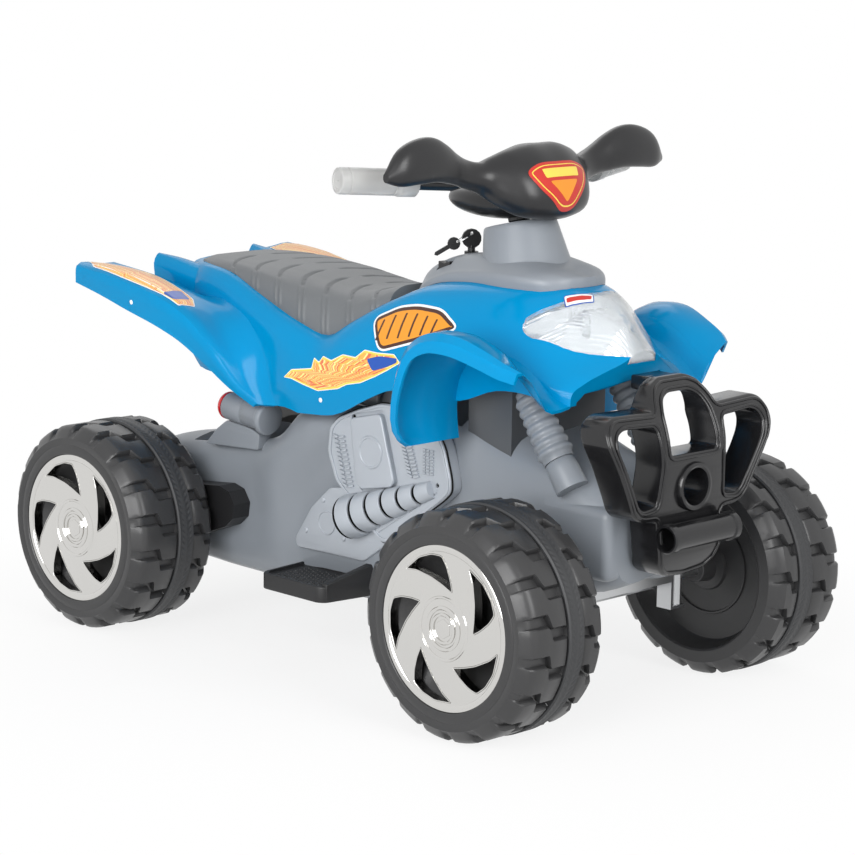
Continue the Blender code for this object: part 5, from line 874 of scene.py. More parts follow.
seat = {
    "trim": 0.004, "skirt": 0.006,
    # y, half width, height of the crown, height of the edge
    "sections": ((-0.049, 0.082, 0.0270, 0.0190), (-0.015, 0.095, 0.0370, 0.0240),
                 (0.045, 0.103, 0.0640, 0.0390), (0.100, 0.103, 0.0570, 0.0400),
                 (0.150, 0.099, 0.0470, 0.0360), (0.200, 0.094, 0.0340, 0.0280),
                 (0.260, 0.086, 0.0175, 0.0150), (0.315, 0.078, 0.0145, 0.0110),
                 (0.343, 0.066, 0.0090, 0.0055)),
    "firstGroove": 0.0150, "groovePitch": 0.047, "grooves": 7, "sweep": 0.42, "grooveDepth": 0.0034,
    "grooveWidth": 0.0026, "grooveFrom": 0.013, "grooveTo": 0.089, "grooveEnds": (0.006, 0.004),
    "ridgeGap": 0.0046, "ridgeRise": 0.0020, "ridgeWidth": 0.0016, "ridgeStart": (0.002, 0.003),
    "ridgeFoot": 0.007,
}
seatGap = 0.0003        # between the body and what rests on it


def panHeight(y):
    return interpolate([(s[0], s[2][0][1]) for s in body["sections"]], y)


def ramp(value, span):
    return min(1.0, max(0.0, value / span))


def makeSeat():
    s = seat
    across = 8
    rings = []
    for y, half, crown, edge in s["sections"]:
        floor = panHeight(y) + seatGap
        foot = half + s["skirt"]
        top = [(0.0, crown), (half * 0.45, crown * 0.97 + edge * 0.03),
               (half * 0.80, crown * 0.70 + edge * 0.30), (half * 0.96, edge),
               (foot, min(edge / 2, s["skirt"]))]
        rings.append(mirrored([(x, y, floor + h) for x, h in top] + [(foot, y, floor - s["trim"])]))
    grid = ringGrid(rings, across, 34, corners=(5, 6))
    # two rows of curved grooves across the top, and a pair of ridges down the side below each
    pitch, half = s["groovePitch"], s["grooveTo"]
    innerEnd, outerEnd = s["grooveEnds"]
    ridgeEarly, ridgeSpan = s["ridgeStart"]
    for row in grid:
        for j, (x, y, z) in enumerate(row):
            if 5 * across + 2 <= j < 6 * across - 1:
                continue
            reach = abs(x)
            phase = (y + s["sweep"] * reach ** 2 / half - s["firstGroove"]) / pitch
            if not -0.5 < phase < s["grooves"] - 0.5:
                continue
            away = abs(phase - round(phase)) * pitch
            share = ramp(half - reach, outerEnd) * ramp(reach - s["grooveFrom"], innerEnd)
            side = ramp(reach - half + ridgeEarly, ridgeSpan) if z > panHeight(y) + s["ridgeFoot"] else 0.0
            ridge = math.exp(-((away - s["ridgeGap"]) / s["ridgeWidth"]) ** 2) * s["ridgeRise"]
            row[j, 2] -= math.exp(-(away / s["grooveWidth"]) ** 2) * s["grooveDepth"] * share
            row[j, 0] += math.copysign(side * ridge, x)
    cover = gridObject("saddle", grid, wrapped=True, caps=True)
    finished(cover, greySeat, "chassis", ("seat",), 60.0)
    print("saddle done")


makeSeat()

hull = {
    "wall": 0.005,
    # y, then half the profile from the middle of the top, round the side, to the floor
    "sections": (
        (-0.4450, ((0.0, 0.262), (0.058, 0.262), (0.070, 0.254), (0.076, 0.238), (0.078, 0.215),
                   (0.076, 0.196), (0.066, 0.180), (0.0, 0.178))),
        (-0.4300, ((0.0, 0.276), (0.062, 0.274), (0.076, 0.264), (0.083, 0.245), (0.085, 0.215),
                   (0.083, 0.188), (0.074, 0.173), (0.0, 0.172))),
        (-0.3350, ((0.0, 0.318), (0.068, 0.316), (0.086, 0.302), (0.094, 0.280), (0.094, 0.220),
                   (0.090, 0.166), (0.080, 0.152), (0.0, 0.150))),
        (-0.2300, ((0.0, 0.345), (0.074, 0.343), (0.092, 0.325), (0.099, 0.300), (0.099, 0.220),
                   (0.096, 0.128), (0.086, 0.113), (0.0, 0.112))),
        (-0.1900, ((0.0, 0.350), (0.078, 0.348), (0.095, 0.335), (0.104, 0.312), (0.104, 0.230),
                   (0.102, 0.112), (0.090, 0.098), (0.0, 0.097))),
        (-0.1000, ((0.0, 0.352), (0.080, 0.350), (0.096, 0.340), (0.104, 0.325), (0.104, 0.240),
                   (0.103, 0.102), (0.092, 0.088), (0.0, 0.087))),
        (0.0200, ((0.0, 0.352), (0.082, 0.350), (0.100, 0.340), (0.110, 0.322), (0.104, 0.285),
                  (0.104, 0.100), (0.094, 0.086), (0.0, 0.085))),
        (0.0600, ((0.0, 0.350), (0.086, 0.348), (0.108, 0.336), (0.121, 0.315), (0.104, 0.240),
                  (0.105, 0.100), (0.096, 0.086), (0.0, 0.085))),
        (0.1000, ((0.0, 0.340), (0.088, 0.336), (0.111, 0.318), (0.123, 0.290), (0.106, 0.198),
                  (0.107, 0.100), (0.098, 0.086), (0.0, 0.085))),
        (0.1450, ((0.0, 0.296), (0.088, 0.292), (0.110, 0.281), (0.121, 0.262), (0.117, 0.180),
                  (0.110, 0.101), (0.100, 0.086), (0.0, 0.085))),
        (0.1900, ((0.0, 0.281), (0.086, 0.278), (0.104, 0.268), (0.112, 0.250), (0.112, 0.180),
                  (0.108, 0.102), (0.098, 0.087), (0.0, 0.086))),
        (0.3000, ((0.0, 0.262), (0.084, 0.260), (0.102, 0.252), (0.112, 0.236), (0.112, 0.180),
                  (0.108, 0.106), (0.098, 0.090), (0.0, 0.089))),
        (0.3900, ((0.0, 0.248), (0.082, 0.246), (0.100, 0.238), (0.111, 0.222), (0.111, 0.180),
                  (0.106, 0.114), (0.096, 0.098), (0.0, 0.097))),
        (0.4300, ((0.0, 0.236), (0.074, 0.234), (0.090, 0.226), (0.099, 0.212), (0.099, 0.176),
                  (0.095, 0.124), (0.086, 0.110), (0.0, 0.109))),
    ),
    "cheek": ((0.050, -0.4449, 0.1790), (0.0965, -0.2600, 0.2720)), "cheekRound": 0.012,
    "tub": (-0.185, 0.335), "columnTilt": math.radians(13.5), "columnTop": (0.0, -0.198, 0.602),
    "damperTop": (0.0900, -0.296, 0.404), "damperFoot": (0.0900, -0.356, 0.322),
    "motor": (0.226, 0.178), "podX": 0.118, "podRear": (0.246, 0.3180), "podFront": (0.150, 0.3090),
    "floorLift": 0.001, "bayTop": 0.05, "columnHeights": (0.05, 0.40), "columnBore": 0.0066,
    "axleHeight": 0.145, "axleBore": 0.0066, "motorBore": 0.0192, "reach": 0.3,
    # rooms cut for the beam, the crank and the tie rod: half width, y from the axle, and z; the
    # crank's room ends behind the column, at the crank's height
    "beamRoom": (0.2, (-0.022, 0.022), (0.05, 0.165)), "crankRoom": (0.05, 0.0219, 0.038, (0.05, 0.154)),
    "crankHeight": 0.142, "tieRoom": (0.2, (0.0219, 0.052), (0.05, 0.154)),
    # the damper's pedestal: radius and height, and its depth below the damper's foot
    "pedestal": ((0.0, 0.0), (0.0215, 0.0), (0.0205, 0.026), (0.0190, 0.0385), (0.0180, 0.0397),
                 (0.0, 0.0397)),
    "pedestalDepth": 0.040,
    # the wedge that carries a tail pod
    "wedge": ((0.285, 0.256), (0.175, 0.262), (0.172, 0.284), (0.190, 0.2905), (0.240, 0.2955),
              (0.262, 0.280)),
    "wedgeInset": 0.012, "wedgeWidth": 0.026, "wedgeRound": 0.004, "wedgeEdge": 0.0015,
    "podBore": 0.0198, "podOverrun": (0.02, 0.002),
}


def hullRing(y, points, wall=0.0, top=0.0):
    half = inset(points, wall) if wall else list(points)
    half[-1] = (0.0, half[-1][1] + (hull["floorLift"] if top else 0.0))
    half[0] = (0.0, half[0][1] + top)
    half[1] = (half[1][0], half[1][1] + top)
    return mirrored([(x, y, z) for x, z in half], 1, -1)


def columnAxis():
    tilt = hull["columnTilt"]
    return Vector(hull["columnTop"]), Vector((0, math.sin(tilt), math.cos(tilt)))


def columnPoint(z):
    top = hull["columnTop"]
    return (0, top[1] - (top[2] - z) * math.tan(hull["columnTilt"]), z)


def block(name, half, ys, zs):
    return box(name, (-half, ys[0], zs[0]), (half, ys[1], zs[1]))


def hullCuts():
    h = hull
    ys = [s[0] for s in h["sections"]]
    profiles = np.array([s[1] for s in h["sections"]])

    def profileAt(y):
        return [tuple(np.interp(y, ys, profiles[:, k, c]) for c in (0, 1)) for k in range(profiles.shape[1])]

    low, high = h["tub"]
    places = [low] + [y for y in ys if low < y < high] + [high]
    bay = ringGrid([hullRing(y, profileAt(y), h["wall"], h["bayTop"]) for y in places], 1, 5)
    axle = wheel["base"] / 2
    crankHalf, crankFront, crankBack, crankZ = h["crankRoom"]
    cuts = [gridObject("bay", bay, wrapped=True, caps=True),
            rod("column", *(columnPoint(z) for z in h["columnHeights"]), h["columnBore"], 48)]
    for key in ("beamRoom", "crankRoom", "tieRoom"):
        if key == "crankRoom":
            back = columnPoint(h["crankHeight"])[1] + crankBack
            cuts.append(block(key, crankHalf, (crankFront - axle, back), crankZ))
        else:
            half, span, zs = h[key]
            cuts.append(block(key, half, [y - axle for y in span], zs))
    for place, radius in (((axle, h["axleHeight"]), h["axleBore"]), (h["motor"], h["motorBore"])):
        cuts.append(rod("hole", (-h["reach"], *place), (h["reach"], *place), radius, 48))
    return cuts


def makeHull():
    h = hull
    tub = gridObject("tub", ringGrid([hullRing(y, points) for y, points in h["sections"]], 4, 5),
                     wrapped=True, caps=True)
    tub = combined(tub, hullCuts(), "DIFFERENCE")
    top, foot = Vector(h["damperTop"]), Vector(h["damperFoot"])
    along = (top - foot).normalized()
    back, lift = h["podOverrun"]
    for side, _ in sides:
        pedestal = spun("pedestal", h["pedestal"], foot - along * h["pedestalDepth"], along, 40)
        tub = combined(tub, [onSide(pedestal, side)], "UNION")
        wedge = plate("wedge", [filleted(h["wedge"], h["wedgeRound"], 3)], h["wedgeWidth"], h["wedgeEdge"],
                      sideFacing(h["podX"] - h["wedgeInset"]))
        room = rod("pod", (h["podX"], h["podFront"][0] - back, h["podFront"][1] - lift),
                   (h["podX"], h["podRear"][0] + back, h["podRear"][1] + lift), h["podBore"], 48)
        wedge = combined(onSide(wedge, side), [onSide(room, side)], "DIFFERENCE")
        tub = combined(tub, [wedge], "UNION")
        tub = combined(tub, [onSide(box("cheek", *h["cheek"], h["cheekRound"], 5), side)], "UNION")
    tub.name = "hull_tub"
    finished(tub, greyHull, "chassis", ("chassis_hull",), 40.0)
    print("hull done")


makeHull()

bumper = {
    "outline": ((0.0, 0.434), (0.026, 0.434), (0.044, 0.427), (0.056, 0.4115), (0.061, 0.3975),
                (0.134, 0.400), (0.148, 0.395), (0.157, 0.382), (0.158, 0.366), (0.152, 0.350),
                (0.112, 0.278), (0.103, 0.269), (0.090, 0.2645), (0.064, 0.2635), (0.062, 0.222),
                (0.054, 0.200), (0.038, 0.188), (0.0, 0.184)),
    "hoopWindow": ((0.0, 0.416), (0.021, 0.416), (0.035, 0.409), (0.0425, 0.392), (0.0445, 0.370),
                   (0.0445, 0.343), (0.0, 0.343)),
    "sideWindow": ((0.0655, 0.380), (0.123, 0.383), (0.136, 0.378), (0.141, 0.366), (0.137, 0.353),
                   (0.099, 0.286), (0.090, 0.2795), (0.0665, 0.282), (0.0615, 0.330)),
    # the front face leans: z and y
    "face": ((0.184, -0.486), (0.215, -0.498), (0.264, -0.496), (0.305, -0.500), (0.355, -0.500),
             (0.400, -0.482), (0.434, -0.458)),
    "depth": 0.046, "back": -0.4453, "round": 0.0034, "ringHeight": 0.300, "ringHole": 0.0240,
    "ringEdge": 0.0312, "roller": (-0.5112, 0.243), "rollerRadius": 0.0188, "rollerBore": 0.0145,
    "rollerLength": 0.130, "beadGap": 0.0050, "beadRadius": 0.0021, "beadSink": 0.0002,
    "cornerRound": 0.007, "brace": ((-0.026, -0.4500, 0.4145), (0.026, -0.4143, 0.4325)),
    "braceRound": 0.003, "eye": (-0.40, -0.60),
    # the ring's lip and a roller's end: drop from the radius, and height
    "cup": ((0.0, -0.020), (0.0, 0.0035), (0.0015, 0.0058), (0.0045, 0.0064), (0.0075, 0.0050)),
    "rollerEnd": ((0.002, 0.0), (0.0, 0.002), (0.0, 0.010), (0.0018, 0.0118)),
    # heights at which the plate is cut, so that it can follow the face
    "slices": (0.186, 0.434, 0.006),
}


def bumperFace(z):
    smooth = curved(np.array(bumper["face"]), 6)
    return float(np.interp(z, smooth[:, 0], smooth[:, 1]))


def bentPlate(name, outlines, depth, bevel):
    # a plate that follows the bumper's leaning face
    obj = plate(name, outlines, depth, bevel, Matrix.Rotation(math.radians(90), 4, "X"), 4)

    def slices(bm):
        for z in np.arange(*bumper["slices"]):
            bmesh.ops.bisect_plane(bm, geom=bm.verts[:] + bm.edges[:] + bm.faces[:], dist=1e-6,
                                   plane_co=(0, 0, z), plane_no=(0, 0, 1))

    edited(obj, slices)
    for vertex in obj.data.vertices:
        face = bumperFace(vertex.co.z)
        back = min(face + bumper["depth"], bumper["back"])
        vertex.co.y = face + (vertex.co.y + depth / 2) / depth * (back - face)
    return obj


def makeBumper():
    b = bumper
    outer = filleted(bothSides(b["outline"]), b["cornerRound"], 4)
    windows = [filleted(outline, b["cornerRound"], 4) for outline in
               (bothSides(b["hoopWindow"]), b["sideWindow"], [(-x, z) for x, z in b["sideWindow"]])]
    hoop = bentPlate("hoop", [outer] + windows, b["depth"], b["round"])
    height, edge = b["ringHeight"], b["ringEdge"]
    cup = [(0.0, b["cup"][0][1])] + [(edge - drop, h) for drop, h in b["cup"]] + [(0.0, b["cup"][-1][1])]
    cup = spun("cup", cup, (0, bumperFace(height), height), (0, -1, 0), 64)
    brace = box("brace", *b["brace"], b["braceRound"], 3)
    length, r = b["rollerLength"], b["rollerRadius"]
    near = [(r - drop, h) for drop, h in b["rollerEnd"]]
    far = [(radius, length - h) for radius, h in reversed(near)]
    roller = spun("roller", [(0.0, 0.0)] + near + far + [(0.0, length)], (-length / 2, *b["roller"]),
                  (1, 0, 0), 56)
    hoop = combined(hoop, [roller, brace, cup], "UNION")
    bore = rod("bore", (-length, *b["roller"]), (length, *b["roller"]), b["rollerBore"], 48)
    eye = rod("eye", *((0, y, height) for y in b["eye"]), b["ringHole"], 56)
    hoop = combined(hoop, [bore, eye], "DIFFERENCE")
    hoop.name = "bumper_guard"
    finished(hoop, glossBlack, "chassis", ("front_bumper",), 36.0)
    # raised beads round the hoops, which catch the light
    beads = []
    for outline, amount in [(window, -b["beadGap"]) for window in windows] + [(outer, b["beadGap"])]:
        ring = [(x, bumperFace(z) - b["beadSink"], z) for x, z in shrunk(outline, amount)]
        beads.append(wire("bead", ring, b["beadRadius"], closed=True, resolution=2))
    finished(merged("bumper_beads", beads), glossBlack, "chassis", sharp=60.0)
    print("bumper done")


makeBumper()

column = {
    "plate": ((0.032, -0.052), (0.050, -0.062), (0.062, -0.084), (0.066, -0.125), (0.070, -0.180),
              (0.072, -0.235), (0.067, -0.268), (0.056, -0.295), (0.036, -0.313), (0.014, -0.320)),
    "rim": 0.013, "trim": 0.012,
    "crown": ((-0.320, 0.0140), (-0.295, 0.0200), (-0.235, 0.0260), (-0.180, 0.0290), (-0.125, 0.0310),
              (-0.084, 0.0330), (-0.062, 0.0340), (-0.052, 0.0300)),
    "coneFoot": 0.059, "coneTop": 0.048, "coneLength": 0.062,
    # the cone outside: reach past its foot or top, and height; then the hollow inside
    "coneLow": ((0.004, -0.004), (0.0005, 0.004), (-0.0015, 0.010)),
    "coneHigh": ((0.0006, 0.057), (-0.0003, 0.0600), (-0.002, 0.0617), (-0.0045, 0.0620)),
    "hollow": (-0.03, 0.0048, 0.003, 0.059),
    "shaftHole": (-0.03, 0.02, 0.0085), "lock": (0.0, -0.112), "lockFlare": 0.0125,
    # holes for the lock: depth below its top, and radius
    "lockHoles": ((0.010, 0.0099), (0.0, 0.0129)), "lockRise": 0.02,
    "rocker": (-0.046, -0.112), "rockerSize": (0.012, 0.020), "wellFloor": 0.0033, "wellHeight": 0.05,
    "rockerFoot": 0.0006, "rockerRound": 0.0015, "rockerEdge": 0.0006,
    "rockerRoom": (0.0004, 0.0036), "rockerShape": ((-0.0100, 0.0030), (-0.0100, 0.0250), (0.0, 0.0215),
                                                    (0.0100, 0.0240), (0.0100, 0.0030), (0.0, 0.0)),
}


def columnPlate():
    c = column
    rings = []
    for x, y in c["plate"]:
        base = panHeight(y) + seatGap
        height = interpolate(c["crown"], y)
        rim = min(c["rim"], height * 0.8)
        half = [(x, base - c["trim"]), (x, base + rim * 0.7), (x * 0.93, base + rim),
                (x * 0.6, base + height), (0.0, base + height)]
        rings.append(mirrored([(px, y, pz) for px, pz in half], 0, -1))
    return gridObject("cover", ringGrid(rings, 5, 6, corners=(0, 8)), wrapped=True, caps=True)


def makeColumnCover():
    c = column
    top, axis = columnAxis()
    foot = top - axis * c["coneLength"]
    outside = [(c["coneFoot"] + reach, h) for reach, h in c["coneLow"]]
    outside += [(c["coneTop"] + reach, h) for reach, h in c["coneHigh"]]
    cone = spun("cone", [(0.0, outside[0][1])] + outside + [(0.0, outside[-1][1])], foot, axis, 72)
    cover = combined(columnPlate(), [cone], "UNION")
    low, footWall, topWall, high = c["hollow"]
    inside = [(0.0, low), (c["coneFoot"] - footWall, low), (c["coneTop"] - topWall, high), (0.0, high)]
    down, up, radius = c["shaftHole"]
    cuts = [spun("hollow", inside, foot, axis, 64), bodyCore(-seatGap),
            rod("shaftHole", top + axis * down, top + axis * up, radius)]
    lockX, lockY = c["lock"]
    crown = sorted((y, panHeight(y) + seatGap + interpolate(c["crown"], y)) for _, y in c["plate"])
    lockTop = interpolate(crown, lockY + c["lockFlare"] * 0.7)
    for depth, radius in c["lockHoles"]:
        cuts.append(rod("lockHole", (lockX, lockY, lockTop - depth), (lockX, lockY, lockTop + c["lockRise"]),
                        radius))
    (rx, ry), (width, length) = c["rocker"], c["rockerSize"]
    sideRoom, endRoom = c["rockerRoom"]
    low = panHeight(ry) + c["wellFloor"]
    cuts.append(box("rockerWell", (rx - width / 2 - sideRoom, ry - length / 2 - endRoom, low),
                    (rx + width / 2 + sideRoom, ry + length / 2 + endRoom, low + c["wellHeight"])))
    cover = combined(cover, cuts, "DIFFERENCE")
    cover.name = "column_shroud"
    finished(cover, greyHull, "chassis", ("column_cover",), 36.0)
    outline = filleted([(ry + y, low + c["rockerFoot"] + z) for y, z in c["rockerShape"]],
                       c["rockerRound"], 3)
    rocker = plate("rocker_button", [outline], width, c["rockerEdge"], sideFacing(rx))
    finished(rocker, satinBlack, "rocker", ("direction_rocker",), 36.0)
    print("column cover done")


makeColumnCover()

handlebar = {
    # x, y, z, half height, half depth, lean
    "sections": ((0.000, -0.240, 0.659, 0.0520, 0.0310, 30), (0.030, -0.239, 0.660, 0.0505, 0.0300, 30),
                 (0.056, -0.234, 0.659, 0.0440, 0.0270, 30), (0.075, -0.223, 0.661, 0.0330, 0.0220, 28),
                 (0.094, -0.211, 0.666, 0.0198, 0.0180, 22), (0.116, -0.207, 0.672, 0.0190, 0.0158, 18),
                 (0.134, -0.208, 0.679, 0.0205, 0.0154, 14), (0.152, -0.211, 0.6862, 0.0244, 0.0154, 12),
                 (0.176, -0.215, 0.6930, 0.0278, 0.0146, 12), (0.210, -0.217, 0.6925, 0.0280, 0.0138, 10),
                 (0.238, -0.216, 0.686, 0.0228, 0.0125, 8),
                 (0.260, -0.213, 0.675, 0.0060, 0.0050, 4)),
    "belly": ((0.0, -0.160, 0.629), (0.046, 0.080, 0.024)),
    "gripStart": (0.118, -0.187, 0.658), "gripEnd": (0.271, -0.138, 0.667), "gripRadius": 0.017,
    "gripTube": 0.009, "gripLength": 0.108, "gripCap": 0.012, "neckRoot": (0.094, -0.208, 0.668),
    "neckOverrun": 0.004, "fullness": 0.85, "tubeGap": 0.0003,
    # bores along the column: start, end and radius
    "bores": (("socket", -0.01, 0.045, 0.0066, 40), ("recess", -0.01, 0.0128, 0.0158, 48)),
    # the grip's end cap, as radius or drop from it, and depth; its two grooves; and its collar
    "gripCentre": ((0.0, 0.003), (0.0012, 0.003), (0.0014, 0.0012)),
    "gripEdge": ((0.0060, 0.0012), (0.0050, 0.0), (0.0022, 0.0), (0.0006, 0.0010), (0.0, 0.0034)),
    "gripGrooves": (0.0960, 0.0330),
    "groove": ((0.0, 0.0), (0.0008, 0.0006), (0.0008, 0.0016), (0.0, 0.0022)),
    "collar": ((0.0, 0.0262), (0.0006, 0.0250), (0.0010, 0.0235), (0.0010, 0.0010), (0.0002, 0.0)),
    # room for the throttle button: half sizes, place along the grip, and depth
    "throttleRoom": (0.0054, 0.0074, 0.0064), "throttleAt": 0.012, "throttleOut": 0.0021,
}


def barRing(x, y, z, height, depth, lean, count=40):
    tilt = math.radians(lean)
    ring = []
    for t in np.linspace(0, math.tau, count, endpoint=False):
        up, out = height * math.cos(t), -depth * math.sin(t)
        # a fuller curve than an ellipse on the front and back
        out = math.copysign(abs(out / depth) ** handlebar["fullness"] * depth, out)
        ring.append((x, y + out * math.cos(tilt) + up * math.sin(tilt),
                     z + up * math.cos(tilt) - out * math.sin(tilt)))
    return ring


def gripLine(side):
    start, end = Vector(handlebar["gripStart"]), Vector(handlebar["gripEnd"])
    start.x *= side
    end.x *= side
    return start, end, (end - start).normalized()


def gripProfile():
    h = handlebar
    r, length = h["gripRadius"], h["gripLength"]
    inner, floor = h["gripTube"] + h["tubeGap"], length - h["gripCap"]
    profile = [(radius, length - depth) for radius, depth in h["gripCentre"]]
    profile += [(r - drop, length - depth) for drop, depth in h["gripEdge"]]
    for z in h["gripGrooves"]:
        profile += [(r - drop, z - depth) for drop, depth in h["groove"]]
    profile += [(r + rise, z) for rise, z in h["collar"]]
    return profile + [(inner, 0.0), (inner, floor), (0.0, floor)]


def makeHandlebar():
    h = handlebar
    values = [(-s[0],) + s[1:] for s in reversed(h["sections"][1:])] + list(h["sections"])
    values = np.array(values, float)
    values[:, 5] *= 0.001       # degrees would outweigh the lengths as the curve is spaced
    values = curved(values, 5)
    values[:, 5] *= 1000.0
    bar = gridObject("bar", np.array([barRing(*row) for row in values]), wrapped=True, caps=True)
    centre, radii = h["belly"]
    bm = bmesh.new()
    bmesh.ops.create_uvsphere(bm, u_segments=48, v_segments=24, radius=1.0)
    bmesh.ops.scale(bm, vec=radii, verts=bm.verts)
    bmesh.ops.translate(bm, vec=centre, verts=bm.verts)
    parts = [fromBmesh("belly", bm)]
    for side, _ in sides:
        start, end, along = gripLine(side)
        root = Vector(h["neckRoot"])
        root.x *= side
        elbow = start + (start - root).normalized() * h["neckOverrun"]
        parts.append(rod("stub", start, end - along * h["gripCap"], h["gripTube"], 40))
        parts.append(rod("neck", root, elbow, h["gripTube"], 40))
    bar = combined(bar, parts, "UNION")
    top, axis = columnAxis()
    bores = [rod(name, top + axis * low, top + axis * high, radius, steps)
             for name, low, high, radius, steps in h["bores"]]
    bar = combined(bar, bores, "DIFFERENCE")
    bar.name = "handlebar_moulding"
    remember("bar", bar)
    finished(bar, satinBlack, "steering", ("handlebar_shell",), 40.0)

    length = h["gripLength"]
    for side, word in sides:
        _, end, along = gripLine(side)
        grip = spun("grip", gripProfile(), end - along * length, along, 56)
        if side < 0:
            back = Vector((0, 1, 0))
            back = (back - along * back.dot(along)).normalized()
            spot = end - along * (length - h["throttleAt"])
            turn = Matrix((along, back, along.cross(back))).transposed().to_4x4()
            room = box("room", [-v for v in h["throttleRoom"]], h["throttleRoom"])
            moved(room, Matrix.Translation(spot + back * (h["gripRadius"] + h["throttleOut"])) @ turn)
            grip = combined(grip, [room], "DIFFERENCE")
        grip.name = "grip_sleeve_" + word
        finished(grip, paleGrip, "steering", ("grip_" + word,), 40.0)
    print("handlebar and grips done")


makeHandlebar()

damper = {
    "ribs": 7, "neck": 0.0195, "radius": 0.0240, "ribDepth": 0.0035, "ribSteps": 6,
    # shares of the length: all ribs together, the first one's start, and the foot
    "ribShare": 0.84, "ribStart": 0.90, "footShare": 0.06, "footDrop": 0.004,
    # its top: drop from the neck, and depth
    "top": ((0.008, 0.0), (0.005, 0.003), (0.004, 0.010)),
}


def makeDampers():
    d = damper
    top, foot = Vector(hull["damperTop"]), Vector(hull["damperFoot"])
    length = (top - foot).length
    count, steps = d["ribs"], d["ribSteps"]
    pitch = length * d["ribShare"] / count
    profile = [(0.0, length)] + [(d["neck"] - drop, length - depth) for drop, depth in d["top"]]
    for i in range(count):
        radius = d["neck"] + (d["radius"] - d["neck"]) * (i + 1) / count
        high = length * d["ribStart"] - pitch * i
        profile += [(radius - d["ribDepth"] + d["ribDepth"] * math.sin(math.pi * k / steps),
                     high - pitch * k / steps) for k in range(steps)]
    profile += [(d["radius"] - d["ribDepth"], length * d["footShare"]), (d["radius"] - d["footDrop"], 0.0),
                (0.0, 0.0)]
    for side, word in sides:
        obj = onSide(spun("damper", profile, foot, top - foot, 56), side)
        obj.name = "damper_bellows_" + word
        finished(obj, greyHull, "chassis", ("damper_" + word,), 70.0)
    print("dampers done")


makeDampers()

pod = {
    "radius": 0.0195, "collar": 0.0235, "lens": 0.013, "lensGap": 0.0003,
    # the barrel: drop from its radius, and depth from its end or height
    "end": ((0.002, 0.0), (0.0005, 0.0005), (0.0, 0.002)),
    "barrel": ((0.0, 0.0475), (0.0008, 0.0465), (0.0008, 0.0445), (0.0, 0.0435), (0.0, 0.0145),
               (-0.0006, 0.0125)),
    "rim": ((0.0006, 0.0105), (0.0, 0.0090), (0.0, 0.0030), (0.0012, 0.0008), (0.003, 0.0)),
    # the lens: share of the radius, and drop
    "dome": ((0.35, 0.0005), (0.62, 0.0018), (0.80, 0.0038), (0.92, 0.0062), (0.98, 0.0086),
             (1.0, 0.0102)),
}


def makeTailPods():
    p = pod
    r, gap = p["radius"], p["lensGap"]
    for side, word in sides:
        front = Vector((side * hull["podX"], *hull["podFront"]))
        rear = Vector((side * hull["podX"], *hull["podRear"]))
        along = (rear - front).normalized()
        length = (rear - front).length - p["lens"]
        profile = [(0.0, length)] + [(r - drop, length - depth) for drop, depth in p["end"]]
        profile += [(r - drop, h) for drop, h in p["barrel"]]
        profile += [(p["collar"] - drop, h) for drop, h in p["rim"]]
        obj = spun("pod", profile + [(0.0, 0.0)], front, along, 56)
        obj.name = "tail_pod_barrel_" + word
        finished(obj, greyHull, "chassis", ("tail_pod_" + word,), 40.0)
        high = p["lens"] - gap
        rings = [(0.0, high)] + [(r * share, high - drop) for share, drop in p["dome"]]
        lens = spun("lens", rings + [(r, 0.0), (0.0, 0.0)], front + along * (length + gap), along, 56)
        lens.name = "tail_lamp_" + word
        finished(lens, redLens, "chassis", ("tail_lens_" + word,), 60.0)
    print("tail pods done")


makeTailPods()

footrest = {
    "outline": ((0.1043, 0.094), (0.186, 0.086), (0.196, 0.078), (0.198, -0.030), (0.190, -0.040),
                (0.1043, -0.052)),
    "innerEdge": 0.11, "top": 0.118, "thick": 0.022, "wall": 0.005, "rim": 0.004, "floor": 0.0045,
    "cornerRound": 0.006, "edge": 0.002, "treadRound": 0.004, "treadEdge": 0.0005,
    # the toe stop, at its inner and outer ends: height over the top, and its widths above and below
    "toe": ((0.024, 0.012, 0.016), (0.003, 0.010, 0.014)), "toeFoot": 0.001, "toeRound": 0.0018,
    # small domes on the tread: how many, the first one's place, pitch, radius and where they stop
    "dots": (9, 11), "dotStart": (0.120, -0.020), "dotPitch": 0.0082, "dotStretch": 1.08,
    "dotRadius": 0.0017, "dotLimit": 0.188, "dotCorner": (0.182, 0.070),
}


def hullRoom():
    rings = [hullRing(y, points, -seatGap) for y, points in hull["sections"]]
    return gridObject("room", ringGrid(rings, 4, 5), wrapped=True, caps=True)


def treadDots():
    f = footrest
    bm = bmesh.new()
    across, along = f["dots"]
    pitch = f["dotPitch"]
    for i in range(across):
        for j in range(along):
            x = f["dotStart"][0] + i * pitch + (0.5 * pitch if j % 2 else 0.0)
            y = f["dotStart"][1] + j * pitch * f["dotStretch"]
            if x > f["dotLimit"] or (x > f["dotCorner"][0] and y > f["dotCorner"][1]):
                continue
            bmesh.ops.create_icosphere(bm, subdivisions=1, radius=f["dotRadius"],
                                       matrix=Matrix.Translation((x, y, f["top"] - f["rim"])))
    return fromBmesh("dots", bm)


def footPlate(name, outline, low, high, edge, rounds=2):
    return plate(name, [outline], high - low, edge, Matrix.Translation((0, 0, (low + high) / 2)), rounds)


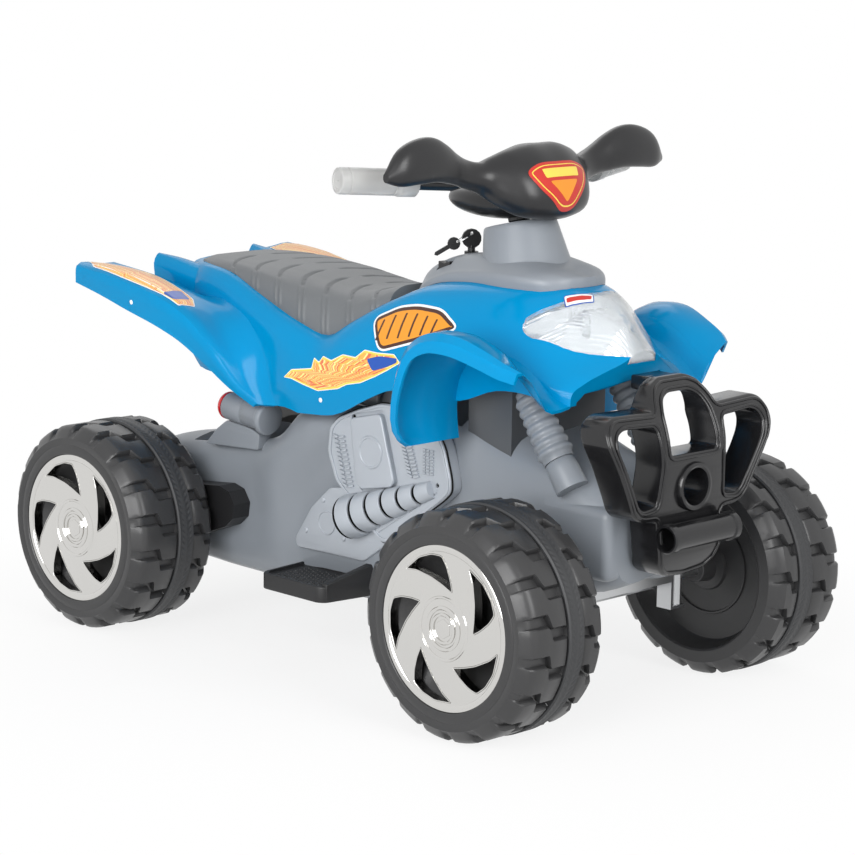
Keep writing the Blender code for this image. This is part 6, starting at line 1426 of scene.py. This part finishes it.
def makeFootrests():
    f = footrest
    wall, tread = f["wall"], f["top"] - f["rim"]
    for side, word in sides:
        foot = footPlate("foot", filleted(f["outline"], f["cornerRound"], 4), f["top"] - f["thick"],
                         f["top"], f["edge"], 3)
        inner = [(x + wall if x < f["innerEdge"] else x - wall, y - wall if y > 0 else y + wall)
                 for x, y in f["outline"]]
        inner = filleted(inner, f["treadRound"], 3)
        dish = footPlate("dish", inner, tread, tread + 0.02, f["treadEdge"])
        under = footPlate("under", inner, tread - f["floor"] - 0.04, tread - f["floor"], f["treadEdge"])
        foot = combined(foot, [dish, under], "DIFFERENCE")
        low = f["top"] - f["thick"] + f["toeFoot"]
        rings = []
        for (x, y), (rise, above, below) in zip(reversed(f["outline"][-2:]), f["toe"]):
            rings.append([(x, y + width, z) for width, z in ((0.0, low), (0.0, f["top"] + rise),
                                                             (above, f["top"] + rise), (below, low))])
        toe = gridObject("toe", np.array(rings), wrapped=True, caps=True)
        edited(toe, lambda bm: bmesh.ops.bevel(bm, geom=bm.edges[:], offset=f["toeRound"], segments=3,
                                               affect="EDGES", profile=0.5, material=-1))
        foot = combined(foot, [toe], "UNION")
        foot = combined(foot, [hullRoom()], "DIFFERENCE")
        foot = merged("footrest_tread_" + word, [onSide(foot, side), onSide(treadDots(), side)])
        finished(foot, softBlack, "chassis", ("footrest_" + word,), 38.0)
    print("footrests done")


makeFootrests()

engine = {
    "face": 0.1043, "depth": 0.023, "lowerDepth": 0.015, "headDepth": 0.007,
    "outline": ((0.022, 0.318), (0.006, 0.333), (-0.030, 0.348), (-0.075, 0.362), (-0.130, 0.364),
                (-0.172, 0.345), (-0.190, 0.318), (-0.202, 0.280), (-0.203, 0.262), (-0.190, 0.250),
                (-0.088, 0.176), (-0.076, 0.176), (-0.030, 0.214), (0.010, 0.246), (0.026, 0.284)),
    "lower": ((0.030, 0.232), (0.066, 0.200), (0.098, 0.152), (0.095, 0.140), (-0.036, 0.141),
              (-0.082, 0.174), (-0.030, 0.205), (0.004, 0.236)),
    "head": ((-0.022, 0.336), (-0.080, 0.350), (-0.106, 0.262), (-0.100, 0.254), (-0.044, 0.243),
             (-0.034, 0.252)),
    "headCircle": (-0.0627, 0.2956, 0.0225), "barrelStart": (-0.016, 0.1995), "barrelEnd": (-0.172, 0.262),
    "barrelRadii": (0.029, 0.009), "lip": 0.0030, "slots": 6, "slotWidth": 0.0044, "slotDepth": 0.0060,
    # a panel's corner rounding and its edge
    "mainRound": 0.007, "mainEdge": 0.0025, "lowerRound": 0.006, "lowerEdge": 0.002,
    "headRound": 0.009, "headEdge": 0.0024, "headSink": 0.0010,
    # thin plates at the front: the rim, the seam behind it, which is dark as painted shade in the gap round
    # the cover, and the channel round the head, each with its thickness, edge and place; the rim and channel
    # are outlines scaled about a centre
    "rim": (0.0024, 0.0006, 0.0004), "rimCentre": (-0.085, 0.285), "rimScales": (0.985, 0.94),
    "seam": (0.0024, 0.0006, -0.0044), "seamGrow": 0.0016,
    "channel": (0.0060, 0.0004, 0.0006), "channelCentre": (-0.066, 0.297), "channelScales": (1.09, 0.995),
    # raised discs: drop from the radius, and height
    "headDisc": ((0.0, 0.0), (0.0, 0.0010), (0.0012, 0.0022), (0.0035, 0.0022), (0.0045, 0.0012)),
    "lowDisc": ((0.0, -0.002), (0.0, 0.0006), (0.0008, 0.0014), (0.0022, 0.0014), (0.0030, 0.0004)),
    "bump": ((0.0, -0.002), (0.0042, -0.002), (0.0042, 0.0006), (0.0032, 0.0016), (0.0, 0.0020)),
    "discSink": 0.0005, "holeRadius": 0.0030, "holeDepth": 0.012, "holeFloor": (0.0118, 0.0070, 0.0031),
    "slotWall": (0.0003, 0.0010), "coreEnds": (0.001, 0.006), "grooveEnds": (0.004, 0.006),
    "grooveRadius": 0.0013,
    # a tooth's box, and its shift, lean and count
    "tooth": ((-0.0020, -0.0050, -0.0016), (0.0032, 0.0050, 0.0016)), "toothRound": 0.0008,
    "toothShift": 0.0058, "toothLean": 14, "toothCount": 12,
    "louvre": (0.0028, 0.0013), "louvreRange": (-0.0010, 0.0024), "louvreRound": 0.0005,
    "louvreCount": (3, 8),
    "holes": ((-0.0226, 0.3369), (-0.1801, 0.2682), (-0.0679, 0.1807)),
    "teeth": (((0.004, 0.3100), (-0.0160, 0.2400)), ((-0.1180, 0.3290), (-0.1380, 0.2720))),
    "louvres": (-0.1530, -0.1740, 0.3140, 0.2790), "lowCircle": (0.0354, 0.1826, 0.0170),
    "bumps": ((0.076, 0.1658), (0.0429, 0.2132), (0.002, 0.1664)),
    "flange": ((-0.0700, 0.1860), (-0.1850, 0.2620)),
}


def scaled(outline, centre, factor):
    centre = Vector(centre)
    return [tuple(centre + (Vector(p) - centre) * factor) for p in outline]


def disc(name, rows, radius, place, steps):
    # a raised disc from drops off its radius
    profile = [(0.0, rows[0][1])] + [(radius - drop, h) for drop, h in rows] + [(0.0, rows[-1][1])]
    return spun(name, profile, place, (1, 0, 0), steps)


def frontPlate(name, outlines, key, front):
    thick, edge, at = engine[key]
    return plate(name, outlines, thick, edge, sideFacing(front + at))


def barrelParts(front):
    # the ribbed barrel with its ring slots, and the dark core inside and dark discs in the slots, which paint
    # the shade in its hollows
    e = engine
    start, end = Vector((front, *e["barrelStart"])), Vector((front, *e["barrelEnd"]))
    length = (end - start).length
    big, small = e["barrelRadii"]
    count, width = e["slots"], e["slotWidth"]
    profile = [(0.0, length)]
    radii = [big + (small - big) * (i + 0.5) / count + e["lip"] for i in range(count)]
    for i in reversed(range(count)):
        low, high = length * i / count, length * (i + 1) / count
        radius, foot = radii[i], radii[i] - e["slotDepth"] - 0.0015
        profile += [(radius - 0.0026, high), (radius - 0.0018, high - 0.0016), (radius, low + 0.0085),
                    (radius, low + width + 0.0010), (radius - 0.0008, low + width + 0.0002),
                    (foot, low + width), (foot, low)]
    barrel = spun("barrel", profile + [(0.0, 0.0)], start, end - start, 56)
    near, far = e["coreEnds"]
    core = [(0.0, length - far), (radii[-1] - e["slotDepth"], length - far),
            (radii[0] - e["slotDepth"], near), (0.0, near)]
    dark = [spun("core", core, start, end - start, 48)]
    flow = (end - start).normalized()
    gap, thick = e["slotWall"]
    for i, radius in enumerate(radii):
        spot = start + flow * (length * i / count + gap)
        dark.append(rod("slotWall", spot, spot + flow * thick, radius - 0.0010, 48))
    return barrel, dark


def trimParts(front):
    # two columns of short teeth, and a few louvres in front of them
    e = engine
    parts = []
    for top, foot in e["teeth"]:
        top, foot = Vector(top), Vector(foot)
        for k in range(e["toothCount"]):
            spot = top + (foot - top) * (k + 0.5) / e["toothCount"]
            for sign in (-1, 1):
                turn = Matrix.Rotation(math.radians(sign * e["toothLean"]), 4, "X")
                place = Matrix.Translation((front, spot.x + sign * e["toothShift"], spot.y))
                parts.append(moved(box("tooth", *e["tooth"], e["toothRound"]), place @ turn))
    y0, y1, z0, z1 = e["louvres"]
    halfY, halfZ = e["louvre"]
    low, high = (front + x for x in e["louvreRange"])
    columns, rows = e["louvreCount"]
    for k in range(rows):
        z = z0 + (z1 - z0) * (k + 0.5) / rows
        for j in range(columns):
            y = y0 + (y1 - y0) * (j + 0.5) / columns
            parts.append(box("louvre", (low, y - halfY, z - halfZ), (high, y + halfY, z + halfZ),
                             e["louvreRound"], 1))
    return parts


def makeEngineCovers():
    e = engine
    front, lowFront = e["face"] + e["depth"], e["face"] + e["lowerDepth"]
    outline = filleted(e["outline"], e["mainRound"], 4)
    rim = [scaled(outline, e["rimCentre"], factor) for factor in e["rimScales"]]
    around = [filleted(scaled(e["head"], e["channelCentre"], factor), e["headRound"], 5)
              for factor in e["channelScales"]]
    for side, word in sides:
        main = plate("main", [outline], e["depth"], e["mainEdge"], sideFacing(e["face"] + e["depth"] / 2), 3)
        lower = plate("lower", [filleted(e["lower"], e["lowerRound"], 4)], e["lowerDepth"], e["lowerEdge"],
                      sideFacing(e["face"] + e["lowerDepth"] / 2), 3)
        head = plate("head", [filleted(e["head"], e["headRound"], 5)], e["headDepth"] + 2 * e["headSink"],
                     e["headEdge"], sideFacing(front + e["headDepth"] / 2 - e["headSink"]), 3)
        hy, hz, hr = e["headCircle"]
        ly, lz, lr = e["lowCircle"]
        barrel, dark = barrelParts(front)
        parts = [lower, frontPlate("rim", rim, "rim", front), head,
                 disc("disc", e["headDisc"], hr, (front + e["headDepth"] - e["discSink"], hy, hz), 48),
                 barrel, disc("lowDisc", e["lowDisc"], lr, (lowFront, ly, lz), 40)]
        parts += [spun("bump", e["bump"], (lowFront, y, z), (1, 0, 0), 24) for y, z in e["bumps"]]
        cover = combined(main, parts, "UNION")
        cuts = [hullRoom(), frontPlate("channel", around, "channel", front)]
        cuts += [rod("hole", (front - e["holeDepth"], y, z), (front + 0.02, y, z), e["holeRadius"], 20)
                 for y, z in e["holes"]]
        near, far = (Vector((front, *p)) for p in e["flange"])
        groove = (far - near).normalized()
        nearEnd, farEnd = e["grooveEnds"]
        cuts.append(wire("groove", [near + groove * nearEnd, far - groove * farEnd], e["grooveRadius"],
                         resolution=1))
        cover = combined(cover, cuts, "DIFFERENCE")
        pieces = [painted(piece, greyEngine) for piece in [cover] + trimParts(front)]
        # a dark plate just behind the cover's edge, which shows as a dark line round it: painted shade in the
        # gap
        seam = frontPlate("seam", [shrunk(outline, -e["seamGrow"])], "seam", front)
        dark.insert(1, combined(seam, [hullRoom()], "DIFFERENCE"))
        # dark discs deep in the holes: painted shade
        back, fore, radius = e["holeFloor"]
        dark += [rod("holeFloor", (front - back, y, z), (front - fore, y, z), radius, 20)
                 for y, z in e["holes"]]
        cover = merged("engine_shroud_" + word, [onSide(piece, side) for piece in pieces])
        finished(cover, None, "chassis", ("engine_cover_" + word,), 36.0)
        slots = merged("engine_slots_" + word, [onSide(piece, side) for piece in dark])
        finished(slots, paintedShadeBlack, "chassis", sharp=36.0)
    print("engine covers done")


makeEngineCovers()

# the remaining solids keep their shapes and get their finishes
finishes = (
    # the column bracket gets the darker grey as painted shade, for the shadow that it stands in
    (paintedShadeGrey, ("column_bracket",)),
    (softBlack, ("bar_clamp", "ignition_lock", "ignition_key", "spare_key", "throttle_button", "gearbox_left",
                 "gearbox_right", "battery", "battery_strap", "control_box")),
    (reflector, ("headlight_reflector",)),
    (zincSteel, ("key_ring", "steering_shaft", "tie_rod", "front_axle_beam", "rear_axle",
                 "steering_knuckle_left", "steering_knuckle_right", "motor_left", "motor_right",
                 "axle_nut_front_left", "axle_nut_front_right", "axle_nut_rear_left",
                 "axle_nut_rear_right")),
    (lensPlastic, ("lamp_bulb_left", "lamp_bulb_right")),
)
for net, nodeNames in finishes:
    for nodeName in nodeNames:
        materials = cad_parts[nodeName].data.materials
        materials.clear()
        materials.append(net.material)
print("solids finished")

decals = {
    # the designs' outlines: along the side and up, or across and along the top
    "sign": ((-0.0502, 0.4709), (-0.0917, 0.4899), (-0.1238, 0.4954), (-0.1672, 0.4943), (-0.2031, 0.4753),
             (-0.1361, 0.4508), (-0.0774, 0.4324)),
    # dark bars in the sign: along, low end, high end
    "signBars": ((-0.0660, 0.4450, 0.4720), (-0.0850, 0.4490, 0.4800), (-0.1040, 0.4520, 0.4845),
                 (-0.1230, 0.4560, 0.4860), (-0.1420, 0.4600, 0.4850), (-0.1600, 0.4650, 0.4825)),
    "barWidth": 0.0032, "barLean": 0.0040,
    "flame": ((0.0986, 0.3764), (0.0848, 0.3889), (0.0467, 0.3949), (0.0456, 0.4094), (0.0341, 0.4047),
              (0.0279, 0.4135), (0.0095, 0.4101), (-0.0111, 0.4204), (-0.0360, 0.4196), (-0.0507, 0.4311),
              (-0.0753, 0.4302), (-0.1054, 0.4317), (-0.1192, 0.4218), (-0.0969, 0.4089), (-0.0770, 0.3987),
              (-0.0520, 0.3877), (-0.0261, 0.3821), (-0.0098, 0.3744), (0.0287, 0.3667), (0.0578, 0.3713),
              (0.0831, 0.3763)),
    "wing": ((0.1540, 0.4577), (0.1890, 0.4577), (0.2043, 0.4300), (0.2053, 0.3651), (0.2033, 0.3028),
             (0.1974, 0.2500), (0.1700, 0.2440), (0.1550, 0.2655), (0.1500, 0.3500), (0.1470, 0.4300)),
    "badge": ((-0.0560, 0.0270), (-0.0340, 0.0360), (0.0340, 0.0360), (0.0560, 0.0270), (0.0430, 0.0020),
              (0.0120, -0.0270), (-0.0120, -0.0270), (-0.0430, 0.0020)),
    "label": ((-0.0190, 0.0070), (0.0210, 0.0070), (0.0180, -0.0075), (-0.0200, -0.0075)),
    # blue patches on the flame and the wing
    "flamePatch": ((-0.058, 0.4200), (-0.080, 0.4262), (-0.112, 0.4270), (-0.1130, 0.4215),
                   (-0.094, 0.4130), (-0.072, 0.4060)),
    "wingPatch": ((0.165, 0.264), (0.194, 0.264), (0.197, 0.284), (0.161, 0.288)),
    # on the badge: a bar and a point
    "badgeBar": ((-0.0330, 0.0265), (0.0330, 0.0265), (0.0300, 0.0140), (-0.0300, 0.0140)),
    "badgePoint": ((-0.0260, 0.0095), (0.0260, 0.0095), (0.0, -0.0185)),
    "badgeSpot": (0.0, -0.300, 0.6680), "badgeLean": math.radians(30),
    "labelSpot": (-0.0366, -0.3355, 0.600), "labelAxes": ((0.857, -0.516, 0), (0.516, 0.857, 0)),
    "labelScale": (0.84, 0.42), "rise": 0.0005, "layerRise": 0.4, "step": 0.003, "far": 0.30,
    "sideScrews": ((0.0230, 0.3552), (0.3399, 0.4580)), "screwRadius": 0.0033,
    # a screw's head: share of its radius, and height
    "screw": ((0.0, 0.0013), (0.6, 0.0011), (0.95, 0.0004), (1.0, -0.001), (0.0, -0.001)),
}
inks = {
    "yellow": (0.92, 0.70, 0.10), "orange": (0.88, 0.30, 0.02), "red": (0.58, 0.03, 0.02),
    "brown": (0.060, 0.016, 0.010), "blue": (0.01, 0.08, 0.42),
    "gold": ((0.78, 0.30, 0.02), (0.90, 0.70, 0.12)), "goldSpan": (0.440, 0.485),
    "flame": ((0.93, 0.80, 0.30), (0.88, 0.42, 0.08), (0.72, 0.16, 0.07)),
    "flamePitch": 0.0420, "flameSlant": -1.60, "flameWaver": 0.8, "gloss": 0.28,
}


def streaked(name, colours, pitch, slant, waver):
    # slanting streaks of three inks, which waver like a brushed flame
    first, second, third = colours
    net = Net(name, first, inks["gloss"])
    point, (x, y, _) = net.place("UV")
    shift = net.noise(point, 48.0, 2.0) * waver
    phase = ((x + y * slant) / pitch + shift).part()
    accent = ((y / pitch) * 0.55 + shift * 1.5 + net.noise(point, 30.0) * 0.3).part()
    net.set("Base Color", net.mix(phase.above(0.66), net.mix(accent.above(0.74), first, third), second))
    return net


def faded(name, low, high, span):
    # one ink fading into another up the design
    net = Net(name, low, inks["gloss"])
    point, (_, y, _) = net.place("UV")
    share = ((y - span[0]) / (span[1] - span[0]) + net.noise(point, 60.0) * 0.2).clamped()
    net.set("Base Color", net.mix(share, low, high))
    return net


def ink(name, colour):
    net = Net(name, colour, inks["gloss"])
    point, _ = net.place("UV")
    net.set("Base Color", net.mix(net.noise(point, 90.0), colour, [c * 0.86 for c in colour]))
    return net


def layer(net, outline, plan, key, level, rounding=0.0):
    # one printed sheet; a higher level lies over a lower one
    if rounding:
        outline = filleted(outline, rounding, 3)
    lift = decals["rise"] * (1 + decals["layerRise"] * level)
    return painted(sticker("sheet", outline, plan, key, decals["step"], lift), net)


def makeDecals():
    d = decals
    brownInk, redInk, blueInk = (ink(key + "Ink", inks[key]) for key in ("brown", "red", "blue"))
    yellowInk, orangeInk = (ink(key + "Ink", inks[key]) for key in ("yellow", "orange"))
    golden = faded("goldenInk", *inks["gold"], inks["goldSpan"])
    flames = streaked("flameInk", inks["flame"], inks["flamePitch"], inks["flameSlant"], inks["flameWaver"])
    for side, word in sides:
        out = planOf((side * d["far"], 0, 0), (0, side, 0), (0, 0, 1))
        down = planOf((0, 0, 2 * d["far"]), (1, 0, 0), (0, 1, 0))

        def flat(points):
            return [(v * side, w) for v, w in points]

        sign, flame, wing = filleted(flat(d["sign"]), 0.012, 5), flat(d["flame"]), flat(d["wing"])
        sheets = [layer(net, shrunk(sign, amount), out, "body", level) for level, (net, amount)
                  in enumerate(((paper, -0.0020), (brownInk, 0.0008), (golden, 0.0050)))]
        width, lean = d["barWidth"], d["barLean"]
        for y, low, high in d["signBars"]:
            line = [(y, low), (y - width, low), (y - width - lean, high), (y - lean, high)]
            sheets.append(layer(brownInk, flat(line), out, "body", 3, 0.001))
        sheets += [layer(net, shrunk(flame, amount), out, "body", level, 0.002) for level, (net, amount)
                   in enumerate(((paper, 0.0), (yellowInk, 0.0010), (flames, 0.0030)))]
        sheets.append(layer(blueInk, flat(d["flamePatch"]), out, "body", 3, 0.004))
        sheets += [layer(net, shrunk(wing, amount), down, "body", level, 0.004) for level, (net, amount)
                   in enumerate(((paper, 0.0022), (flames, 0.0036)))]
        sheets.append(layer(blueInk, flat(d["wingPatch"]), down, "body", 2, 0.004))
        finished(merged("printed_designs_" + word, sheets), None, "chassis", sharp=60.0)

        # pale screw heads along the skirt: their light metal colour, and a painted highlight, in the pale
        # paper finish
        heads = []
        profile = [(d["screwRadius"] * share, h) for share, h in d["screw"]]
        for y, z in d["sideScrews"]:
            start = Vector((side * d["far"], y, z))
            spot, normal, _, _ = surfaces["body"].ray_cast(start, Vector((-side, 0, 0)))
            heads.append(spun("screw", profile, spot, normal, 24))
        finished(merged("skirt_screws_" + word, heads), paper, "chassis", sharp=40.0)

    lean = d["badgeLean"]
    facing = planOf(d["badgeSpot"], (1, 0, 0), (0, math.sin(lean), math.cos(lean)))
    badge = filleted(d["badge"], 0.012, 6)
    sheets = [layer(net, shrunk(badge, amount), facing, "bar", level) for level, (net, amount)
              in enumerate(((redInk, 0.0), (yellowInk, 0.0042), (redInk, 0.0056)))]
    sheets.append(layer(yellowInk, filleted(d["badgeBar"], 0.002, 3), facing, "bar", 3.5))
    sheets.append(layer(orangeInk, filleted(d["badgePoint"], 0.004, 4), facing, "bar", 3.5))
    finished(merged("bar_badge", sheets), None, "steering", sharp=60.0)

    above = planOf(d["labelSpot"], *d["labelAxes"])
    label = filleted(d["label"], 0.003, 3)
    wide, high = d["labelScale"]
    stripe = [(x * wide, y * high) for x, y in label]
    sheets = [layer(net, outline, above, "core", level) for level, (net, outline)
              in enumerate(((blueInk, label), (paper, shrunk(label, 0.0012)), (redInk, stripe)))]
    finished(merged("lens_label", sheets), None, "chassis", sharp=60.0)
    print("printed designs done")


makeDecals()

camera = {"place": (-2.6652, -2.6488 + shiftY, 0.9943), "yaw": 0.7990, "pitch": -0.1824, "roll": 0.0160,
          "lens": 117.86, "sensor": 36.0, "shift": (-0.0119, 0.0029), "farthest": 60.0}


def makeCamera():
    yaw, pitch, roll = camera["yaw"], camera["pitch"], camera["roll"]
    ahead = Vector((math.sin(yaw) * math.cos(pitch), math.cos(yaw) * math.cos(pitch), math.sin(pitch)))
    right = ahead.cross(Vector((0, 0, 1))).normalized()
    up = right.cross(ahead)
    right, up = (math.cos(roll) * right + math.sin(roll) * up, math.cos(roll) * up - math.sin(roll) * right)
    data = bpy.data.cameras.new("photoCamera")
    data.lens = camera["lens"]
    data.sensor_width = camera["sensor"]
    data.shift_x, data.shift_y = camera["shift"]
    data.clip_end = camera["farthest"]
    obj = linked("photoCamera", data)
    turn = Matrix((right, up, -ahead)).transposed().to_4x4()
    obj.matrix_world = Matrix.Translation(camera["place"]) @ turn
    bpy.context.scene.camera = obj


studio = {
    "world": 0.42,
    # place, aim, size, power
    "lamps": (((-3.4, -1.3, 1.5), (0, 0, 0.3), 2.2, 112.0), ((-0.6, -3.6, 1.9), (0, 0, 0.3), 1.8, 62.0),
              ((1.6, 2.2, 3.0), (0, 0, 0.4), 2.4, 20.0)),
    "floor": 0.92, "floorRoughness": 0.9, "floorSize": 14.0, "floorGlow": 0.82, "whiteFrom": (0.35, 0.90),
}
seenBy = ("Is Camera Ray", "Is Glossy Ray", "Is Transmission Ray")


def makeWorld():
    # dim white for the light, and full white for what is looked at
    world = bpy.data.worlds.new("studio")
    world.use_nodes = True
    bpy.context.scene.world = world
    tree = world.node_tree
    lit, white = tree.nodes["Background"], tree.nodes.new("ShaderNodeBackground")
    for shade, strength in ((lit, studio["world"]), (white, 1.0)):
        shade.inputs["Color"].default_value = (1.0, 1.0, 1.0, 1.0)
        shade.inputs["Strength"].default_value = strength
    path = tree.nodes.new("ShaderNodeLightPath")
    seen = path.outputs[seenBy[0]]
    for ray in seenBy[1:]:
        either = tree.nodes.new("ShaderNodeMath")
        either.operation = "MAXIMUM"
        tree.links.new(seen, either.inputs[0])
        tree.links.new(path.outputs[ray], either.inputs[1])
        seen = either.outputs[0]
    blend = tree.nodes.new("ShaderNodeMixShader")
    for source, slot in ((seen, blend.inputs[0]), (lit.outputs[0], blend.inputs[1]),
                         (white.outputs[0], blend.inputs[2])):
        tree.links.new(source, slot)
    tree.links.new(blend.outputs[0], tree.nodes["World Output"].inputs["Surface"])


def makeLamps():
    for place, aim, size, power in studio["lamps"]:
        data = bpy.data.lights.new("softbox", "AREA")
        data.shape = "SQUARE"
        data.size = size
        data.energy = power
        turn = (Vector(aim) - Vector(place)).to_track_quat("-Z", "Y").to_matrix().to_4x4()
        linked("softbox", data).matrix_world = Matrix.Translation(place) @ turn


def makeFloor():
    # white wherever it is looked at, but for the shadows close to the object
    bm = bmesh.new()
    bmesh.ops.create_grid(bm, x_segments=1, y_segments=1, size=studio["floorSize"])
    floor = fromBmesh("floor", bm)
    net = Net("paleFloor", (studio["floor"],) * 3, studio["floorRoughness"], Specular_IOR_Level=0.0)
    point, _ = net.place()
    away = Wire(net, net.node("VectorMath", {"operation": "LENGTH"}, Vector=point).outputs["Value"])
    (near, far), base = studio["whiteFrom"], studio["floorGlow"]
    share = ((away - near) / (far - near)).clamped() * (1.0 - base) + base
    rays = net.node("LightPath")
    seen = Wire(net, rays.outputs[seenBy[0]])
    for ray in seenBy[1:]:
        seen = seen.most(rays.outputs[ray])
    glow = net.node("Emission", Color=(1.0, 1.0, 1.0, 1.0), Strength=1.0)
    blend = net.node("MixShader")
    for slot, source in zip(blend.inputs, (seen * share, net.shader.outputs[0], glow.outputs[0])):
        net.feed(slot, source)
    net.feed(net.tree.nodes["Material Output"].inputs["Surface"], blend.outputs[0])
    painted(floor, net)


bpy.context.scene.view_settings.view_transform = "Standard"
makeCamera()
makeWorld()
makeLamps()
makeFloor()
print("studio and camera done")
bpy.context.view_layer.update()
